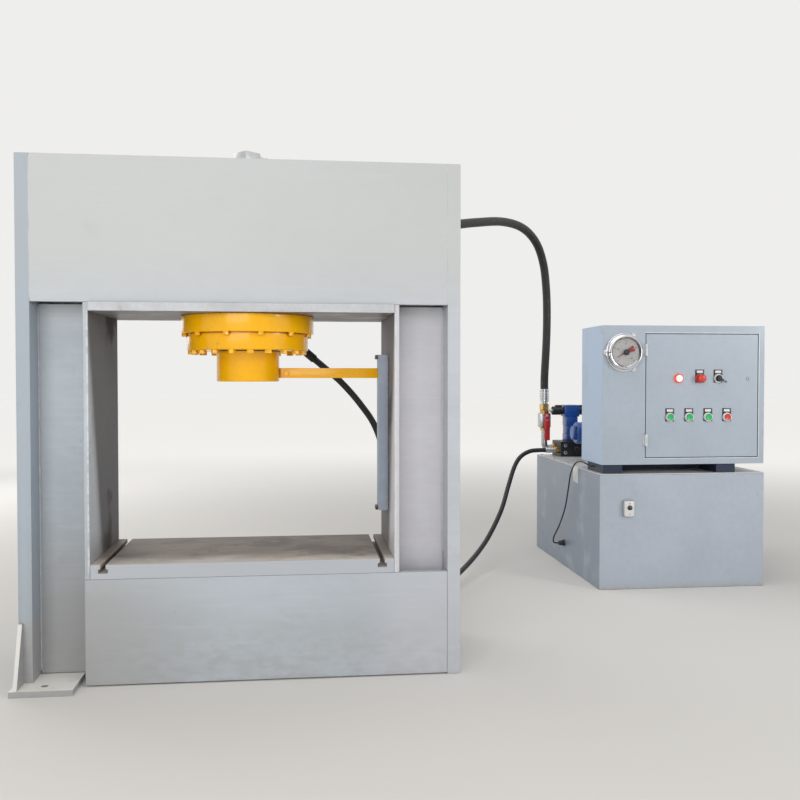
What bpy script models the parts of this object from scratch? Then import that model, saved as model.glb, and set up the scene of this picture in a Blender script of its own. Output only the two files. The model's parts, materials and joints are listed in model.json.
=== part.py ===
"""Hydraulic frame press with its power unit and control cabinet, in metres with +Z up.

The press frame, its cylinder and the power unit are each modelled in their own local frame under an
empty. The press frame has X = 0 at its middle, Y = 0 at its front plane and Z = 0 on the floor. The
power unit has X = 0 at the tank's left side, Y = 0 at the tank's front and Z = 0 on the floor.
"""

import math

import bmesh
import bpy
from mathutils import Matrix, Vector
from mathutils.geometry import interpolate_bezier

# Gaps and helper lengths
SEAT_GAP = 0.0003
CUT_OVERRUN = 0.004
FUSE_DEPTH = 0.002

# Press frame
DAYLIGHT_WIDTH = 1.037
COLUMN_WIDTH = 0.2345
PRESS_DEPTH = 0.500
PRESS_HEIGHT = 1.800
SIDE_PLATE = 0.045
INNER_PLATE = 0.018
WEB_PLATE = 0.020
WEB_RECESS = 0.100
CROWN_BOTTOM = 1.307
CROWN_PLATE = 0.030
CROWN_WEB = 0.025
CROWN_TOP_PLATE = 0.020
CROWN_CELL_CLEAR = 0.030
BOTTOM_PLATE = 0.031
BOTTOM_PLATE_LIP = 0.012
BED_PLATE = 0.030
BED_WEB = 0.025
BED_CELL_WIDTH = 0.400
BED_FLOOR_GAP = 0.004
TABLE_TOP = 0.416
TABLE_PLATE = 0.050
SLOT_WIDTH = 0.018
SLOT_HEAD_WIDTH = 0.032
SLOT_HEAD_HEIGHT = 0.014
SLOT_DEPTH = 0.030
SLOT_EDGE = 0.042
FOOT_PLATE = 0.020
FOOT_REACH = 0.083
FOOT_SIDE_REACH = 0.0105
FOOT_WIDTH = 0.205
FOOT_HOLE_RADIUS = 0.012
FOOT_HOLE_EDGE = 0.050
GUSSET_PLATE = 0.014
GUSSET_HEIGHT = 0.205
GUSSET_TIP = 0.014

# Cylinder
BARREL_CLEAR = 0.050
BARREL_WALL = 0.050
BARREL_TOP = 1.802
BARREL_HEAD = 0.035
BARREL_CHAMFER = 0.008
BARREL_CLEARANCE = 0.001
FLANGE_OVERHANG = 0.0415
FLANGE_HEIGHT = 0.065
FLANGE_CHAMFER = 0.003
FLANGE_BOLTS = 12
FLANGE_BOLT_FLATS = 0.018
FLANGE_BOLT_HEAD = 0.012
FLANGE_BOLT_EDGE = 0.011
FLANGE_BOLT_TURN = math.radians(14)
GLAND_OVERHANG = 0.0205
GLAND_HEIGHT = 0.061
GLAND_SPIGOT = 0.034
GLAND_BOLTS = 20
GLAND_BOLT_FLATS = 0.024
GLAND_BOLT_HEAD = 0.014
GLAND_BOLT_EDGE = 0.017
GLAND_BOLT_TURN = math.radians(5)
GLAND_STEP = 0.004
GLAND_CLEAR = 0.006
WIPER_LIP = 0.003
WIPER_WIDTH = 0.010
WIPER_HEIGHT = 0.012
RUNNING_GAP = 0.0005
RAM_STEP = 0.0355
RAM_DROP = 0.113
RAM_CHAMFER = 0.004
PISTON_HEIGHT = 0.080
PISTON_GROOVE = 0.006
PISTON_GROOVE_HEIGHT = 0.016
STROKE = 0.430

# Guide arm and its rail
ARM_HEIGHT = 0.037
ARM_THICKNESS = 0.010
ARM_LIFT = 0.013
LUG_THICKNESS = 0.012
LUG_REACH = 0.052
ARM_BOLT_FLATS = 0.017
ARM_BOLT_HEAD = 0.008
RAIL_DEPTH = 0.036
RAIL_WIDTH = 0.060
RAIL_GROOVE_DEPTH = 0.020
RAIL_GROOVE_SIDE = 0.003
RAIL_BOTTOM = 0.554
RAIL_TOP = 1.137
ARM_TIP_GAP = 0.004

# Power unit
UNIT_GAP = 0.9105
UNIT_SETBACK = 1.162
TANK_WIDTH = 0.855
TANK_DEPTH = 1.176
TANK_HEIGHT = 0.570
TANK_WALL = 0.006
TANK_RIM = 0.030
LID_PLATE = 0.005
BREATHER_RADIUS = 0.045
BREATHER_NECK_RADIUS = 0.028
BREATHER_NECK = 0.040
BREATHER_HEIGHT = 0.110
BREATHER_SIDE_EDGE = 0.155
BREATHER_REAR_EDGE = 0.126

# Motor and pump
MOTOR_X = 0.300
MOTOR_TO_BREATHER = 0.330
MOTOR_RADIUS = 0.120
MOTOR_LENGTH = 0.310
MOTOR_LIFT = 0.160
MOTOR_FINS = 20
FIN_HEIGHT = 0.016
FIN_WIDTH = 0.006
FIN_TAPER_SHARE = 0.7
MOTOR_FOOT_WIDTH = 0.240
MOTOR_FOOT_LENGTH = 0.200
MOTOR_FOOT_PLATE = 0.016
MOTOR_FOOT_RISE = 0.050
TERMINAL_LENGTH = 0.120
TERMINAL_WIDTH = 0.100
TERMINAL_HEIGHT = 0.060
FAN_COVER_LENGTH = 0.090
FAN_COVER_RADIUS = 0.137
BELL_LENGTH = 0.090
BELL_FLANGE_RADIUS = 0.125
BELL_FLANGE = 0.014
BELL_NECK_RADIUS = 0.075
PUMP_LENGTH = 0.130
PUMP_RADIUS = 0.062
PUMP_FLANGE_RADIUS = 0.080
PUMP_FLANGE = 0.016
PUMP_END_RADIUS = 0.040
PUMP_END = 0.020

# Valves
BLOCK_X = 0.095
BLOCK_REAR_EDGE = 0.191
BLOCK_WIDTH = 0.170
BLOCK_DEPTH = 0.182
BLOCK_HEIGHT = 0.090
STACK_WIDTH = 0.070
STACK_DEPTH = 0.090
STACK_HEIGHT = 0.150
VALVE_BODY_WIDTH = 0.090
VALVE_BODY_HEIGHT = 0.070
COIL_RADIUS = 0.026
COIL_LENGTH = 0.070
COIL_CAP_RADIUS = 0.012
COIL_CAP = 0.014
RELIEF_RADIUS = 0.018
RELIEF_LENGTH = 0.036
RELIEF_NECK_RADIUS = 0.009
RELIEF_NECK = 0.018
RISER_X = 0.030
RISER_REAR_EDGE = 0.056
RISER_RADIUS = 0.021
RISER_HEIGHT = 0.045
BALL_BODY_LIFT = 0.170
BALL_BODY_HEIGHT = 0.090
BALL_BODY_WIDTH = 0.066
BALL_STEM_RADIUS = 0.010
BALL_STEM = 0.016
HANDLE_WIDTH = 0.034
HANDLE_LENGTH = 0.165
HANDLE_THICKNESS = 0.008
HANDLE_JOG = 0.012
BALL_COLLAR = 0.020
ELBOW_SHARE = 0.9

# Hose fittings
TALL_HOSE_RADIUS = 0.024
TALL_FERRULE_RADIUS = 0.029
TALL_FERRULE_LENGTH = 0.090
TALL_NUT_RADIUS = 0.031
TALL_NUT_LENGTH = 0.036
LOW_HOSE_RADIUS = 0.013
LOW_FERRULE_RADIUS = 0.0165
LOW_FERRULE_LENGTH = 0.056
LOW_NUT_RADIUS = 0.019
LOW_NUT_LENGTH = 0.026
LOW_FITTING_LIFT = 0.037
LOW_FITTING_SETBACK = 0.045
LOW_PORT_BLOCK = 0.034
LOW_PORT_TILT = math.radians(32)
FERRULE_RIBS = 3
FERRULE_GROOVE_SHARE = 0.93
RIB_EDGE_SHARE = 0.12
FITTING_NECK_SHARE = 0.72
PORT_BLOCK = 0.070
PORT_BLOCK_HEIGHT = 0.014
PORT_AZIMUTH = math.radians(42)
LOWER_PORT_AZIMUTH = math.radians(40)

# Temperature switch and level sensor
SWITCH_X = 0.145
SWITCH_DROP = 0.166
SWITCH_WIDTH = 0.052
SWITCH_HEIGHT = 0.078
SWITCH_DEPTH = 0.026
SWITCH_CORNER = 0.008
SWITCH_KNOB_RADIUS = 0.012
SWITCH_KNOB_REACH = 0.012
SWITCH_KNOB_LIFT = 0.006
KNOB_TAPER_SHARE = 0.8
SENSOR_Y = 0.588
SENSOR_Z = 0.128
SENSOR_RADIUS = 0.014
SENSOR_NUT_RADIUS = 0.018
SENSOR_NUT = 0.010
SENSOR_REACH = 0.034
CABLE_RADIUS = 0.004

# Control cabinet
CABINET_X = 0.010
CABINET_WIDTH = 0.842
CABINET_DEPTH = 0.320
CABINET_LIFT = 0.045
CABINET_HEIGHT = 0.690
CABINET_SHEET = 0.003
BASE_BLOCK_WIDTH = 0.100
BASE_BLOCK_INSET = 0.012
BASE_BLOCK_FAR = 0.600
BASE_DEPTH = 0.240
BASE_SETBACK = 0.018
BASE_BAR = 0.040
DOOR_X = 0.2345
DOOR_WIDTH = 0.582
DOOR_LIFT = 0.036
DOOR_HEIGHT = 0.612
DOOR_DEPTH = 0.018
DOOR_GAP = 0.0035
HINGE_RADIUS = 0.008
HINGE_LENGTH = 0.058
HINGE_LOWER_LIFT = 0.086
HINGE_UPPER_LIFT = 0.533
HINGE_LEAF = 0.016
HINGE_LEAF_PLATE = 0.003
HINGE_LEAF_EDGE = 0.004
LOCK_X = 0.766
LOCK_LIFT = 0.390
LOCK_RADIUS = 0.011
LOCK_REACH = 0.006
LOCK_SHANK_SHARE = 0.8
LOCK_TAIL = 0.030
LOCK_CAM_WIDTH = 0.014
LOCK_CAM_LENGTH = 0.036
LOCK_CAM_PLATE = 0.004
PANEL_SETBACK = 0.024
PANEL_SHEET = 0.003
PANEL_EDGE = 0.040
RAIL_STRIP_HEIGHT = 0.035
RAIL_STRIP_DEPTH = 0.008
CONTACTOR_WIDTH = 0.060
CONTACTOR_HEIGHT = 0.085
CONTACTOR_DEPTH = 0.080
CONTACTOR_PITCH = 0.095
CONTACTORS = 5
RAIL_ROWS = 2
RAIL_ROW_PITCH = 0.230

# Gauge
GAUGE_X = 0.121
GAUGE_LIFT = 0.556
GAUGE_FLANGE_RADIUS = 0.095
GAUGE_FLANGE = 0.005
GAUGE_BEZEL_RADIUS = 0.084
GAUGE_BEZEL_REACH = 0.034
GAUGE_BEZEL_WALL = 0.010
GAUGE_DIAL_DEPTH = 0.014
GAUGE_BARREL_RADIUS = 0.074
GAUGE_BARREL = 0.060
GAUGE_HOLE_GAP = 0.002
GAUGE_LUG_RADIUS = 0.014
GAUGE_LUG_PLATE = 0.004
GAUGE_LUG_REACH = 0.096
POINTER_LENGTH = 0.056
POINTER_TAIL = 0.018
POINTER_WIDTH = 0.004
POINTER_PLATE = 0.0015
POINTER_HUB_RADIUS = 0.008
POINTER_HUB = 0.005
POINTER_TURN = math.radians(-120)

# Operators on the door
LEGEND_WIDTH = 0.046
LEGEND_ABOVE = 0.044
LEGEND_BELOW = 0.021
LEGEND_PLATE = 0.002
BEZEL_RADIUS = 0.0225
BEZEL_REACH = 0.014
BEZEL_CHAMFER = 0.002
BEZEL_BORE_RADIUS = 0.0168
BUTTON_RADIUS = 0.0160
BUTTON_PROUD = 0.003
BUTTON_TRAVEL = 0.005
TAIL_RADIUS = 0.011
CONTACT_BLOCK_WIDTH = 0.030
CONTACT_BLOCK_DEPTH = 0.042
BUTTON_ROW_LIFT = 0.199
BUTTON_FIRST_X = 0.357
BUTTON_PITCH = 0.099
UPPER_ROW_LIFT = 0.392
LAMP_X = 0.400
LAMP_RADIUS = 0.018
LAMP_REACH = 0.020
LENS_EDGE_SHARE = 0.6
EMERGENCY_X = 0.511
EMERGENCY_CAP_RADIUS = 0.0205
EMERGENCY_CAP = 0.014
EMERGENCY_NECK_RADIUS = 0.0125
EMERGENCY_NECK = 0.012
EMERGENCY_TRAVEL = 0.006
SELECTOR_X = 0.607
SELECTOR_BOSS_RADIUS = 0.0140
SELECTOR_BOSS = 0.012
SELECTOR_LEVER_WIDTH = 0.009
SELECTOR_LEVER_HEIGHT = 0.011
SELECTOR_LEVER_LENGTH = 0.038
SELECTOR_LEVER_TURN = math.radians(-28)

# Facet counts
BIG_STEPS = 40
MEDIUM_STEPS = 22
SMALL_STEPS = 12
KNURL_STEPS = 10
POST_SIDES = 8
HEX_SIDES = 6
CORD_FACETS = 2
ROUTE_STEPS = 24
THICK_CORD_SPACING = 5
THIN_CORD_SPACING = 6

# Sizes and places worked out from the sizes above
CYLINDER_SETBACK = PRESS_DEPTH / 2
BARREL_RADIUS = PRESS_DEPTH / 2 - BARREL_CLEAR
BORE_RADIUS = BARREL_RADIUS - BARREL_WALL
FLANGE_RADIUS = BARREL_RADIUS + FLANGE_OVERHANG
GLAND_RADIUS = BARREL_RADIUS + GLAND_OVERHANG
RAM_RADIUS = BORE_RADIUS - RAM_STEP
CROWN_CELL_WIDTH = 2 * (BARREL_RADIUS + CROWN_CELL_CLEAR)
PRESS_WIDTH = DAYLIGHT_WIDTH + 2 * COLUMN_WIDTH
HALF_WIDTH = PRESS_WIDTH / 2
HALF_DAYLIGHT = DAYLIGHT_WIDTH / 2
SIDE_INNER = HALF_WIDTH - SIDE_PLATE
TABLE_BOTTOM = TABLE_TOP - TABLE_PLATE
FLANGE_TOP = CROWN_BOTTOM - BOTTOM_PLATE
FLANGE_BOTTOM = FLANGE_TOP - FLANGE_HEIGHT
GLAND_BOTTOM = FLANGE_BOTTOM - GLAND_HEIGHT
RAM_BOTTOM = GLAND_BOTTOM - RAM_DROP
PISTON_BOTTOM = FLANGE_BOTTOM + GLAND_SPIGOT + STROKE + 2 * SEAT_GAP
PISTON_TOP = PISTON_BOTTOM + PISTON_HEIGHT
TOTAL_LENGTH = FOOT_SIDE_REACH + PRESS_WIDTH + UNIT_GAP + TANK_WIDTH
TOTAL_DEPTH = FOOT_REACH + UNIT_SETBACK + TANK_DEPTH
PRESS_PLACE = (FOOT_SIDE_REACH + HALF_WIDTH - TOTAL_LENGTH / 2, FOOT_REACH - TOTAL_DEPTH / 2, 0)
UNIT_PLACE = (TOTAL_LENGTH / 2 - TANK_WIDTH, TOTAL_DEPTH / 2 - TANK_DEPTH, 0)
LID_TOP = TANK_HEIGHT + LID_PLATE
BREATHER_X = TANK_WIDTH - BREATHER_SIDE_EDGE
BREATHER_Y = TANK_DEPTH - BREATHER_REAR_EDGE
MOTOR_Y = BREATHER_Y - MOTOR_TO_BREATHER
BLOCK_Y = TANK_DEPTH - BLOCK_REAR_EDGE
RISER_Y = TANK_DEPTH - RISER_REAR_EDGE
BALL_BODY_BOTTOM = LID_TOP + BALL_BODY_LIFT
LOW_FITTING_Y = BLOCK_Y + LOW_FITTING_SETBACK
LOW_FITTING_Z = LID_TOP + LOW_FITTING_LIFT
SWITCH_Z = TANK_HEIGHT - SWITCH_DROP
CABINET_BOTTOM = LID_TOP + CABINET_LIFT
DOOR_BOTTOM = CABINET_BOTTOM + DOOR_LIFT
LOCK_Z = DOOR_BOTTOM + LOCK_LIFT
HINGE_LOWER_Z = DOOR_BOTTOM + HINGE_LOWER_LIFT
HINGE_UPPER_Z = DOOR_BOTTOM + HINGE_UPPER_LIFT
GAUGE_Z = CABINET_BOTTOM + GAUGE_LIFT
BUTTON_ROW_Z = DOOR_BOTTOM + BUTTON_ROW_LIFT
UPPER_ROW_Z = DOOR_BOTTOM + UPPER_ROW_LIFT
MOTOR_Z = LID_TOP + MOTOR_LIFT
BLOCK_TOP = LID_TOP + BLOCK_HEIGHT
ARM_BOTTOM = RAM_BOTTOM + ARM_LIFT
ARM_MIDDLE = ARM_BOTTOM + ARM_HEIGHT / 2
DOOR_HINGE_X = DOOR_X - DOOR_GAP / 2
DOOR_HINGE_Y = -HINGE_RADIUS - SEAT_GAP
DOOR_HINGE_PLACE = (DOOR_HINGE_X, DOOR_HINGE_Y, DOOR_BOTTOM + DOOR_HEIGHT / 2)

# Routes of the cords, as points in the finished part's own frame
TALL_HOSE_ROUTE = (
    (0.8160, 1.1545, 0.9821), (0.8164, 1.1545, 1.0600), (0.8270, 1.1540, 1.2800), (0.8280, 1.1480, 1.4500),
    (0.8180, 1.1320, 1.6000), (0.7900, 1.0980, 1.7450), (0.7250, 1.0250, 1.8600), (0.6100, 0.9000, 1.9250),
    (0.4500, 0.7350, 1.9300), (0.2500, 0.5250, 1.8850), (0.0300, 0.2900, 1.8250), (-0.1800, 0.0600, 1.7900),
    (-0.3800, -0.1700, 1.7850), (-0.5300, -0.3900, 1.8150), (-0.6100, -0.5600, 1.8400),
    (-0.6605, -0.6821, 1.8473), (-0.7571, -0.7691, 1.8473),
)
LOW_HOSE_ROUTE = (
    (0.7982, 1.0645, 0.6120), (0.7600, 1.0645, 0.6120), (0.7000, 1.0600, 0.6060), (0.6400, 1.0450, 0.5750),
    (0.5950, 1.0200, 0.5150), (0.5450, 0.9600, 0.4100), (0.4700, 0.8300, 0.2800), (0.3400, 0.6200, 0.1500),
    (0.1800, 0.3300, 0.0800), (0.0200, 0.0000, 0.0700), (-0.1200, -0.2700, 0.1200), (-0.2300, -0.4300, 0.2800),
    (-0.2900, -0.5100, 0.4900), (-0.3280, -0.5450, 0.6900), (-0.3760, -0.5620, 0.8450),
    (-0.4420, -0.5850, 0.9450), (-0.5150, -0.6020, 1.0280),
    (-0.5750, -0.6238, 1.0806), (-0.6303, -0.6701, 1.1256),
)
CABLE_ROUTE = (
    (0.8068, 0.2000, 0.5982), (0.7900, 0.2000, 0.6010), (0.7720, 0.2150, 0.6120), (0.7620, 0.2600, 0.6180),
    (0.7580, 0.3400, 0.6000), (0.7580, 0.4200, 0.5400), (0.7600, 0.4700, 0.4500), (0.7560, 0.5150, 0.3400),
    (0.7400, 0.5650, 0.2400), (0.7200, 0.6020, 0.1680), (0.7240, 0.6200, 0.1330), (0.7510, 0.6225, 0.1280),
)


def start_empty_scene():
    """Removes what the scene held and makes the two collections."""
    for obj in list(bpy.data.objects):
        bpy.data.objects.remove(obj, do_unlink=True)
    collections = []
    for name in ("hydraulic_press", "cutters"):
        collection = bpy.data.collections.new(name)
        bpy.context.scene.collection.children.link(collection)
        collections.append(collection)
    return collections


PARTS, CUTTERS = start_empty_scene()


def finish(name, colour, roughness, metallic=0.0):
    """One Principled material."""
    material = bpy.data.materials.new(name)
    material.use_nodes = True
    shader = material.node_tree.nodes["Principled BSDF"]
    shader.inputs["Base Color"].default_value = (*colour, 1)
    shader.inputs["Roughness"].default_value = roughness
    shader.inputs["Metallic"].default_value = metallic
    material.diffuse_color = (*colour, 1)
    return material


FRAME_ENAMEL = finish("frame_enamel", (0.46, 0.49, 0.53), 0.42)
BARE_TABLE = finish("bare_table", (0.42, 0.38, 0.34), 0.55, 0.7)
CYLINDER_ENAMEL = finish("cylinder_enamel", (0.90, 0.47, 0.02), 0.28)
STEEL = finish("steel", (0.55, 0.55, 0.56), 0.30, 1.0)
BLACK_RUBBER = finish("black_rubber", (0.02, 0.02, 0.022), 0.60)
TANK_ENAMEL = finish("tank_enamel", (0.48, 0.53, 0.60), 0.40)
BLUE_ENAMEL = finish("blue_enamel", (0.03, 0.13, 0.42), 0.38)
DARK_IRON = finish("dark_iron", (0.05, 0.05, 0.055), 0.50, 0.6)
RED_ENAMEL = finish("red_enamel", (0.60, 0.03, 0.03), 0.40)
WHITE_PLASTIC = finish("white_plastic", (0.80, 0.79, 0.78), 0.40)
BLACK_PLASTIC = finish("black_plastic", (0.03, 0.03, 0.03), 0.45)
CHROME = finish("chrome", (0.75, 0.76, 0.78), 0.12, 1.0)
GREEN_PLASTIC = finish("green_plastic", (0.03, 0.50, 0.20), 0.35)
RED_PLASTIC = finish("red_plastic", (0.70, 0.05, 0.03), 0.35)
RED_LENS = finish("red_lens", (0.95, 0.12, 0.08), 0.15)
ZINC = finish("zinc", (0.62, 0.63, 0.64), 0.40, 1.0)


def group(name, place, parent=None):
    """An empty that carries one sub-assembly, or stands on the axis its pieces move on."""
    empty = bpy.data.objects.new(name, None)
    empty.location = place
    empty.parent = parent
    PARTS.objects.link(empty)
    return empty


CYLINDER_PLACE = (0, CYLINDER_SETBACK, 0)
PRESS = group("press_frame_origin", PRESS_PLACE)
UNIT = group("power_unit_origin", UNIT_PLACE)
RAM_AXIS = group("ram_axis", CYLINDER_PLACE, PRESS)
DOOR_AXIS = group("door_hinge_axis", DOOR_HINGE_PLACE, UNIT)


def keep(obj, material, parent, is_cutter):
    """Links an object as a part or, without a material, as a hidden helper."""
    obj.parent = parent
    if is_cutter:
        CUTTERS.objects.link(obj)
        obj.hide_render = True
        obj.display_type = "WIRE"
        return obj
    PARTS.objects.link(obj)
    obj.data.materials.append(material)
    return obj


def hang(axis, obj):
    """Hands a piece to the empty on its joint axis and leaves it where it stands."""
    obj.parent = axis
    obj.matrix_parent_inverse = Matrix.Translation(-axis.location)


def from_bmesh(name, bm, material, parent, place=(0, 0, 0), turn=(0, 0, 0)):
    """An object from a bmesh. With no material it is a helper."""
    mesh = bpy.data.meshes.new(name)
    bmesh.ops.recalc_face_normals(bm, faces=bm.faces)
    bm.to_mesh(mesh)
    bm.free()
    obj = bpy.data.objects.new(name, mesh)
    obj.location = place
    obj.rotation_euler = turn
    return keep(obj, material, parent, material is None)


def box(name, low, high, material=None, parent=None, place=(0, 0, 0), turn=(0, 0, 0)):
    """A box between two corners, from a cube with its scale applied."""
    low, high = Vector(low), Vector(high)
    size = high - low
    bm = bmesh.new()
    shape = Matrix.Translation((low + high) / 2) @ Matrix.Diagonal((*size, 1))
    bmesh.ops.create_cube(bm, size=1, matrix=shape)
    return from_bmesh(name, bm, material, parent, place, turn)


def rod(name, radius, start, end, sides, material=None, parent=None, place=(0, 0, 0), spin=0.0):
    """A cylinder, or a prism with few sides, from one point to another."""
    start, end = Vector(start), Vector(end)
    along = end - start
    bm = bmesh.new()
    shape = (
        Matrix.Translation((start + end) / 2)
        @ along.to_track_quat("Z", "Y").to_matrix().to_4x4()
        @ Matrix.Rotation(spin, 4, "Z")
    )
    bmesh.ops.create_cone(
        bm, cap_ends=True, segments=sides, radius1=radius, radius2=radius, depth=along.length, matrix=shape
    )
    obj = from_bmesh(name, bm, material, parent, place)
    smooth(obj)
    return obj


def smooth(obj):
    """Smooth shading with sharp edges kept."""
    obj.data.shade_smooth()
    obj.data.set_sharp_from_angle(angle=math.radians(35))


def turned(name, profile, steps, material=None, parent=None, place=(0, 0, 0), turn=(0, 0, 0), closed=False):
    """A turned piece: (radius, height) points down its outer side, about the local Z axis."""
    mesh = bpy.data.meshes.new(name)
    edges = [(i, i + 1) for i in range(len(profile) - 1)]
    if closed:
        edges.append((len(profile) - 1, 0))
    mesh.from_pydata([(radius, 0, height) for radius, height in profile], edges, [])
    obj = bpy.data.objects.new(name, mesh)
    obj.location = place
    obj.rotation_euler = turn
    screw = obj.modifiers.new("turn", "SCREW")
    screw.steps = steps
    screw.render_steps = steps
    screw.use_merge_vertices = True
    screw.merge_threshold = 0.00001
    screw.use_smooth_shade = False
    return keep(obj, material, parent, material is None)


def extruded(name, outlines, height, material=None, parent=None, place=(0, 0, 0), turn=(0, 0, 0)):
    """A flat outline, with any holes, drawn up from its plane along the local Z axis."""
    curve = bpy.data.curves.new(name, "CURVE")
    curve.dimensions = "2D"
    curve.fill_mode = "BOTH"
    curve.extrude = height / 2
    for points in outlines:
        spline = curve.splines.new("POLY")
        spline.points.add(len(points) - 1)
        for point, (x, y) in zip(spline.points, points):
            point.co = (x, y, 0, 1)
        spline.use_cyclic_u = True
    lifted = Matrix.Translation((0, 0, height / 2))
    flat = bpy.data.objects.new(name + "_outline", curve)
    bpy.context.scene.collection.objects.link(flat)
    bpy.context.view_layer.update()
    mesh = bpy.data.meshes.new_from_object(flat.evaluated_get(bpy.context.evaluated_depsgraph_get()))
    bpy.data.objects.remove(flat, do_unlink=True)
    bm = bmesh.new()
    bm.from_mesh(mesh)
    bmesh.ops.remove_doubles(bm, verts=bm.verts, dist=0.00001)
    bmesh.ops.transform(bm, matrix=lifted, verts=bm.verts)
    return from_bmesh(name, bm, material, parent, place, turn)


def boolean(obj, other, operation):
    """One exact Boolean modifier."""
    modifier = obj.modifiers.new(operation.lower(), "BOOLEAN")
    modifier.operation = operation
    modifier.solver = "EXACT"
    modifier.object = other


def fuse(obj, *others):
    """Joins helpers to a piece, as welding or casting does."""
    for other in others:
        boolean(obj, other, "UNION")


def cut(obj, *others):
    """Takes helpers out of a piece."""
    for other in others:
        boolean(obj, other, "DIFFERENCE")


def rounded(obj, width, segments, angle=math.radians(40)):
    """Rounded edges."""
    bevel = obj.modifiers.new("edges", "BEVEL")
    bevel.width = width
    bevel.segments = segments
    bevel.limit_method = "ANGLE"
    bevel.angle_limit = angle


def hex_radius(across_flats):
    """Corner radius of a hexagon."""
    return across_flats / math.sqrt(3)


def side_plate(name, side, feet):
    """A full-height side plate with the anchor feet and gussets welded to it."""
    inner, outer = side * SIDE_INNER, side * HALF_WIDTH
    plate = box(
        name, (min(inner, outer), 0, 0), (max(inner, outer), PRESS_DEPTH, PRESS_HEIGHT), FRAME_ENAMEL,
        PRESS,
    )
    foot_outer = side * (HALF_WIDTH + FOOT_SIDE_REACH)
    foot_inner = foot_outer - side * FOOT_WIDTH
    hole_x = (foot_outer + foot_inner) / 2
    for foot in feet:
        web_face = WEB_RECESS - SEAT_GAP
        front = foot == "front"
        edge = 0 if front else PRESS_DEPTH
        away = -1 if front else 1
        ends = sorted((edge + away * FOOT_REACH, edge - away * web_face))
        low = (min(foot_outer, foot_inner), ends[0], 0)
        high = (max(foot_outer, foot_inner), ends[1], FOOT_PLATE)
        fuse(plate, box(f"{name}_{foot}_foot", low, high, None, PRESS))
        outline = [
            (edge - away * FUSE_DEPTH, FOOT_PLATE - FUSE_DEPTH),
            (edge + away * (FOOT_REACH - FUSE_DEPTH), FOOT_PLATE - FUSE_DEPTH),
            (edge + away * (FOOT_REACH - FUSE_DEPTH), FOOT_PLATE + FUSE_DEPTH),
            (edge + away * GUSSET_TIP, FOOT_PLATE + GUSSET_HEIGHT),
            (edge - away * FUSE_DEPTH, FOOT_PLATE + GUSSET_HEIGHT),
        ]
        start = outer - side * (GUSSET_PLATE + FUSE_DEPTH)
        gusset = extruded(
            f"{name}_{foot}_gusset", [outline], GUSSET_PLATE, None, PRESS,
            (min(start, start + side * GUSSET_PLATE), 0, 0), (math.radians(90), 0, math.radians(90)),
        )
        fuse(plate, gusset)
        hole_y = edge + away * (FOOT_REACH - FOOT_HOLE_EDGE)
        start = (hole_x, hole_y, -CUT_OVERRUN)
        end = (hole_x, hole_y, FOOT_PLATE + CUT_OVERRUN)
        cut(plate, rod(f"{name}_{foot}_hole", FOOT_HOLE_RADIUS, start, end, SMALL_STEPS, None, PRESS))
    return plate


def column_box(name, side):
    """The inner plate with its two webs, drawn up from one outline, notched for the bed's front plate."""
    face = side * HALF_DAYLIGHT
    back = side * (HALF_DAYLIGHT + INNER_PLATE)
    weld = side * (SIDE_INNER - SEAT_GAP)
    front_web = WEB_RECESS
    rear_web = PRESS_DEPTH - WEB_RECESS - WEB_PLATE
    outline = [
        (face, 0), (face, PRESS_DEPTH), (back, PRESS_DEPTH), (back, rear_web + WEB_PLATE),
        (weld, rear_web + WEB_PLATE), (weld, rear_web), (back, rear_web), (back, front_web + WEB_PLATE),
        (weld, front_web + WEB_PLATE), (weld, front_web), (back, front_web), (back, 0),
    ]
    bottom = FOOT_PLATE + SEAT_GAP
    column = extruded(
        name, [outline], CROWN_BOTTOM - SEAT_GAP - bottom, FRAME_ENAMEL, PRESS, (0, 0, bottom),
    )
    reach = side * (HALF_DAYLIGHT + INNER_PLATE + CUT_OVERRUN)
    start = side * (HALF_DAYLIGHT - CUT_OVERRUN)
    low = (min(start, reach), -CUT_OVERRUN, 0)
    high = (max(start, reach), BED_PLATE + SEAT_GAP, TABLE_BOTTOM)
    cut(column, box(name + "_notch", low, high, None, PRESS))
    return column


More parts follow.
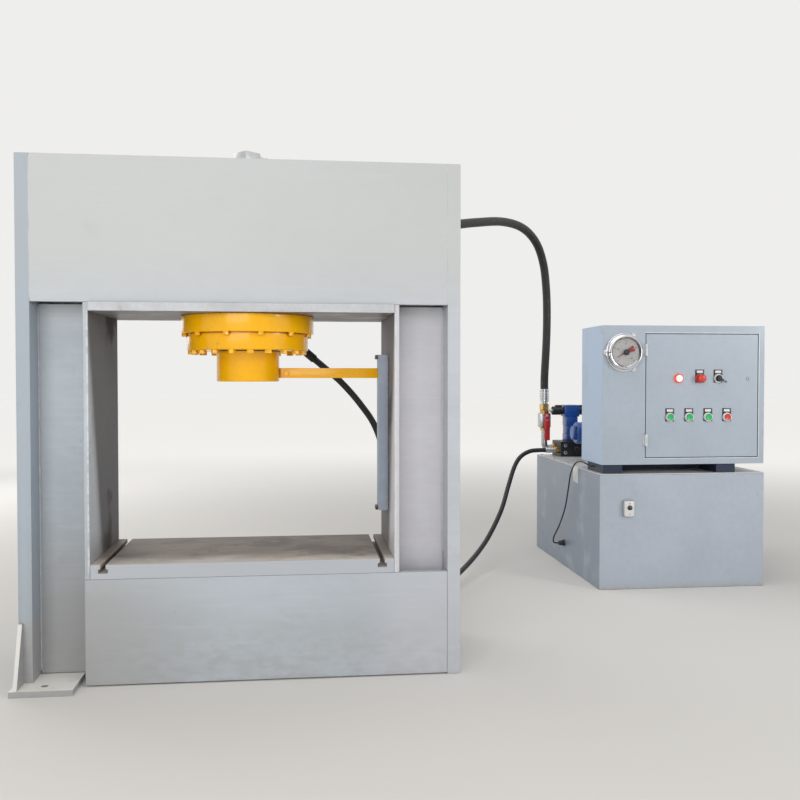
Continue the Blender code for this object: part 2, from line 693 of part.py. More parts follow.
def crown():
    """The crown weldment: front and rear plates, two cross webs and a top plate round the barrel."""
    reach = SIDE_INNER - SEAT_GAP
    cell = CROWN_CELL_WIDTH / 2
    web = cell + CROWN_WEB
    rear = PRESS_DEPTH - CROWN_PLATE
    top = PRESS_HEIGHT - CROWN_TOP_PLATE
    low, high = (-reach, 0, CROWN_BOTTOM), (reach, PRESS_DEPTH, PRESS_HEIGHT)
    beam = box("crown_box", low, high, FRAME_ENAMEL, PRESS)
    bays = ((-reach - CUT_OVERRUN, -web), (-cell, cell), (web, reach + CUT_OVERRUN))
    for i, (start, end) in enumerate(bays):
        low = (start, CROWN_PLATE, CROWN_BOTTOM - CUT_OVERRUN)
        cut(beam, box(f"crown_bay_{i}", low, (end, rear, top), None, PRESS))
    start = (0, CYLINDER_SETBACK, top - CROWN_TOP_PLATE)
    end = (0, CYLINDER_SETBACK, PRESS_HEIGHT + CUT_OVERRUN)
    cut(beam, rod("crown_bore", BARREL_RADIUS + BARREL_CLEARANCE, start, end, BIG_STEPS, None, PRESS))
    reach = HALF_DAYLIGHT - SEAT_GAP
    low = (-reach, -BOTTOM_PLATE_LIP, CROWN_BOTTOM - BOTTOM_PLATE)
    high = (reach, PRESS_DEPTH, CROWN_BOTTOM - SEAT_GAP)
    bottom = box("crown_bottom_plate", low, high, FRAME_ENAMEL, PRESS)
    start = (0, CYLINDER_SETBACK, CROWN_BOTTOM - BOTTOM_PLATE - CUT_OVERRUN)
    end = (0, CYLINDER_SETBACK, CROWN_BOTTOM + CUT_OVERRUN)
    cut(
        bottom,
        rod("bottom_plate_bore", BARREL_RADIUS + BARREL_CLEARANCE, start, end, BIG_STEPS, None, PRESS),
    )


def bed():
    """The bed weldment, whose front plate runs across the right column's foot, and the slotted table."""
    left = -(HALF_DAYLIGHT + INNER_PLATE)
    right = SIDE_INNER - SEAT_GAP
    reach = HALF_DAYLIGHT - SEAT_GAP
    cell = BED_CELL_WIDTH / 2
    web = cell + BED_WEB
    rear = PRESS_DEPTH - BED_PLATE
    outer = [
        (left, 0), (right, 0), (right, BED_PLATE), (web, BED_PLATE), (web, rear), (reach, rear),
        (reach, PRESS_DEPTH), (-reach, PRESS_DEPTH), (-reach, rear), (-web, rear), (-web, BED_PLATE),
        (left, BED_PLATE),
    ]
    inner = [(-cell, BED_PLATE), (cell, BED_PLATE), (cell, rear), (-cell, rear)]
    height = TABLE_BOTTOM - SEAT_GAP - BED_FLOOR_GAP
    extruded("bed_box", [outer, inner], height, FRAME_ENAMEL, PRESS, (0, 0, BED_FLOOR_GAP))
    slot_bottom = TABLE_TOP - SLOT_DEPTH
    head_top = slot_bottom + SLOT_HEAD_HEIGHT
    slots = []
    for middle in (HALF_DAYLIGHT - SLOT_EDGE, SLOT_EDGE - HALF_DAYLIGHT):
        neck, head = SLOT_WIDTH / 2, SLOT_HEAD_WIDTH / 2
        slots += [
            (middle + neck, TABLE_TOP), (middle + neck, head_top), (middle + head, head_top),
            (middle + head, slot_bottom), (middle - head, slot_bottom), (middle - head, head_top),
            (middle - neck, head_top), (middle - neck, TABLE_TOP),
        ]
    outline = [
        (-reach, TABLE_BOTTOM), (reach, TABLE_BOTTOM), (reach, TABLE_TOP), *slots, (-reach, TABLE_TOP),
    ]
    extruded(
        "table_plate", [outline], PRESS_DEPTH, BARE_TABLE, PRESS, (0, PRESS_DEPTH, 0), (
            math.radians(90), 0, 0,
        )
    )


def bolt_circle(piece, count, turn, middle_radius, flats, bottom, top):
    """Hexagon heads round a ring, joined to it."""
    for i in range(count):
        angle = turn + math.tau * i / count
        x, y = middle_radius * math.sin(angle), -middle_radius * math.cos(angle)
        bolt = rod(
            f"{piece.name}_bolt_{i}", hex_radius(flats), (x, y, bottom), (x, y, top), HEX_SIDES, None, PRESS,
            CYLINDER_PLACE, angle + math.pi / 6,
        )
        fuse(piece, bolt)


def cylinder():
    """The barrel, its mounting flange, the gland and the wiper."""
    bore_top = BARREL_TOP - BARREL_HEAD
    bottom = FLANGE_BOTTOM + SEAT_GAP
    barrel = [
        (0, BARREL_TOP), (BARREL_RADIUS - BARREL_CHAMFER, BARREL_TOP),
        (BARREL_RADIUS, BARREL_TOP - BARREL_CHAMFER), (BARREL_RADIUS, bottom), (BORE_RADIUS, bottom),
        (BORE_RADIUS, bore_top), (0, bore_top),
    ]
    turned("cylinder_barrel", barrel, BIG_STEPS, CYLINDER_ENAMEL, PRESS, CYLINDER_PLACE)
    inner = BARREL_RADIUS + RUNNING_GAP
    top, bottom = FLANGE_TOP - SEAT_GAP, FLANGE_BOTTOM + SEAT_GAP
    ring = [
        (FLANGE_RADIUS - FLANGE_CHAMFER, top), (FLANGE_RADIUS, top - FLANGE_CHAMFER),
        (FLANGE_RADIUS, bottom + FLANGE_CHAMFER), (FLANGE_RADIUS - FLANGE_CHAMFER, bottom),
        (inner, bottom), (inner, top),
    ]
    flange = turned("mounting_flange", ring, BIG_STEPS, CYLINDER_ENAMEL, PRESS, CYLINDER_PLACE, closed=True)
    bolt_radius = FLANGE_RADIUS - FLANGE_BOLT_EDGE
    bolt_circle(
        flange, FLANGE_BOLTS, FLANGE_BOLT_TURN, bolt_radius, FLANGE_BOLT_FLATS, bottom - FLANGE_BOLT_HEAD,
        bottom + FUSE_DEPTH,
    )
    top, bottom = FLANGE_BOTTOM, GLAND_BOTTOM
    inner = RAM_RADIUS + RUNNING_GAP
    spigot = BORE_RADIUS - RUNNING_GAP
    wiper_outer = inner + WIPER_WIDTH
    ledge = GLAND_RADIUS - GLAND_CLEAR
    ring = [
        (spigot, top + GLAND_SPIGOT), (spigot, top), (ledge, top),
        (ledge, top - GLAND_STEP), (GLAND_RADIUS, top - GLAND_STEP), (GLAND_RADIUS, bottom + FLANGE_CHAMFER),
        (GLAND_RADIUS - FLANGE_CHAMFER, bottom), (wiper_outer, bottom), (wiper_outer, bottom + WIPER_HEIGHT),
        (inner, bottom + WIPER_HEIGHT), (inner, top + GLAND_SPIGOT),
    ]
    gland = turned("gland", ring, BIG_STEPS, CYLINDER_ENAMEL, PRESS, CYLINDER_PLACE, closed=True)
    bolt_radius = GLAND_RADIUS - GLAND_BOLT_EDGE
    bolt_circle(
        gland, GLAND_BOLTS, GLAND_BOLT_TURN, bolt_radius, GLAND_BOLT_FLATS, bottom - GLAND_BOLT_HEAD,
        bottom + FUSE_DEPTH,
    )
    outer = wiper_outer - SEAT_GAP
    inner = RAM_RADIUS + RUNNING_GAP
    top = GLAND_BOTTOM + WIPER_HEIGHT - SEAT_GAP
    lip = GLAND_BOTTOM - WIPER_LIP
    ring = [(outer, top), (outer, GLAND_BOTTOM), (inner + WIPER_LIP, lip), (inner, lip), (inner, top)]
    turned("wiper_ring", ring, BIG_STEPS, BLACK_RUBBER, PRESS, CYLINDER_PLACE, closed=True)


def moving_ram():
    """The ram, the piston on its upper end and the guide arm bolted to its lug."""
    lug_y = CYLINDER_SETBACK + ARM_THICKNESS / 2 + SEAT_GAP
    top = PISTON_BOTTOM - SEAT_GAP
    profile = [
        (0, top), (RAM_RADIUS, top), (RAM_RADIUS, RAM_BOTTOM + RAM_CHAMFER),
        (RAM_RADIUS - RAM_CHAMFER, RAM_BOTTOM), (0, RAM_BOTTOM),
    ]
    ram = turned("ram", profile, BIG_STEPS, CYLINDER_ENAMEL, PRESS, CYLINDER_PLACE)
    low = (RAM_RADIUS - LUG_THICKNESS, lug_y, ARM_BOTTOM)
    high = (RAM_RADIUS + LUG_REACH, lug_y + LUG_THICKNESS, ARM_BOTTOM + ARM_HEIGHT)
    fuse(ram, box("ram_lug", low, high, None, PRESS))
    outer = BORE_RADIUS - RUNNING_GAP
    groove = outer - PISTON_GROOVE
    middle = (PISTON_BOTTOM + PISTON_TOP) / 2
    half = PISTON_GROOVE_HEIGHT / 2
    profile = [
        (0, PISTON_TOP), (outer, PISTON_TOP), (outer, middle + half), (groove, middle + half),
        (groove, middle - half), (outer, middle - half), (outer, PISTON_BOTTOM), (0, PISTON_BOTTOM),
    ]
    piston = turned("piston", profile, BIG_STEPS, STEEL, PRESS, CYLINDER_PLACE)
    arm_y = CYLINDER_SETBACK - ARM_THICKNESS / 2
    tip = HALF_DAYLIGHT - RAIL_DEPTH + RAIL_GROOVE_DEPTH - ARM_TIP_GAP
    low = (RAM_RADIUS + ARM_TIP_GAP, arm_y, ARM_BOTTOM)
    high = (tip, arm_y + ARM_THICKNESS, ARM_BOTTOM + ARM_HEIGHT)
    arm = box("guide_arm", low, high, CYLINDER_ENAMEL, PRESS)
    bolt_x = RAM_RADIUS + LUG_REACH / 2
    start = (bolt_x, arm_y - ARM_BOLT_HEAD, ARM_MIDDLE)
    end = (bolt_x, arm_y + FUSE_DEPTH, ARM_MIDDLE)
    fuse(arm, rod("arm_bolt", hex_radius(ARM_BOLT_FLATS), start, end, HEX_SIDES, None, PRESS))
    for piece in (ram, piston, arm):
        hang(RAM_AXIS, piece)


def guide_rail():
    """The channel on the right column's inner face that the guide arm's tip runs in."""
    face = HALF_DAYLIGHT - SEAT_GAP
    front = face - RAIL_DEPTH
    floor = front + RAIL_GROOVE_DEPTH
    low, high = CYLINDER_SETBACK - RAIL_WIDTH / 2, CYLINDER_SETBACK + RAIL_WIDTH / 2
    groove = ARM_THICKNESS / 2 + RAIL_GROOVE_SIDE
    near, far = CYLINDER_SETBACK - groove, CYLINDER_SETBACK + groove
    outline = [
        (face, low), (face, high), (front, high), (front, far), (floor, far), (floor, near), (front, near),
        (front, low),
    ]
    extruded("limit_rail", [outline], RAIL_TOP - RAIL_BOTTOM, FRAME_ENAMEL, PRESS, (0, 0, RAIL_BOTTOM))


def hose_fitting(
    name, nut_radius, nut_length, ferrule_radius, ferrule_length, parent, place, turn, shank=0.0,
):
    """A crimped hose end about local Z: hexagon nut, neck and ribbed ferrule."""
    neck = ferrule_radius * FITTING_NECK_SHARE
    ribs = FERRULE_RIBS
    pitch = ferrule_length / ribs
    low = ferrule_radius * FERRULE_GROOVE_SHARE
    top = nut_length + ferrule_length
    profile = [(0, top), (ferrule_radius, top)]
    for i in range(1, ribs):
        height = top - i * pitch
        profile += [
            (ferrule_radius, height + pitch * RIB_EDGE_SHARE), (low, height), (
                ferrule_radius, height - pitch * RIB_EDGE_SHARE,
            )
        ]
    profile += [
        (ferrule_radius, nut_length + pitch / 2), (neck, nut_length + pitch / 2), (neck, -shank),
        (0, -shank),
    ]
    body = turned(name, profile, SMALL_STEPS, ZINC, parent, place, turn)
    nut = rod(name + "_nut", nut_radius, (0, 0, 0), (0, 0, nut_length), HEX_SIDES, None, parent, place)
    nut.rotation_euler = turn
    fuse(body, nut)
    return body


def ports():
    """The two port fittings on the cylinder: on the barrel's head and on the gland's rear right side."""
    height = BARREL_TOP + SEAT_GAP
    azimuth = PORT_AZIMUTH
    middle = height + PORT_BLOCK_HEIGHT + TALL_NUT_RADIUS
    reach = PORT_BLOCK / 2
    place = (reach * math.cos(azimuth), CYLINDER_SETBACK + reach * math.sin(azimuth), middle)
    turn = (0, math.radians(90), azimuth)
    upper = hose_fitting(
        "upper_port_fitting", TALL_NUT_RADIUS, TALL_NUT_LENGTH, TALL_FERRULE_RADIUS, TALL_FERRULE_LENGTH, PRESS,
        place, turn, shank=PORT_BLOCK / 2,
    )
    top = middle + TALL_NUT_RADIUS
    elbow = box(
        "upper_port_elbow", (-reach, -reach, height), (reach + FUSE_DEPTH, reach, top), None, PRESS,
        CYLINDER_PLACE, (0, 0, azimuth),
    )
    fuse(upper, elbow)
    azimuth = LOWER_PORT_AZIMUTH
    half = LOW_PORT_BLOCK / 2
    radius = GLAND_RADIUS + SEAT_GAP
    middle = (FLANGE_BOTTOM + GLAND_BOTTOM - GLAND_STEP) / 2
    centre = radius + half
    place = (centre * math.cos(azimuth), CYLINDER_SETBACK + centre * math.sin(azimuth), middle)
    lower = hose_fitting(
        "lower_port_fitting", LOW_NUT_RADIUS, LOW_NUT_LENGTH + half, LOW_FERRULE_RADIUS, LOW_FERRULE_LENGTH, PRESS,
        place, (0, math.radians(90) + LOW_PORT_TILT, azimuth),
    )
    low, high = (radius, -half, middle - half), (radius + LOW_PORT_BLOCK, half, middle + half)
    fuse(lower, box("lower_port_block", low, high, None, PRESS, CYLINDER_PLACE, (0, 0, azimuth)))


def tank():
    """The folded oil tank with its inward rim, and the lid that carries the unit."""
    width, depth = TANK_WIDTH, TANK_DEPTH
    shell = box("oil_tank", (0, 0, 0), (width, depth, TANK_HEIGHT), TANK_ENAMEL, UNIT)
    low = (TANK_WALL, TANK_WALL, TANK_WALL)
    high = (width - TANK_WALL, depth - TANK_WALL, TANK_HEIGHT - TANK_WALL)
    cut(shell, box("tank_hollow", low, high, None, UNIT))
    low = (TANK_RIM, TANK_RIM, TANK_HEIGHT - TANK_WALL - CUT_OVERRUN)
    high = (width - TANK_RIM, depth - TANK_RIM, TANK_HEIGHT + CUT_OVERRUN)
    cut(shell, box("tank_mouth", low, high, None, UNIT))
    box("tank_lid", (0, 0, TANK_HEIGHT + SEAT_GAP), (width, depth, LID_TOP), TANK_ENAMEL, UNIT)
    bottom = LID_TOP + SEAT_GAP
    neck_top = bottom + BREATHER_NECK
    top = bottom + BREATHER_HEIGHT
    crown_edge = (top - neck_top) / 4
    profile = [
        (0, top), (BREATHER_RADIUS - crown_edge, top), (BREATHER_RADIUS, top - crown_edge),
        (BREATHER_RADIUS, neck_top), (BREATHER_NECK_RADIUS, neck_top), (BREATHER_NECK_RADIUS, bottom), (0, bottom),
    ]
    turned("filler_cap", profile, MEDIUM_STEPS, CHROME, UNIT, (BREATHER_X, BREATHER_Y, 0))


def motor_and_pump():
    """The foot-mounted motor with its fins and terminal box, its fan cover, the bellhousing and the pump."""
    place = (0, MOTOR_Y, MOTOR_Z)
    root = MOTOR_RADIUS
    outline = []
    for i in range(MOTOR_FINS):
        middle = math.tau * (i + 0.5) / MOTOR_FINS
        inner = FIN_WIDTH / 2 / root
        outer = FIN_WIDTH / 2 / (root + FIN_HEIGHT) * FIN_TAPER_SHARE
        for angle, radius in (
            (middle - inner, root), (middle - outer, root + FIN_HEIGHT), (middle + outer, root + FIN_HEIGHT),
            (middle + inner, root),
        ):
            outline.append((radius * math.cos(angle), radius * math.sin(angle)))
    motor = extruded(
        "electric_motor", [outline], MOTOR_LENGTH, BLUE_ENAMEL, UNIT, (MOTOR_X, *place[1:]), (
            0, math.radians(90), 0,
        )
    )
    foot_x = MOTOR_X + (MOTOR_LENGTH - MOTOR_FOOT_LENGTH) / 2
    bottom = LID_TOP + SEAT_GAP
    half = MOTOR_FOOT_WIDTH / 2
    low = (foot_x, MOTOR_Y - half, bottom)
    high = (foot_x + MOTOR_FOOT_LENGTH, MOTOR_Y + half, bottom + MOTOR_FOOT_PLATE)
    fuse(motor, box("motor_foot_plate", low, high, None, UNIT))
    half = MOTOR_FOOT_WIDTH / 4
    low = (foot_x, MOTOR_Y - half, bottom + MOTOR_FOOT_PLATE - FUSE_DEPTH)
    high = (foot_x + MOTOR_FOOT_LENGTH, MOTOR_Y + half, bottom + MOTOR_FOOT_RISE)
    fuse(motor, box("motor_foot_rise", low, high, None, UNIT))
    box_x = MOTOR_X + (MOTOR_LENGTH - TERMINAL_LENGTH) / 2
    low = (box_x, MOTOR_Y - TERMINAL_WIDTH / 2, MOTOR_Z + root - FUSE_DEPTH)
    high = (
        box_x + TERMINAL_LENGTH, MOTOR_Y + TERMINAL_WIDTH / 2,
        MOTOR_Z + root + FIN_HEIGHT + TERMINAL_HEIGHT,
    )
    fuse(motor, box("motor_terminal_box", low, high, None, UNIT))
    start = MOTOR_X + MOTOR_LENGTH + SEAT_GAP
    end = start + FAN_COVER_LENGTH
    edge = FAN_COVER_LENGTH / 4
    profile = [
        (0, end), (FAN_COVER_RADIUS - edge, end), (FAN_COVER_RADIUS, end - edge), (FAN_COVER_RADIUS, start), (0, start),
    ]
    turned("motor_fan_cover", profile, MEDIUM_STEPS, BLUE_ENAMEL, UNIT, place, (0, math.radians(90), 0))
    end = MOTOR_X - SEAT_GAP
    start = end - BELL_LENGTH
    profile = [
        (0, end), (BELL_FLANGE_RADIUS, end), (BELL_FLANGE_RADIUS, end - BELL_FLANGE),
        (BELL_NECK_RADIUS, start + BELL_FLANGE), (PUMP_FLANGE_RADIUS, start + BELL_FLANGE),
        (PUMP_FLANGE_RADIUS, start), (0, start),
    ]
    turned("bellhousing", profile, MEDIUM_STEPS, BLUE_ENAMEL, UNIT, place, (0, math.radians(90), 0))
    end = start - SEAT_GAP
    start = end - PUMP_LENGTH
    profile = [
        (0, end), (PUMP_FLANGE_RADIUS, end), (PUMP_FLANGE_RADIUS, end - PUMP_FLANGE),
        (PUMP_RADIUS, end - PUMP_FLANGE), (PUMP_RADIUS, start + PUMP_END), (PUMP_END_RADIUS, start + PUMP_END),
        (PUMP_END_RADIUS, start), (0, start),
    ]
    turned("pump", profile, MEDIUM_STEPS, BLUE_ENAMEL, UNIT, place, (0, math.radians(90), 0))


def valves():
    """The manifold with its valve stack and relief knob, the ball valve on its riser and the hose ends."""
    bottom = LID_TOP + SEAT_GAP
    far = (BLOCK_X + BLOCK_WIDTH, BLOCK_Y + BLOCK_DEPTH, BLOCK_TOP)
    box("valve_block", (BLOCK_X, BLOCK_Y, bottom), far, DARK_IRON, UNIT)
    middle_x = BLOCK_X + BLOCK_WIDTH / 2
    middle_y = BLOCK_Y + BLOCK_DEPTH / 2
    stack_bottom = BLOCK_TOP + SEAT_GAP
    stack_top = stack_bottom + STACK_HEIGHT
    low = (middle_x - STACK_WIDTH / 2, middle_y - STACK_DEPTH / 2, stack_bottom)
    high = (middle_x + STACK_WIDTH / 2, middle_y + STACK_DEPTH / 2, stack_top)
    stack = box("solenoid_valve", low, high, BLUE_ENAMEL, UNIT)
    half = VALVE_BODY_WIDTH / 2
    low = (middle_x - half, middle_y - STACK_DEPTH / 2 - FUSE_DEPTH, stack_top - FUSE_DEPTH)
    high = (middle_x + half, middle_y + STACK_DEPTH / 2 + FUSE_DEPTH, stack_top + VALVE_BODY_HEIGHT)
    fuse(stack, box("valve_body", low, high, None, UNIT))
    coil_z = stack_top + VALVE_BODY_HEIGHT / 2
    for side in (-1, 1):
        start = (middle_x + side * (half - FUSE_DEPTH), middle_y, coil_z)
        end = (middle_x + side * (half + COIL_LENGTH), middle_y, coil_z)
        tip = (middle_x + side * (half + COIL_LENGTH + COIL_CAP), middle_y, coil_z)
        fuse(stack, rod(f"coil_{side}", COIL_RADIUS, start, end, SMALL_STEPS, None, UNIT))
        fuse(stack, rod(f"coil_cap_{side}", COIL_CAP_RADIUS, start, tip, SMALL_STEPS, None, UNIT))
    knob_y = BLOCK_Y - SEAT_GAP
    knob_z = (bottom + BLOCK_TOP) / 2
    profile = [
        (0, RELIEF_NECK + RELIEF_LENGTH), (RELIEF_RADIUS, RELIEF_NECK + RELIEF_LENGTH),
        (RELIEF_RADIUS, RELIEF_NECK), (RELIEF_NECK_RADIUS, RELIEF_NECK), (RELIEF_NECK_RADIUS, 0), (0, 0),
    ]
    turned(
        "relief_knob", profile, KNURL_STEPS, BLACK_PLASTIC, UNIT, (middle_x, knob_y, knob_z), (
            math.radians(90), 0, 0,
        )
    )
    ball_top = BALL_BODY_BOTTOM + BALL_BODY_HEIGHT
    riser_z = bottom + RISER_HEIGHT
    half = BALL_BODY_WIDTH / 2
    low = (RISER_X - half, RISER_Y - half, BALL_BODY_BOTTOM)
    valve = box("ball_valve", low, (RISER_X + half, RISER_Y + half, ball_top), STEEL, UNIT)
    riser_start = (RISER_X, RISER_Y, riser_z - RISER_RADIUS)
    fuse(
        valve,
        rod("riser", RISER_RADIUS, riser_start, (RISER_X, RISER_Y, ball_top), SMALL_STEPS, None, UNIT),
    )
    reach_end = (BLOCK_X - SEAT_GAP, RISER_Y, riser_z)
    fuse(
        valve,
        rod("riser_elbow", RISER_RADIUS * ELBOW_SHARE, (RISER_X, RISER_Y, riser_z), reach_end, SMALL_STEPS, None, UNIT),
    )
    nut_top = ball_top + BALL_COLLAR
    nut_start = (RISER_X, RISER_Y, ball_top - FUSE_DEPTH)
    fuse(
        valve,
        rod("valve_collar", TALL_NUT_RADIUS, nut_start, (RISER_X, RISER_Y, nut_top), HEX_SIDES, None, UNIT),
    )
    hose_fitting(
        "tall_hose_fitting", TALL_NUT_RADIUS, TALL_NUT_LENGTH, TALL_FERRULE_RADIUS, TALL_FERRULE_LENGTH, UNIT,
        (RISER_X, RISER_Y, nut_top + SEAT_GAP), (0, 0, 0),
    )
    stem_z = ball_top - HANDLE_WIDTH / 2
    stem_y = RISER_Y - half - SEAT_GAP
    outline = [
        (0, 0), (-HANDLE_THICKNESS, 0), (-HANDLE_THICKNESS, -HANDLE_WIDTH),
        (-HANDLE_THICKNESS - HANDLE_JOG, -HANDLE_WIDTH - HANDLE_JOG), (-HANDLE_THICKNESS - HANDLE_JOG, -HANDLE_LENGTH),
        (-HANDLE_JOG, -HANDLE_LENGTH), (-HANDLE_JOG, -HANDLE_WIDTH - HANDLE_JOG), (0, -HANDLE_WIDTH),
    ]
    lever = extruded(
        "ball_valve_handle", [[(y, z + HANDLE_WIDTH / 2) for y, z in outline]], HANDLE_WIDTH, RED_ENAMEL, UNIT,
        (RISER_X, stem_y - BALL_STEM, stem_z), (math.radians(90), 0, math.radians(90)),
    )
    lever.data.transform(Matrix.Translation((0, 0, -HANDLE_WIDTH / 2)))
    stem = rod(
        "valve_stem", BALL_STEM_RADIUS, (0, -FUSE_DEPTH, 0), (0, BALL_STEM, 0), SMALL_STEPS, None, UNIT,
        (RISER_X, stem_y - BALL_STEM, stem_z),
    )
    fuse(lever, stem)
    hose_fitting(
        "low_hose_fitting", LOW_NUT_RADIUS, LOW_NUT_LENGTH, LOW_FERRULE_RADIUS, LOW_FERRULE_LENGTH, UNIT,
        (BLOCK_X - SEAT_GAP, LOW_FITTING_Y, LOW_FITTING_Z), (0, math.radians(-90), 0),
    )


def tank_fittings():
    """The temperature switch on the tank's front with its dial, and the sensor low on its left side."""
    half = SWITCH_WIDTH / 2
    low = (SWITCH_X - half, -SWITCH_DEPTH, SWITCH_Z - SWITCH_HEIGHT / 2)
    high = (SWITCH_X + half, -SEAT_GAP, SWITCH_Z + SWITCH_HEIGHT / 2)
    rounded(box("temperature_switch", low, high, WHITE_PLASTIC, UNIT), SWITCH_CORNER, 2)
    place = (SWITCH_X, -SWITCH_DEPTH - SEAT_GAP, SWITCH_Z + SWITCH_KNOB_LIFT)
    knob = [
        (0, SWITCH_KNOB_REACH), (SWITCH_KNOB_RADIUS * KNOB_TAPER_SHARE, SWITCH_KNOB_REACH), (SWITCH_KNOB_RADIUS, 0), (0, 0),
    ]
    turned("temperature_knob", knob, SMALL_STEPS, BLACK_PLASTIC, UNIT, place, (math.radians(90), 0, 0))
    profile = [
        (0, SENSOR_REACH), (SENSOR_RADIUS * KNOB_TAPER_SHARE, SENSOR_REACH), (SENSOR_RADIUS, SENSOR_REACH - SENSOR_NUT),
        (SENSOR_RADIUS, SENSOR_NUT), (SENSOR_NUT_RADIUS, SENSOR_NUT), (SENSOR_NUT_RADIUS, 0), (0, 0),
    ]
    turned(
        "cable_sensor", profile, SMALL_STEPS, BLACK_PLASTIC, UNIT, (-SEAT_GAP, SENSOR_Y, SENSOR_Z),
        (0, math.radians(-90), 0),
    )


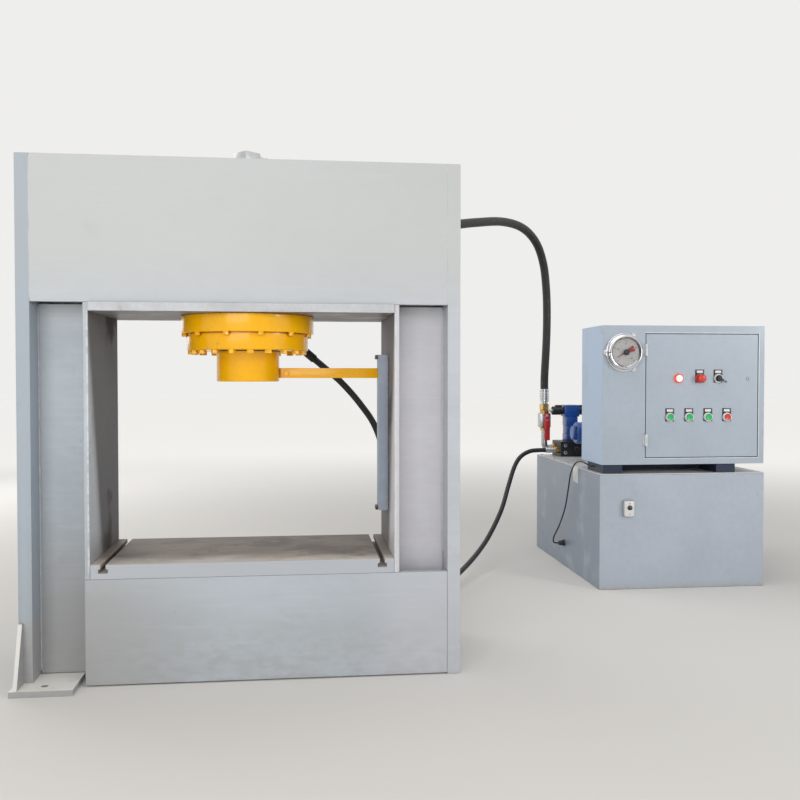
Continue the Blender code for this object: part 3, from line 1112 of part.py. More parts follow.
def cabinet():
    """The cabinet on its base: folded shell, flush door with returns, hinges, lock and mounting panel."""
    bottom = LID_TOP + SEAT_GAP
    top = CABINET_BOTTOM - SEAT_GAP
    left = CABINET_X + BASE_BLOCK_INSET
    near, far = BASE_SETBACK, BASE_SETBACK + BASE_DEPTH
    base = box("cabinet_base", (left, near, bottom), (left + BASE_BLOCK_WIDTH, far, top), BLUE_ENAMEL, UNIT)
    right = CABINET_X + BASE_BLOCK_FAR
    fuse(
        base,
        box("base_right_block", (right, near, bottom), (right + BASE_BLOCK_WIDTH, far, top), None, UNIT),
    )
    low = (left + BASE_BLOCK_WIDTH - FUSE_DEPTH, far - BASE_BAR, bottom)
    fuse(base, box("base_bar", low, (right + FUSE_DEPTH, far, top), None, UNIT))
    x0, x1 = CABINET_X, CABINET_X + CABINET_WIDTH
    z0, z1 = CABINET_BOTTOM, CABINET_BOTTOM + CABINET_HEIGHT
    shell = box("cabinet_shell", (x0, 0, z0), (x1, CABINET_DEPTH, z1), TANK_ENAMEL, UNIT)
    sheet = CABINET_SHEET
    low = (x0 + sheet, sheet, z0 + sheet)
    high = (x1 - sheet, CABINET_DEPTH - sheet, z1 - sheet)
    cut(shell, box("cabinet_hollow", low, high, None, UNIT))
    low = (DOOR_X - DOOR_GAP, -CUT_OVERRUN, DOOR_BOTTOM - DOOR_GAP)
    high = (DOOR_X + DOOR_WIDTH + DOOR_GAP, sheet + CUT_OVERRUN, DOOR_BOTTOM + DOOR_HEIGHT + DOOR_GAP)
    cut(shell, box("door_opening", low, high, None, UNIT))
    start = (GAUGE_X, -CUT_OVERRUN, GAUGE_Z)
    end = (GAUGE_X, sheet + CUT_OVERRUN, GAUGE_Z)
    cut(
        shell,
        rod("gauge_hole", GAUGE_BARREL_RADIUS + GAUGE_HOLE_GAP, start, end, MEDIUM_STEPS, None, UNIT),
    )
    low = (DOOR_X, 0, DOOR_BOTTOM)
    high = (DOOR_X + DOOR_WIDTH, DOOR_DEPTH, DOOR_BOTTOM + DOOR_HEIGHT)
    door = box("cabinet_door", low, high, TANK_ENAMEL, UNIT)
    low = (DOOR_X + sheet, sheet, DOOR_BOTTOM + sheet)
    high = (DOOR_X + DOOR_WIDTH - sheet, DOOR_DEPTH + CUT_OVERRUN, DOOR_BOTTOM + DOOR_HEIGHT - sheet)
    cut(door, box("door_pan", low, high, None, UNIT))
    hang(DOOR_AXIS, door)
    holes = [(x, z, TAIL_RADIUS) for x, z in operator_places()] + [
        (LOCK_X, LOCK_Z, LOCK_RADIUS * LOCK_SHANK_SHARE),
    ]
    for i, (x, z, radius) in enumerate(holes):
        hole = rod(
            f"door_hole_{i}", radius + RUNNING_GAP, (x, -CUT_OVERRUN, z), (x, sheet + CUT_OVERRUN, z), SMALL_STEPS,
            None, UNIT,
        )
        cut(door, hole)
    for name, height in (("upper_hinge", HINGE_UPPER_Z), ("lower_hinge", HINGE_LOWER_Z)):
        x, y = DOOR_HINGE_X, DOOR_HINGE_Y
        half = HINGE_LENGTH / 2
        hinge = rod(
            name, HINGE_RADIUS, (x, y, height - half), (x, y, height + half), SMALL_STEPS, ZINC, UNIT,
        )
        low = (x - HINGE_LEAF, -HINGE_LEAF_PLATE - SEAT_GAP, height - half + HINGE_LEAF_EDGE)
        high = (x, -SEAT_GAP, height + half - HINGE_LEAF_EDGE)
        fuse(hinge, box(name + "_leaf", low, high, None, UNIT))
    reach = [
        (0, LOCK_REACH), (LOCK_RADIUS * KNOB_TAPER_SHARE, LOCK_REACH), (LOCK_RADIUS, SEAT_GAP),
        (LOCK_RADIUS * LOCK_SHANK_SHARE, SEAT_GAP), (LOCK_RADIUS * LOCK_SHANK_SHARE, -LOCK_TAIL), (0, -LOCK_TAIL),
    ]
    lock = turned(
        "door_lock", reach, SMALL_STEPS, ZINC, UNIT, (LOCK_X, 0, LOCK_Z), (math.radians(90), 0, 0),
    )
    half = LOCK_CAM_WIDTH / 2
    low = (-half, LOCK_TAIL - LOCK_CAM_PLATE, -half)
    high = (half + LOCK_CAM_LENGTH, LOCK_TAIL, half)
    fuse(lock, box("lock_cam", low, high, None, UNIT, (LOCK_X, 0, LOCK_Z)))
    hang(DOOR_AXIS, lock)
    back = CABINET_DEPTH - sheet - SEAT_GAP
    face = back - PANEL_SETBACK
    low = (x0 + PANEL_EDGE, face, z0 + PANEL_EDGE)
    high = (x1 - PANEL_EDGE, face + PANEL_SHEET, z1 - PANEL_EDGE)
    panel = box("mounting_panel", low, high, ZINC, UNIT)
    for row in range(RAIL_ROWS):
        rail_z = DOOR_BOTTOM + DOOR_HEIGHT / 2 + (row - (RAIL_ROWS - 1) / 2) * RAIL_ROW_PITCH
        first = DOOR_X + (DOOR_WIDTH - (CONTACTORS - 1) * CONTACTOR_PITCH) / 2
        edge = CONTACTOR_WIDTH
        low = (first - edge, face - RAIL_STRIP_DEPTH, rail_z - RAIL_STRIP_HEIGHT / 2)
        high = (
            first + (CONTACTORS - 1) * CONTACTOR_PITCH + edge, face + FUSE_DEPTH,
            rail_z + RAIL_STRIP_HEIGHT / 2,
        )
        fuse(panel, box(f"rail_strip_{row}", low, high, None, UNIT))
        for i in range(CONTACTORS):
            x = first + i * CONTACTOR_PITCH
            low = (
                x - CONTACTOR_WIDTH / 2, face - RAIL_STRIP_DEPTH - CONTACTOR_DEPTH,
                rail_z - CONTACTOR_HEIGHT / 2,
            )
            high = (
                x + CONTACTOR_WIDTH / 2, face - RAIL_STRIP_DEPTH + FUSE_DEPTH,
                rail_z + CONTACTOR_HEIGHT / 2,
            )
            fuse(panel, box(f"contactor_{row}_{i}", low, high, None, UNIT))
    standoff = (back - face) / 2
    for x in (x0 + 2 * PANEL_EDGE, x1 - 2 * PANEL_EDGE):
        for z in (z0 + 2 * PANEL_EDGE, z1 - 2 * PANEL_EDGE):
            fuse(
                panel,
                rod("panel_standoff", standoff / 2, (x, face + PANEL_SHEET / 2, z), (x, back, z), POST_SIDES, None, UNIT),
            )


def gauge():
    """The contact gauge: flanged case with lugs and a recessed dial, and its pointer on the joint axis."""
    place = (GAUGE_X, -SEAT_GAP, GAUGE_Z)
    bore = GAUGE_BEZEL_RADIUS - GAUGE_BEZEL_WALL
    dial = GAUGE_BEZEL_REACH - GAUGE_DIAL_DEPTH
    profile = [
        (0, dial), (bore, dial), (bore, GAUGE_BEZEL_REACH), (GAUGE_BEZEL_RADIUS - BEZEL_CHAMFER, GAUGE_BEZEL_REACH),
        (GAUGE_BEZEL_RADIUS, GAUGE_BEZEL_REACH - BEZEL_CHAMFER), (GAUGE_BEZEL_RADIUS, GAUGE_FLANGE),
        (GAUGE_FLANGE_RADIUS, GAUGE_FLANGE), (GAUGE_FLANGE_RADIUS, 0), (GAUGE_BARREL_RADIUS, 0),
        (GAUGE_BARREL_RADIUS, -GAUGE_BARREL), (0, -GAUGE_BARREL),
    ]
    case = turned("gauge_case", profile, BIG_STEPS, CHROME, UNIT, place, (math.radians(90), 0, 0))
    for i in range(3):
        angle = math.tau * i / 3 + math.radians(60)
        x, z = GAUGE_LUG_REACH * math.cos(angle), GAUGE_LUG_REACH * math.sin(angle)
        back = (GAUGE_LUG_PLATE - GAUGE_FLANGE) / 2
        start, end = (x, back - GAUGE_LUG_PLATE, z), (x, back, z)
        fuse(case, rod(f"gauge_lug_{i}", GAUGE_LUG_RADIUS, start, end, SMALL_STEPS, None, UNIT, place))
    pivot = (GAUGE_X, -SEAT_GAP - dial - SEAT_GAP, GAUGE_Z)
    pointer = rod(
        "gauge_pointer", POINTER_HUB_RADIUS, (0, -POINTER_HUB, 0), (0, 0, 0), SMALL_STEPS, RED_PLASTIC,
        UNIT, pivot,
    )
    middle = POINTER_HUB / 2
    low = (-POINTER_WIDTH / 2, -middle - POINTER_PLATE / 2, -POINTER_TAIL)
    high = (POINTER_WIDTH / 2, -middle + POINTER_PLATE / 2, POINTER_LENGTH)
    fuse(pointer, box("pointer_bar", low, high, None, UNIT, pivot, (0, POINTER_TURN, 0)))


def operator_places():
    """(x, z) of the four buttons, the lamp, the emergency button and the selector."""
    row = [(BUTTON_FIRST_X + i * BUTTON_PITCH, BUTTON_ROW_Z) for i in range(4)]
    return row + [(LAMP_X, UPPER_ROW_Z), (EMERGENCY_X, UPPER_ROW_Z), (SELECTOR_X, UPPER_ROW_Z)]


def station(name, place, bore):
    """One operator's bezel, legend plate, threaded tail through the door and contact block behind it."""
    x, z = place
    lift = SEAT_GAP
    tail_end = -CONTACT_BLOCK_DEPTH / 2
    profile = [
        (BEZEL_RADIUS - BEZEL_CHAMFER, BEZEL_REACH), (BEZEL_RADIUS, BEZEL_REACH - BEZEL_CHAMFER), (BEZEL_RADIUS, lift),
        (TAIL_RADIUS, lift), (TAIL_RADIUS, tail_end), (0, tail_end), (0, LEGEND_PLATE), (bore, LEGEND_PLATE),
        (bore, BEZEL_REACH),
    ]
    body = turned(
        name, profile, MEDIUM_STEPS, BLACK_PLASTIC, UNIT, (x, 0, z), (math.radians(90), 0, 0),
        closed=True,
    )
    low = (-LEGEND_WIDTH / 2, -LEGEND_PLATE, -LEGEND_BELOW)
    high = (LEGEND_WIDTH / 2, -lift, LEGEND_ABOVE)
    fuse(body, box(name + "_legend", low, high, None, UNIT, (x, 0, z)))
    half = CONTACT_BLOCK_WIDTH / 2
    low = (-half, DOOR_DEPTH / 2, -half)
    high = (half, DOOR_DEPTH / 2 + CONTACT_BLOCK_DEPTH, half)
    fuse(body, box(name + "_contacts", low, high, None, UNIT, (x, 0, z)))
    hang(DOOR_AXIS, body)


def operators():
    """The push buttons, lamp, emergency button and selector on the door."""
    places = operator_places()
    for i in range(4):
        station(f"button_station_{i + 1}", places[i], BEZEL_BORE_RADIUS)
        x, z = places[i]
        front = BEZEL_REACH + BUTTON_PROUD
        back = LEGEND_PLATE + BUTTON_TRAVEL + SEAT_GAP
        profile = [
            (0, front), (BUTTON_RADIUS - BEZEL_CHAMFER / 2, front), (BUTTON_RADIUS, front - BEZEL_CHAMFER / 2),
            (BUTTON_RADIUS, back), (0, back),
        ]
        colour = RED_PLASTIC if i == 3 else GREEN_PLASTIC
        name = f"push_button_{i + 1}"
        button = turned(name, profile, MEDIUM_STEPS, colour, UNIT, (x, 0, z), (math.radians(90), 0, 0))
        hang(DOOR_AXIS, button)
    x, z = places[4]
    edge = LAMP_RADIUS * LENS_EDGE_SHARE
    profile = [
        (0, LAMP_REACH), (edge, LAMP_REACH - BEZEL_CHAMFER), (LAMP_RADIUS, BEZEL_REACH - BEZEL_CHAMFER),
        (BEZEL_RADIUS - BEZEL_CHAMFER, BEZEL_REACH - BEZEL_CHAMFER), (BEZEL_RADIUS, BEZEL_REACH / 2),
        (BEZEL_RADIUS, SEAT_GAP), (TAIL_RADIUS, SEAT_GAP), (TAIL_RADIUS, -CONTACT_BLOCK_DEPTH), (0, -CONTACT_BLOCK_DEPTH),
    ]
    lamp = turned("lamp", profile, MEDIUM_STEPS, RED_LENS, UNIT, (x, 0, z), (math.radians(90), 0, 0))
    hang(DOOR_AXIS, lamp)
    station("emergency_station", places[5], EMERGENCY_NECK_RADIUS + RUNNING_GAP)
    x, z = places[5]
    neck_end = BEZEL_REACH + EMERGENCY_NECK
    back = LEGEND_PLATE + EMERGENCY_TRAVEL + SEAT_GAP
    edge = EMERGENCY_CAP / 3
    profile = [
        (0, neck_end + EMERGENCY_CAP), (EMERGENCY_CAP_RADIUS - edge, neck_end + EMERGENCY_CAP),
        (EMERGENCY_CAP_RADIUS, neck_end + EMERGENCY_CAP - edge), (EMERGENCY_CAP_RADIUS, neck_end),
        (EMERGENCY_NECK_RADIUS, neck_end), (EMERGENCY_NECK_RADIUS, back), (0, back),
    ]
    cap = turned(
        "emergency_button", profile, MEDIUM_STEPS, RED_PLASTIC, UNIT, (x, 0, z),
        (math.radians(90), 0, 0),
    )
    hang(DOOR_AXIS, cap)
    station("selector_station", places[6], BEZEL_BORE_RADIUS)
    x, z = places[6]
    front = BEZEL_REACH + SELECTOR_BOSS
    back = LEGEND_PLATE + SEAT_GAP
    profile = [(0, front), (SELECTOR_BOSS_RADIUS, front), (SELECTOR_BOSS_RADIUS, back), (0, back)]
    lever = turned(
        "selector_lever", profile, MEDIUM_STEPS, BLACK_PLASTIC, UNIT, (x, 0, z),
        (math.radians(90), 0, 0),
    )
    half = SELECTOR_LEVER_WIDTH / 2
    low = (-SELECTOR_BOSS_RADIUS, -front - SELECTOR_LEVER_HEIGHT / 2, -half)
    high = (SELECTOR_LEVER_LENGTH, -front + SELECTOR_LEVER_HEIGHT / 2, half)
    fuse(lever, box("selector_bar", low, high, None, UNIT, (x, 0, z), (0, -SELECTOR_LEVER_TURN, 0)))
    hang(DOOR_AXIS, lever)


def smooth_route(points, spacing):
    """Evenly spaced points along a smooth curve through the route's own points."""
    points = [Vector(point) for point in points]
    dense = []
    for i in range(len(points) - 1):
        before = points[max(i - 1, 0)]
        after = points[min(i + 2, len(points) - 1)]
        start, end = points[i], points[i + 1]
        out = start + (end - before) / 6
        back = end - (after - start) / 6
        dense += interpolate_bezier(start, out, back, end, ROUTE_STEPS)[:-1]
    dense.append(points[-1])
    total = sum((b - a).length for a, b in zip(dense, dense[1:]))
    count = max(2, round(total / spacing))
    route, walked, wanted = [dense[0]], 0.0, total / count
    for a, b in zip(dense, dense[1:]):
        step = (b - a).length
        while walked + step >= wanted * len(route) and len(route) < count:
            route.append(a.lerp(b, (wanted * len(route) - walked) / step))
        walked += step
    route.append(dense[-1])
    return route


def cord(name, route, radius, spacing):
    """A round cord with closed ends along its route."""
    curve = bpy.data.curves.new(name, "CURVE")
    curve.dimensions = "3D"
    curve.bevel_depth = radius
    curve.bevel_resolution = CORD_FACETS
    curve.use_fill_caps = True
    points = smooth_route(route, spacing * radius)
    spline = curve.splines.new("POLY")
    spline.points.add(len(points) - 1)
    for point, place in zip(spline.points, points):
        point.co = (*place, 1)
    obj = bpy.data.objects.new(name, curve)
    PARTS.objects.link(obj)
    curve.materials.append(BLACK_RUBBER)
    return obj


def cords():
    """The tall hose to the cylinder's head, the low hose to the gland and the sensor cable."""
    cord("tall_hose", TALL_HOSE_ROUTE, TALL_HOSE_RADIUS, THICK_CORD_SPACING)
    cord("low_hose", LOW_HOSE_ROUTE, LOW_HOSE_RADIUS, THIN_CORD_SPACING)
    cord("sensor_cable", CABLE_ROUTE, CABLE_RADIUS, THIN_CORD_SPACING)


def build():
    """Every piece of the press."""
    side_plate("left_side_plate", -1, ("front", "rear"))
    side_plate("right_side_plate", 1, ("rear",))
    column_box("left_column_box", -1)
    column_box("right_column_box", 1)
    crown()
    bed()
    cylinder()
    moving_ram()
    guide_rail()
    ports()
    tank()
    motor_and_pump()
    valves()
    tank_fittings()
    cabinet()
    gauge()
    operators()
    cords()


build()
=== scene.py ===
"""The looks of a frame-type hydraulic press and its power unit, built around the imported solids."""

import json
import logging
import math
import random
from dataclasses import dataclass, field, replace
from enum import Enum
from typing import Optional, Sequence

import bmesh
import bpy
from mathutils import Matrix, Vector

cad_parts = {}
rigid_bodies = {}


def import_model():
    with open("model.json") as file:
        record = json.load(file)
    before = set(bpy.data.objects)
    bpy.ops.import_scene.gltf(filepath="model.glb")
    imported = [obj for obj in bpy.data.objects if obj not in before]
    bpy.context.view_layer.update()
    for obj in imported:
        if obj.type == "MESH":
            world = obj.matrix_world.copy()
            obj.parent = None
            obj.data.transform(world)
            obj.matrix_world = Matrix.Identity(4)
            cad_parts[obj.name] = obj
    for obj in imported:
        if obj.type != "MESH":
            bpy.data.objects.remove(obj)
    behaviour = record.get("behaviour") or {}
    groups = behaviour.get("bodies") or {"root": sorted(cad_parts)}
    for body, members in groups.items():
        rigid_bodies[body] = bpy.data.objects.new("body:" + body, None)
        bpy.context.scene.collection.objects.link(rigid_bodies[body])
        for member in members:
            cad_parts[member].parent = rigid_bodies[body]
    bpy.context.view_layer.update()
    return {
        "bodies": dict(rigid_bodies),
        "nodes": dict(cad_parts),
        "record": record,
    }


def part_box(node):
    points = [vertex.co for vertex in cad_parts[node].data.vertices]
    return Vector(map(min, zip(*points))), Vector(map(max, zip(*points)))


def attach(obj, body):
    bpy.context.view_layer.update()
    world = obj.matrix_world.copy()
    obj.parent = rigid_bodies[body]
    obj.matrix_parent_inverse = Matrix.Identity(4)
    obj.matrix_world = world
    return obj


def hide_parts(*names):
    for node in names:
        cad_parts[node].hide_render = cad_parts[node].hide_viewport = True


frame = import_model()

logging.basicConfig(level=logging.INFO, format="%(message)s")
LOG = logging.getLogger("press")

Colour = tuple[float, float, float]
Point = tuple[float, float, float]
Pair = tuple[float, float]
Profile = Sequence[Pair]
Socket = bpy.types.NodeSocket

# Small distances in metres.
SKIN = 0.0004
GAP = 0.0003
HAIR = 0.00002
WELD_DISTANCE = 0.00002
SEAM_DISTANCE = 0.000001
AXIS_REACH = 0.0000001
# Angles in degrees: below the first, faces count as flat, and above the second, an edge is sharp.
FLAT_ANGLE = 0.4
SHARP_ANGLE = 32.0
# Stands a flat outline upright, with its depth towards the front.
UPRIGHT = Matrix(((1, 0, 0), (0, 0, -1), (0, 1, 0))).to_4x4()
# Places and sizes in metres that several assemblies share.
CYLINDER_CENTRE = (-0.8775, -0.8775)
GLAND_RADIUS = 0.2205
UNIT_LEFT = 0.786
CABINET_FACE = 0.0345


class Body(Enum):
    """The bodies that trim rides on, where it stands for no solid."""

    ROOT = "root"
    DOOR = "door"
    LOCK = "lock"
    SELECTOR = "selector"
    HANDLE = "valve_handle"
    DIAL = "temperature_dial"


class Facing(Enum):
    """The direction that a turned or pressed piece points along, away from what carries it."""

    UP = (0, 0, 1)
    DOWN = (0, 0, -1)
    FRONT = (0, -1, 0)
    BACK = (0, 1, 0)
    RIGHT = (1, 0, 0)
    LEFT = (-1, 0, 0)

    def turn(self) -> Matrix:
        """The rotation that takes the local Z axis to this direction."""
        return Vector((0, 0, 1)).rotation_difference(Vector(self.value)).to_matrix().to_4x4()


class Graph:
    """A material's node tree, with short calls for the nodes that the finishes share."""

    def __init__(self, name: str) -> None:
        """Starts an empty tree with a shader wired to the output.

        Args:
            name: The material's name.
        """
        self.material = bpy.data.materials.new(name)
        self.material.use_nodes = True
        self.tree = self.material.node_tree
        self.tree.nodes.clear()
        output = self.tree.nodes.new("ShaderNodeOutputMaterial")
        self.shader = self.tree.nodes.new("ShaderNodeBsdfPrincipled")
        self.tree.links.new(self.shader.outputs["BSDF"], output.inputs["Surface"])
        self.object_place = self.add("ShaderNodeTexCoord").outputs["Object"]

    def add(self, kind: str, **settings: object) -> bpy.types.Node:
        """Adds one node.

        Args:
            kind: The node's type name.
            **settings: Properties set on the node itself.

        Returns:
            The new node.
        """
        node = self.tree.nodes.new(kind)
        for name, value in settings.items():
            setattr(node, name, value)
        return node

    def wire(self, target: Socket, value: object) -> None:
        """Feeds a socket from another socket, or sets it to a constant.

        Args:
            target: The input socket.
            value: An output socket, a number or a colour.
        """
        if isinstance(value, Socket):
            self.tree.links.new(value, target)
        elif isinstance(value, tuple) and target.type == "RGBA":
            target.default_value = (*value[:3], 1.0)
        else:
            target.default_value = value

    def feed(self, name: str, value: object) -> None:
        """Feeds one of the shader's inputs, or sets it to a constant."""
        self.wire(self.shader.inputs[name], value)

    def look(self, colour: object, roughness: object) -> None:
        """Feeds the shader its base colour and roughness."""
        self.feed("Base Color", colour)
        self.feed("Roughness", roughness)

    def noise(self, scale: float, detail: float = 4.0, stretch: Point = (1, 1, 1)) -> Socket:
        """A noise value between about 0 and 1.

        Args:
            scale: Cells in a metre.
            detail: Octaves.
            stretch: Scale per axis, for streaks.

        Returns:
            The noise's value socket.
        """
        mapping = self.add("ShaderNodeMapping")
        self.wire(mapping.inputs["Vector"], self.object_place)
        mapping.inputs["Scale"].default_value = stretch
        node = self.add("ShaderNodeTexNoise")
        self.wire(node.inputs["Vector"], mapping.outputs["Vector"])
        node.inputs["Scale"].default_value = scale
        node.inputs["Detail"].default_value = detail
        node.inputs["Roughness"].default_value = 0.55
        return node.outputs["Fac"]

    def axes(self, source: str = "Object") -> tuple[Socket, ...]:
        """The X, Y and Z values of a point's place in metres, or of its normal."""
        node = self.add("ShaderNodeSeparateXYZ")
        self.wire(node.inputs["Vector"], self.add("ShaderNodeTexCoord").outputs[source])
        return tuple(node.outputs)

    def facing(self, sign: float, axis: int = 2) -> Socket:
        """How squarely a surface faces along axis 0, 1 or 2, for a sign of 1, or against it, for -1."""
        return self.band(self.axes("Normal")[axis], 0.6 * sign, 0.9 * sign)

    def band(self, value: Socket, low: float, high: float, top: float = 1.0) -> Socket:
        """Smoothly maps low..high to 0..top, clamped.

        Args:
            value: The socket that is mapped.
            low: Where the result is zero. It may be above high.
            high: Where the result is top.
            top: The largest result.

        Returns:
            The mapped socket.
        """
        node = self.add("ShaderNodeMapRange", interpolation_type="SMOOTHSTEP")
        self.wire(node.inputs["Value"], value)
        node.inputs["From Min"].default_value = low
        node.inputs["From Max"].default_value = high
        node.inputs["To Max"].default_value = top
        return node.outputs["Result"]

    def calc(self, operation: str, *values: object) -> Socket:
        """One arithmetic step between two values, or three for MULTIPLY_ADD."""
        node = self.add("ShaderNodeMath", operation=operation)
        for socket, value in zip(node.inputs, values):
            self.wire(socket, value)
        return node.outputs["Value"]

    def times(self, first: object, *others: object) -> Socket:
        """The product of two or more values."""
        for other in others:
            first = self.calc("MULTIPLY", first, other)
        return first

    def within(self, value: Socket, reach: Pair) -> Socket:
        """One where a value lies between two limits, and zero elsewhere."""
        low, high = reach
        return self.times(self.calc("GREATER_THAN", value, low), self.calc("LESS_THAN", value, high))

    def mix(self, share: object, first: object, second: object) -> Socket:
        """Blends two colours.

        Args:
            share: The second one's share, from 0 to 1.
            first: A colour or its socket.
            second: Another.

        Returns:
            The blend's socket.
        """
        node = self.add("ShaderNodeMix", data_type="RGBA")
        for name, value in (("Factor", share), ("A", first), ("B", second)):
            self.wire(node.inputs[name], value)
        return node.outputs["Result"]

    def corners(self, reach: float) -> Socket:
        """How strongly ambient occlusion shades a point, from 0 in the open to 1 deep in a corner: painted
        corner shade.
        """
        node = self.add("ShaderNodeAmbientOcclusion", samples=6)
        node.inputs["Distance"].default_value = reach
        return self.band(node.outputs["AO"], 0.85, 0.35)

    def relief(self, *layers: tuple[Socket, float]) -> None:
        """Chains bumps onto the shader's normal.

        Args:
            *layers: Pairs of a height socket and the depth it stands for, in metres.
        """
        normal = None
        for height, depth in layers:
            node = self.add("ShaderNodeBump")
            self.wire(node.inputs["Height"], height)
            node.inputs["Distance"].default_value = depth
            if normal is not None:
                self.wire(node.inputs["Normal"], normal)
            normal = node.outputs["Normal"]
        self.wire(self.shader.inputs["Normal"], normal)


def shade(colour: Colour, share: float) -> Colour:
    """A colour made lighter or darker by a share of itself."""
    return tuple(min(1.0, channel * (1 + share)) for channel in colour)


@dataclass(frozen=True)
class Finish:
    """A worn surface: mottled colour, streaks, dirt smears, painted shade in the corners, a tone that blends
    in low down, and fine grain.
    """

    name: str
    colour: Colour
    roughness: float
    metallic: float = 0.0
    mottle: float = 0.05
    mottle_scale: float = 3.0
    stretch: Point = (1, 1, 1)
    streak: float = 0.0
    grime: Colour = (0.10, 0.085, 0.07)
    corner_share: float = 0.35
    smear_share: float = 0.10
    dust: Colour = (0.40, 0.36, 0.31)
    dust_height: float = 0.0
    chip: Colour = (0.20, 0.18, 0.17)
    chip_share: float = 0.35
    grain_scale: float = 700.0
    grain_depth: float = 0.00008
    sag_depth: float = 0.0006
    coat: float = 0.0
    specular: float = 0.5

    def surface(self, graph: Graph) -> tuple[Socket, Socket]:
        """The base colour and roughness of the finish.

        Args:
            graph: The material's graph.

        Returns:
            The colour socket and the roughness socket.
        """
        broad = graph.noise(self.mottle_scale, 5, self.stretch)
        fine = graph.noise(self.mottle_scale * 11, 6, self.stretch)
        blotch = graph.calc("MULTIPLY_ADD", fine, 0.35, graph.times(broad, 0.65))
        dark, pale = shade(self.colour, -self.mottle), shade(self.colour, self.mottle)
        colour = graph.mix(graph.band(blotch, 0.34, 0.66), dark, pale)
        if self.streak:
            lines = graph.noise(26, 3, (0.12, 0.12, 3.2))
            colour = graph.mix(graph.band(lines, 0.50, 0.74, self.streak), colour, shade(self.colour, 0.30))
        smears = graph.band(graph.noise(self.mottle_scale * 2.3, 8), 0.56, 0.78)
        smear = graph.times(smears, graph.band(fine, 0.42, 0.60))
        colour = graph.mix(graph.times(smear, self.smear_share), colour, self.grime)
        # Painted shade: ambient occlusion darkens corners and recesses towards the dirt colour.
        corner = graph.times(graph.corners(0.03), graph.band(fine, 0.25, 0.62), self.corner_share)
        colour = graph.mix(corner, colour, self.grime)
        # Blends towards the low tone near the floor; on the frame this is a darker grey towards the bottom.
        if self.dust_height:
            low = graph.band(graph.axes()[2], self.dust_height, 0.0, 0.55)
            colour = graph.mix(graph.times(low, graph.band(fine, 0.3, 0.7)), colour, self.dust)
        spots = graph.times(graph.band(graph.noise(46, 9), 0.705, 0.72), self.chip_share)
        colour = graph.mix(spots, colour, self.chip)
        worn = graph.calc("MULTIPLY_ADD", blotch, 0.16, graph.times(smear, 0.22))
        roughness = graph.calc("ADD", worn, self.roughness - 0.08)
        return colour, roughness

    def build(self) -> bpy.types.Material:
        """The finish as a material."""
        graph = Graph(self.name)
        graph.look(*self.surface(graph))
        graph.feed("Metallic", self.metallic)
        graph.feed("Specular IOR Level", self.specular)
        if self.coat:
            graph.feed("Coat Weight", self.coat)
            graph.feed("Coat Roughness", 0.08)
        sag, grain = graph.noise(9, 3), graph.noise(self.grain_scale, 2)
        graph.relief((sag, self.sag_depth), (grain, self.grain_depth))
        return graph.material

    def material(self) -> bpy.types.Material:
        """The material, made on first use."""
        return bpy.data.materials.get(self.name) or self.build()


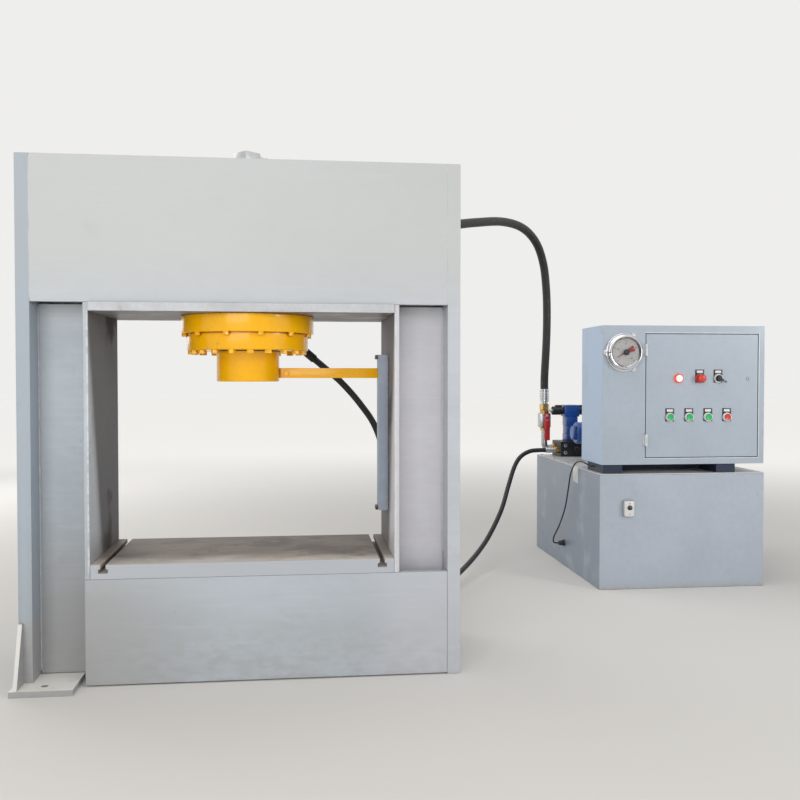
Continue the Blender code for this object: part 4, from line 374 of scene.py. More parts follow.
@dataclass(frozen=True)
class WeldedEnamel(Finish):
    """The frame's enamel, with brown stains round one height, rubbed edges at the opening, sooty dark with
    painted shade on the opening's inner faces, and painted light elsewhere.
    """

    stain: Colour = (0.30, 0.22, 0.16)
    stain_middle: float = 0.43
    stain_reach: float = 0.10
    stain_share: float = 0.25
    soot: Colour = (0.036, 0.026, 0.021)
    soot_share: float = 0.97
    soot_roughness: float = 0.92
    soot_reach: float = 0.09
    front: float = 0.0
    bare: Colour = (0.66, 0.67, 0.68)
    faded: Colour = (0.525, 0.53, 0.515)
    faded_rise: Pair = (1.15, 1.50)
    faded_share: float = 0.75
    wash: Colour = (0.63, 0.615, 0.66)
    wash_reach: Pair = (0.0, 0.0)
    wash_rise: Pair = (1.45, 1.25)
    wash_share: float = 0.30
    soil: Colour = (0.34, 0.335, 0.325)
    soil_reach: Pair = (0.0, 0.0)
    soil_rise: Pair = (0.62, 0.20)
    dull: Colour = (0.33, 0.385, 0.435)
    dull_edge: float = 0.0
    dull_rise: Pair = (0.20, 0.26)
    settled: Colour = (0.97, 0.94, 0.88)
    settled_height: float = 0.03
    gusset_rise: Pair = (0.020, 0.022)
    gusset_share: float = 0.62
    rubbed: float = 0.006
    opening: Pair = (0.0, 0.0)
    opening_rise: Pair = (0.0, 0.0)

    def surface(self, graph: Graph) -> tuple[Socket, Socket]:
        """The enamel with its stains, wear, and painted light and shade.

        Args:
            graph: The material's graph.

        Returns:
            The colour socket and the roughness socket.
        """
        colour, roughness = super().surface(graph)
        x, y, rise = graph.axes()
        colour = self.aged(graph, colour, x, rise)
        inside = graph.within(x, self.opening)
        between = graph.within(rise, self.opening_rise)
        # Sooty near-black on the inner faces between bed and crown, rougher there: this darkness is also
        # painted shade of the opening.
        cloud = graph.band(graph.noise(3.5, 6), 0.2, 0.7, self.soot_share)
        cover = graph.calc("MAXIMUM", cloud, self.soot_share * 0.8)
        wiped = graph.calc("MULTIPLY_ADD", rise, 0.25, graph.calc("SUBTRACT", y, self.front + 0.25))
        cover = graph.times(cover, graph.band(wiped, -self.soot_reach * 0.2, self.soot_reach))
        soot = graph.times(inside, between, cover)
        roughness = graph.calc("MAXIMUM", roughness, graph.times(soot, self.soot_roughness))
        edges = graph.calc(
            "MAXIMUM", graph.band(x, self.opening[0] - self.rubbed, self.opening[0]),
            graph.band(x, self.opening[1] + self.rubbed, self.opening[1]),
        )
        near = graph.calc("MAXIMUM", *(graph.calc("COMPARE", x, side, self.rubbed) for side in self.opening))
        near = graph.times(near, graph.calc("SUBTRACT", 1.0, inside))
        bare = graph.times(graph.band(graph.noise(35, 6), 0.40, 0.56), between, 0.75)
        colour = graph.mix(graph.times(edges, near, bare), colour, self.bare)
        colour = graph.mix(soot, colour, self.soot)
        # Painted highlight: front-facing faces ahead of the columns low down, the gusset and foot edges, take
        # the near-white colour.
        gusset_highlight = graph.times(
            graph.calc("LESS_THAN", y, self.front - self.rubbed),
            graph.band(rise, *self.gusset_rise, self.gusset_share), graph.facing(-1, 1),
        )
        colour = graph.mix(gusset_highlight, colour, self.settled)
        # Up-facing faces near the floor take the near-white colour: pale dust, brightened as painted light.
        settled = graph.times(
            graph.facing(1), graph.band(rise, self.settled_height * 2, self.settled_height),
            graph.band(graph.noise(30, 6), 0.10, 0.40, 0.95),
        )
        return graph.mix(settled, colour, self.settled), roughness

    def aged(self, graph: Graph, colour: Socket, x: Socket, rise: Socket) -> Socket:
        """Adds the stains, the painted warm light on the top, the painted highlight low on the right, the
        darker low left stretch and the dull side plate.

        Args:
            graph: The material's graph.
            colour: The enamel's colour.
            x: The place along X.
            rise: The height.

        Returns:
            The aged colour.
        """
        stained = graph.times(
            graph.band(rise, self.stain_middle - self.stain_reach, self.stain_middle),
            graph.band(rise, self.stain_middle + self.stain_reach, self.stain_middle),
            graph.band(graph.noise(14, 7), 0.50, 0.70), self.stain_share,
        )
        uneven = graph.calc("MULTIPLY_ADD", graph.noise(4, 5), 0.12, x)
        # Painted highlight: a paler tint below the crown, over and right of the right column's inner face.
        pale = graph.band(rise, *self.wash_rise, self.wash_share)
        pale = graph.times(graph.band(uneven, *self.wash_reach), pale)
        # A darker grey towards the bottom on the left.
        low_left = graph.times(graph.band(uneven, *self.soil_reach), graph.band(rise, *self.soil_rise, 0.70))
        dull = graph.times(graph.calc("LESS_THAN", x, self.dull_edge), graph.band(rise, *self.dull_rise), 0.8)
        # The warmer, paler tint on the top is painted light.
        for share, tone in (
            (stained, self.stain), (graph.band(rise, *self.faded_rise, self.faded_share), self.faded),
            (pale, self.wash), (low_left, self.soil), (dull, self.dull),
        ):
            colour = graph.mix(share, colour, tone)
        return colour


@dataclass(frozen=True)
class FlankedEnamel(Finish):
    """Enamel whose left-facing faces take another tone, as painted light and shade on that side."""

    flank: Colour = (0.4, 0.4, 0.4)
    flank_share: float = 0.8

    def surface(self, graph: Graph) -> tuple[Socket, Socket]:
        """The enamel with the painted light and shade on its left side.

        Args:
            graph: The material's graph.

        Returns:
            The colour socket and the roughness socket.
        """
        colour, roughness = super().surface(graph)
        # Painted light and shade: faces towards -X blend into the side tone.
        aged = graph.times(graph.facing(-1, 0), graph.band(graph.noise(5, 6), 0.2, 0.5, self.flank_share))
        return graph.mix(aged, colour, self.flank), roughness


@dataclass(frozen=True)
class SootedPlate(Finish):
    """Enamel on a plate whose down-facing faces are darker brown."""

    underside: Colour = (0.12, 0.085, 0.068)

    def surface(self, graph: Graph) -> tuple[Socket, Socket]:
        """The enamel with its browned underside.

        Args:
            graph: The material's graph.

        Returns:
            The colour socket and the roughness socket.
        """
        colour, roughness = super().surface(graph)
        brown = graph.times(graph.facing(-1), graph.band(graph.noise(5, 6), 0.20, 0.55, 0.9))
        return graph.mix(brown, colour, self.underside), roughness


@dataclass(frozen=True)
class StainedSteel(Finish):
    """The table's top: bare steel, wiped in front, with oil stains, scratches and an enamelled front face."""

    pale: Colour = (0.70, 0.64, 0.57)
    oil: Colour = (0.10, 0.072, 0.056)
    face: Colour = (0.46, 0.485, 0.52)
    front_edge: float = -1.1275
    wiped: float = 0.10

    def surface(self, graph: Graph) -> tuple[Socket, Socket]:
        """The steel with its stains.

        Args:
            graph: The material's graph.

        Returns:
            The colour socket and the roughness socket.
        """
        colour, roughness = super().surface(graph)
        depth = graph.axes()[1]
        edge = graph.calc("MULTIPLY_ADD", graph.noise(7, 5), 0.22, depth)
        start = self.front_edge + self.wiped
        end = start + self.wiped * 1.8
        colour = graph.mix(graph.band(edge, end, start, 0.85), colour, self.pale)
        away = graph.calc("MULTIPLY_ADD", graph.band(edge, start, end), 0.6, 0.2)
        colour = graph.mix(graph.times(graph.band(graph.noise(5.5, 8), 0.50, 0.66), away), colour, self.oil)
        scratch = graph.band(graph.noise(60, 2, (0.15, 2.4, 1)), 0.66, 0.72, 0.35)
        colour = graph.mix(scratch, colour, shade(self.colour, 0.7))
        face = graph.band(depth, self.front_edge + 0.0035, self.front_edge + 0.0020)
        return graph.mix(face, colour, self.face), roughness


@dataclass(frozen=True)
class WrappedHose(Finish):
    """Black hose rubber with the fine weave left by its cure wrapping, and grey scuffs."""

    weave_scale: float = 260.0
    scuff: Colour = (0.16, 0.155, 0.15)

    def build(self) -> bpy.types.Material:
        """The finish as a material."""
        graph = Graph(self.name)
        colour, roughness = self.surface(graph)
        scuffs = graph.band(graph.noise(22, 8), 0.60, 0.74, 0.30)
        graph.look(graph.mix(scuffs, colour, self.scuff), roughness)
        weave = graph.add("ShaderNodeTexVoronoi", distance="MANHATTAN")
        graph.wire(weave.inputs["Vector"], graph.object_place)
        weave.inputs["Scale"].default_value = self.weave_scale
        graph.relief((weave.outputs["Distance"], 0.0006), (graph.noise(900, 2), 0.0001))
        return graph.material


@dataclass(frozen=True)
class LitLens(Finish):
    """A coloured lens with a lamp behind it, brightest at its middle."""

    middle: Point = (0, 0, 0)
    radius: float = 0.02
    glow: Colour = (1.0, 0.09, 0.05)
    core: Colour = (1.0, 0.60, 0.47)
    block: Colour = (0.022, 0.022, 0.024)
    strength: float = 2.6

    def build(self) -> bpy.types.Material:
        """The finish as a material."""
        graph = Graph(self.name)
        colour, roughness = self.surface(graph)
        node = graph.add("ShaderNodeVectorMath", operation="DISTANCE")
        graph.wire(node.inputs[0], graph.object_place)
        node.inputs[1].default_value = self.middle
        away = node.outputs["Value"]
        lit = graph.band(away, self.radius * 1.6, self.radius * 1.2)
        graph.look(graph.mix(lit, self.block, colour), roughness)
        middle = graph.band(away, self.radius * 1.05, self.radius * 0.45)
        graph.feed("Emission Color", graph.mix(middle, self.glow, self.core))
        graph.feed("Emission Strength", graph.times(lit, self.strength))
        graph.relief((graph.noise(320, 2), 0.0002))
        return graph.material


@dataclass(frozen=True)
class ClearGlass(Finish):
    """Thin clear glass with faint smears in its gloss."""

    alpha: float = 0.14

    def build(self) -> bpy.types.Material:
        """The finish as a material."""
        graph = Graph(self.name)
        tint = graph.mix(graph.band(graph.noise(30, 4), 0.3, 0.7), self.colour, shade(self.colour, -0.03))
        graph.look(tint, graph.band(graph.noise(18, 6), 0.45, 0.85, 0.12))
        graph.feed("Alpha", self.alpha)
        graph.relief((graph.noise(60, 2), 0.00005))
        return graph.material


LEFT_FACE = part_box("left_column_box")[1][0]
RIGHT_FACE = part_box("right_column_box")[0][0]
LIGHT_ENAMEL = WeldedEnamel(
    "light_grey_enamel", (0.452, 0.496, 0.540), 0.42, mottle=0.065, streak=0.20, dust_height=0.42,
    dust=(0.34, 0.335, 0.325), stretch=(0.6, 0.6, 1.3), smear_share=0.14, chip_share=0.30,
    opening=(LEFT_FACE - 0.001, RIGHT_FACE + 0.001), front=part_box("left_column_box")[0][1],
    opening_rise=(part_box("bed_box")[1][2] + 0.0005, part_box("crown_bottom_plate")[0][2] + 0.002),
    wash_reach=(RIGHT_FACE - 0.10, RIGHT_FACE + 0.10), soil_reach=(LEFT_FACE + 0.55, LEFT_FACE + 0.05),
    dull_edge=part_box("left_side_plate")[0][0] + 0.0565,
)
# A paler copy of the frame's enamel for the right column: painted light.
LIT_WEB_ENAMEL = replace(
    LIGHT_ENAMEL, name="lit_web_enamel", colour=(0.585, 0.58, 0.607), dust=(0.52, 0.51, 0.50),
)
WELD_ENAMEL = Finish(
    "enamelled_weld", (0.50, 0.52, 0.55), 0.34, mottle=0.10, mottle_scale=30, corner_share=0.5,
    grain_depth=0.0002,
)
# Darker and bluer than the frame enamel that the rail shares: partly painted shade.
RAIL_SHADED_ENAMEL = Finish(
    "rail_shaded_enamel", (0.33, 0.385, 0.475), 0.38, mottle=0.08, mottle_scale=12, corner_share=0.6,
    smear_share=0.25, chip_share=0.45,
)
SOILED_ENAMEL = SootedPlate(
    "soiled_plate_enamel", (0.50, 0.51, 0.535), 0.42, mottle=0.10, mottle_scale=6, smear_share=0.40,
    grime=(0.20, 0.13, 0.09),
)
TABLE_STEEL = StainedSteel(
    "stained_table_steel", (0.20, 0.165, 0.14), 0.55, mottle=0.18, mottle_scale=8, smear_share=0.45,
    grain_depth=0.0002,
)
GOLD_ENAMEL = Finish(
    "golden_enamel", (0.97, 0.475, 0.0), 0.20, mottle=0.05, mottle_scale=7, grime=(0.30, 0.13, 0.01),
    corner_share=0.50, smear_share=0.14, coat=0.25, specular=0.30, chip=(0.22, 0.12, 0.04), chip_share=0.30,
)
# Its left side is painted lighter and bluer: painted light.
DRIVE_ENAMEL = FlankedEnamel(
    "pale_blue_enamel", (0.40, 0.46, 0.53), 0.36, mottle=0.045, streak=0.06, smear_share=0.12,
    chip_share=0.25, coat=0.15, flank=(0.425, 0.565, 0.77),
)
# Much paler than the cabinet's enamel: a painted highlight along the lip.
LIP_HIGHLIGHT_ENAMEL = Finish(
    "rolled_lip_highlight_enamel", (0.66, 0.70, 0.75), 0.30, mottle=0.08, mottle_scale=20, sag_depth=0.0,
    corner_share=0.2,
)
# Its left side is painted darker: painted shade.
TANK_COAT = FlankedEnamel(
    "tank_enamel_coat", (0.425, 0.475, 0.545), 0.38, mottle=0.05, streak=0.06, dust_height=0.05,
    smear_share=0.14, chip_share=0.30, coat=0.10, flank=(0.225, 0.27, 0.34),
)
# Far paler than the tank's coat: painted light from above on the lid.
LID_LIT_COAT = Finish(
    "lid_lit_enamel_coat", (0.66, 0.66, 0.65), 0.36, mottle=0.06, mottle_scale=8, smear_share=0.30,
    chip_share=0.30,
)
BLUE_COAT = Finish(
    "blue_machine_enamel", (0.012, 0.085, 0.36), 0.33, mottle=0.12, mottle_scale=12, corner_share=0.55,
    smear_share=0.30, coat=0.3,
)
BASE_COAT = Finish(
    "dark_blue_base", (0.006, 0.018, 0.055), 0.50, mottle=0.15, mottle_scale=12, corner_share=0.6,
    smear_share=0.35,
)
DARK_COAT = Finish("blackened_iron", (0.035, 0.036, 0.04), 0.42, metallic=0.5, mottle=0.2, mottle_scale=14)
RED_COAT = Finish("red_enamel_coat", (0.55, 0.02, 0.018), 0.32, mottle=0.10, mottle_scale=20, coat=0.3)
ZINC_PLATE = Finish(
    "zinc_plate", (0.60, 0.61, 0.62), 0.30, metallic=1.0, mottle=0.12, mottle_scale=26, sag_depth=0.0001,
)
BRASS_PLATE = Finish(
    "turned_brass", (0.66, 0.44, 0.17), 0.28, metallic=1.0, mottle=0.12, mottle_scale=30, sag_depth=0.0001,
)
STEEL_PLATE = Finish(
    "machined_steel", (0.52, 0.52, 0.53), 0.28, metallic=1.0, mottle=0.10, mottle_scale=24, sag_depth=0.0001,
)
CHROME_PLATE = Finish(
    "chrome_plate", (0.66, 0.67, 0.69), 0.09, metallic=1.0, mottle=0.05, mottle_scale=22, smear_share=0.05,
    corner_share=0.25, grain_depth=0.00001, sag_depth=0.00004, chip_share=0.1,
)
BLACK_MOULDING = Finish(
    "black_moulding", (0.018, 0.018, 0.02), 0.38, mottle=0.2, mottle_scale=30, grain_depth=0.00006,
    corner_share=0.2, sag_depth=0.0001, grime=(0.10, 0.095, 0.09), smear_share=0.12,
)
SEAL_RUBBER = Finish(
    "seal_rubber", (0.012, 0.012, 0.013), 0.62, mottle=0.25, mottle_scale=30, sag_depth=0.0002,
    grime=(0.07, 0.06, 0.05),
)
WHITE_MOULDING = Finish(
    "white_moulding", (0.74, 0.73, 0.72), 0.36, mottle=0.04, mottle_scale=18, sag_depth=0.0001,
    smear_share=0.22, grime=(0.30, 0.22, 0.20),
)
BLANK_FIELD = Finish(
    "blank_legend_field", (0.78, 0.78, 0.79), 0.40, mottle=0.05, mottle_scale=40, sag_depth=0.0,
    smear_share=0.2,
)
GREEN_MOULDING = Finish(
    "green_moulding", (0.012, 0.46, 0.13), 0.28, mottle=0.10, mottle_scale=40, sag_depth=0.0, coat=0.2,
)
RED_MOULDING = Finish(
    "red_moulding", (0.62, 0.035, 0.02), 0.28, mottle=0.10, mottle_scale=40, sag_depth=0.0, coat=0.2,
)
HOSE_RUBBER = WrappedHose("wrapped_hose", (0.012, 0.0125, 0.014), 0.50, mottle=0.2, mottle_scale=14)
CABLE_SHEATH = Finish(
    "cable_sheath", (0.02, 0.02, 0.022), 0.45, mottle=0.2, mottle_scale=40, sag_depth=0.0001,
)
DIAL_PAINT = Finish(
    "dial_paint", (0.82, 0.81, 0.80), 0.42, mottle=0.05, mottle_scale=30, sag_depth=0.0, corner_share=0.12,
    smear_share=0.15, chip_share=0.0,
)
PRINT_BLACK = Finish("dial_print", (0.015, 0.015, 0.016), 0.5, mottle=0.1, mottle_scale=60, sag_depth=0.0)
SHEET_PLATE = Finish(
    "galvanised_sheet", (0.55, 0.56, 0.57), 0.36, metallic=0.9, mottle=0.14, mottle_scale=20,
    sag_depth=0.0002,
)
SWITCHGEAR = Finish(
    "switchgear_moulding", (0.30, 0.31, 0.32), 0.5, mottle=0.1, mottle_scale=20, sag_depth=0.0001,
)
GAUGE_GLASS = ClearGlass("gauge_glass", (0.05, 0.055, 0.055), 0.05)
BEZEL_METAL = Finish(
    "satin_bezel_metal", (0.82, 0.82, 0.81), 0.34, metallic=0.45, mottle=0.08, mottle_scale=40, sag_depth=0.0,
)
HINGE_ENAMEL = Finish(
    "pale_hinge_enamel", (0.66, 0.68, 0.70), 0.36, mottle=0.08, mottle_scale=24, sag_depth=0.0001,
)
SLOTS = {row["node"]: row["material_slot"] for row in frame["record"]["subparts"]}


def clean_normals(mesh: bpy.types.Mesh, angle: float = SHARP_ANGLE) -> None:
    """Shades a mesh smooth up to an angle in degrees."""
    for polygon in mesh.polygons:
        polygon.use_smooth = True
    mesh.set_sharp_from_angle(angle=math.radians(angle))


def link(thing: bpy.types.Object) -> None:
    """Puts an object in the scene."""
    bpy.context.scene.collection.objects.link(thing)


def add_bevel(piece: bpy.types.Object, width: float) -> None:
    """Rounds a piece's sharp edges with a modifier.

    Args:
        piece: The piece.
        width: The width of the rounding.
    """
    bevel = piece.modifiers.new("edges", "BEVEL")
    bevel.width, bevel.segments, bevel.limit_method = width, 2, "ANGLE"
    bevel.angle_limit = math.radians(SHARP_ANGLE)
    bevel.harden_normals = bevel.use_clamp_overlap = True


def body_of(node: str) -> str:
    """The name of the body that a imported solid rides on."""
    parent = frame["nodes"][node].parent
    return next(name for name, empty in frame["bodies"].items() if empty == parent)


def make_piece(
    mesh: bpy.types.Mesh, finish: Finish, body: str, node: str = "", bevel: float = 0.0,
) -> bpy.types.Object:
    """Makes a piece of a mesh, gives it its finish and body, and hides the solid it stands for.

    Args:
        mesh: The mesh, already in place.
        finish: Its finish.
        body: The body's name.
        node: Name of the solid that it stands for, if any.
        bevel: Width of its rounded edges in metres, or zero.

    Returns:
        The piece.
    """
    piece = bpy.data.objects.new(mesh.name, mesh)
    link(piece)
    if bevel:
        add_bevel(piece, bevel)
    mesh.materials.clear()
    mesh.materials.append(finish.material())
    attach(piece, body)
    if node:
        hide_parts(node)
    LOG.info("%s on %s", piece.name, body)
    return piece


def dress_solid(node: str, finish: Finish, bevel: float = 0.0) -> None:
    """Makes a clean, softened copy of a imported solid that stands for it.

    Args:
        node: The solid's name.
        finish: The finish it gets.
        bevel: Width of its rounded edges in metres, or zero.
    """
    shapes = bmesh.new()
    shapes.from_mesh(frame["nodes"][node].data)
    bmesh.ops.remove_doubles(shapes, verts=shapes.verts, dist=WELD_DISTANCE)
    flat = math.radians(FLAT_ANGLE)
    bmesh.ops.dissolve_limit(shapes, angle_limit=flat, verts=shapes.verts, edges=shapes.edges)
    bmesh.ops.recalc_face_normals(shapes, faces=shapes.faces)
    mesh = bpy.data.meshes.new(node + "_dressed")
    shapes.to_mesh(mesh)
    shapes.free()
    clean_normals(mesh)
    make_piece(mesh, finish, body_of(node), node, bevel)


def round_edges(shape: bmesh.types.BMesh, width: float) -> None:
    """Rounds all edges of a small shape.

    Args:
        shape: The shape.
        width: The width of the rounding. Zero leaves the edges sharp.
    """
    if width:
        bmesh.ops.bevel(
            shape, geom=shape.edges[:], offset=width, segments=2, profile=0.5, affect="EDGES",
            clamp_overlap=True,
        )


def middle_of(node: str) -> Point:
    """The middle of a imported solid's box."""
    return tuple((low + high) / 2 for low, high in zip(*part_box(node)))


def spun(place: Point, angle: float, axis: str) -> Matrix:
    """A frame at a place, turned about an axis by an angle in radians."""
    return Matrix.Translation(place) @ Matrix.Rotation(angle, 4, axis)


def around(count: int, radius: float = 1.0, start: float = 0.0) -> list[tuple[float, float, float]]:
    """Even steps round a circle: each one's angle and its two offsets from the middle.

    Args:
        count: Number of steps.
        radius: The circle's radius.
        start: The first one's angle in radians.

    Returns:
        An angle, a cosine offset and a sine offset for each step.
    """
    angles = [start + math.tau * i / count for i in range(count)]
    return [(angle, radius * math.cos(angle), radius * math.sin(angle)) for angle in angles]


def hoop(inner: float, outer: float, low: float, high: float) -> Profile:
    """The closed profile of a flat ring."""
    return [(inner, low), (outer, low), (outer, high), (inner, high), (inner, low)]


def rounded(radius: float, low: float, high: float, edge: float) -> Profile:
    """The profile of a solid round with both edges chamfered."""
    return [
        (0, low), (radius - edge, low), (radius, low + edge), (radius, high - edge), (radius - edge, high),
        (0, high),
    ]


def cupped(radius: float, bore: float, base: float, top: float, floor: float) -> Profile:
    """The profile of a round head with a socket sunk into it."""
    return [(0, base), (radius, base), (radius, top), (bore, top), (bore, floor), (0, floor)]


class Shaper:
    """Gathers shapes into one mesh, which becomes one piece."""

    def __init__(self, name: str) -> None:
        """Starts an empty mesh for the named piece."""
        self.name = name
        self.shapes = bmesh.new()

    def absorb(self, other: bmesh.types.BMesh, place: Matrix) -> "Shaper":
        """Adds another mesh at a place.

        Args:
            other: The mesh, which is freed.
            place: The matrix that puts it there.

        Returns:
            This shaper.
        """
        bmesh.ops.recalc_face_normals(other, faces=other.faces)
        other.transform(place)
        mesh = bpy.data.meshes.new("part")
        other.to_mesh(mesh)
        other.free()
        self.shapes.from_mesh(mesh)
        bpy.data.meshes.remove(mesh)
        return self

    def block(self, low: Point, high: Point, bevel: float = 0.0, turn: Optional[Matrix] = None) -> "Shaper":
        """Adds a box with rounded edges.

        Args:
            low: Its lowest corner.
            high: Its highest corner.
            bevel: Width of its rounded edges.
            turn: A matrix applied after the corners are set.

        Returns:
            This shaper.
        """
        shape = bmesh.new()
        size = Vector(high) - Vector(low)
        middle = (Vector(high) + Vector(low)) / 2
        bmesh.ops.create_cube(shape, size=1, matrix=Matrix.Translation(middle) @ Matrix.Diagonal((*size, 1)))
        round_edges(shape, bevel)
        return self.absorb(shape, turn or Matrix.Identity(4))

    def turned(
        self, profile: Profile, place: Point, facing: Facing = Facing.UP, steps: int = 64, spin: float = 0.0,
        tilt: Optional[Matrix] = None,
    ) -> "Shaper":
        """Adds a turned shape.

        Args:
            profile: Pairs of a radius and a distance along the axis.
            place: Where the axis starts.
            facing: The axis's direction.
            steps: Facets round it.
            spin: Turn about the axis, in radians.
            tilt: A rotation used in place of the facing.

        Returns:
            This shaper.
        """
        shape = bmesh.new()
        rings = []
        for radius, along in profile:
            offsets = around(steps, radius, spin) if radius > AXIS_REACH else [(0, 0, 0)]
            rings.append([shape.verts.new((x, y, along)) for _, x, y in offsets])
        for first, second in zip(rings, rings[1:]):
            for i in range(steps):
                near, far = i, (i + 1) % steps
                ends = first[near % len(first)], first[far % len(first)]
                corners = dict.fromkeys((*ends, second[far % len(second)], second[near % len(second)]))
                if len(corners) > 2:
                    shape.faces.new(corners)
        bmesh.ops.remove_doubles(shape, verts=shape.verts, dist=SEAM_DISTANCE)
        return self.absorb(shape, Matrix.Translation(place) @ (tilt or facing.turn()))

    def stud(
        self, radius: float, height: float, place: Point, facing: Facing, steps: int,
        top: Optional[float] = None, sunk: float = 0.0,
    ) -> "Shaper":
        """Adds a plain or tapered round, such as a washer or a screw head.

        Args:
            radius: Its radius.
            height: How far it stands out of its seat.
            place: The middle of its seat.
            facing: The direction it points along.
            steps: Facets round it.
            top: Its radius at the top, where that is another.
            sunk: How far it reaches under its seat.

        Returns:
            This shaper.
        """
        crown = radius if top is None else top
        return self.turned([(0, -sunk), (radius, -sunk), (crown, height), (0, height)], place, facing, steps)

    def prism(self, outline: Profile, depth: float, place: Matrix, bevel: float = 0.0) -> "Shaper":
        """Adds a flat outline raised along its own Z axis.

        Args:
            outline: Corner pairs, in order.
            depth: How far it is raised.
            place: The matrix that puts it there.
            bevel: Width of its rounded edges.

        Returns:
            This shaper.
        """
        shape = bmesh.new()
        face = shape.faces.new([shape.verts.new((x, y, 0)) for x, y in outline])
        for part in bmesh.ops.extrude_face_region(shape, geom=[face])["geom"]:
            if isinstance(part, bmesh.types.BMVert):
                part.co.z += depth
        round_edges(shape, bevel)
        return self.absorb(shape, place)

    def hexagon(
        self, flats: float, height: float, place: Point, facing: Facing, spin: float = 0.0,
        tilt: Optional[Matrix] = None,
    ) -> "Shaper":
        """Adds a chamfered hexagon head or nut.

        Args:
            flats: Distance across the flats.
            height: Its height.
            place: The middle of its seat.
            facing: The direction it points along.
            spin: Turn about its axis, in radians.
            tilt: A rotation used in place of the facing.

        Returns:
            This shaper.
        """
        radius = flats / math.sqrt(3)
        edge = flats * 0.05
        ring = [(0, 0), (radius, 0), (radius, height - edge), (radius - edge * 1.6, height), (0, height)]
        return self.turned(ring, place, facing, 6, spin, tilt)

    def sweep(self, path: Sequence[Vector], radii: Sequence[float], sides: int = 8) -> "Shaper":
        """Adds a round bar with closed ends along a path.

        Args:
            path: Its points.
            radii: Its radius at each point.
            sides: Facets round it.

        Returns:
            This shaper.
        """
        shape = bmesh.new()
        rings = []
        across = (path[1] - path[0]).orthogonal()
        for i, (point, radius) in enumerate(zip(path, radii)):
            along = (path[min(i + 1, len(path) - 1)] - path[max(i - 1, 0)]).normalized()
            across = (across - along * across.dot(along)).normalized()
            other = along.cross(across)
            offsets = around(sides, radius)
            rings.append([shape.verts.new(point + x * across + y * other) for _, x, y in offsets])
        for first, second in zip(rings, rings[1:]):
            for k in range(sides):
                m = (k + 1) % sides
                shape.faces.new((first[k], first[m], second[m], second[k]))
        shape.faces.new(rings[0])
        shape.faces.new(rings[-1])
        return self.absorb(shape, Matrix.Identity(4))

    def mesh(self, angle: float) -> bpy.types.Mesh:
        """Ends the gathering.

        Args:
            angle: The smoothing angle in degrees.

        Returns:
            The gathered shapes as one mesh.
        """
        mesh = bpy.data.meshes.new(self.name)
        self.shapes.to_mesh(mesh)
        self.shapes.free()
        clean_normals(mesh, angle)
        return mesh

    def emit(self, finish: Finish, slot: str, body: Body = Body.ROOT, angle: float = SHARP_ANGLE) -> None:
        """Turns the gathered shapes into a piece of its own.

        Args:
            finish: Its finish.
            slot: Not used.
            body: The body that it rides on.
            angle: The smoothing angle in degrees.
        """
        make_piece(self.mesh(angle), finish, body.value)

    def stand_for(self, finish: Finish, node: str, angle: float = SHARP_ANGLE) -> bpy.types.Object:
        """Turns the gathered shapes into the piece that stands for a solid, with its body.

        Args:
            finish: Its finish.
            node: The solid's name.
            angle: The smoothing angle in degrees.

        Returns:
            The piece.
        """
        return make_piece(self.mesh(angle), finish, body_of(node), node)


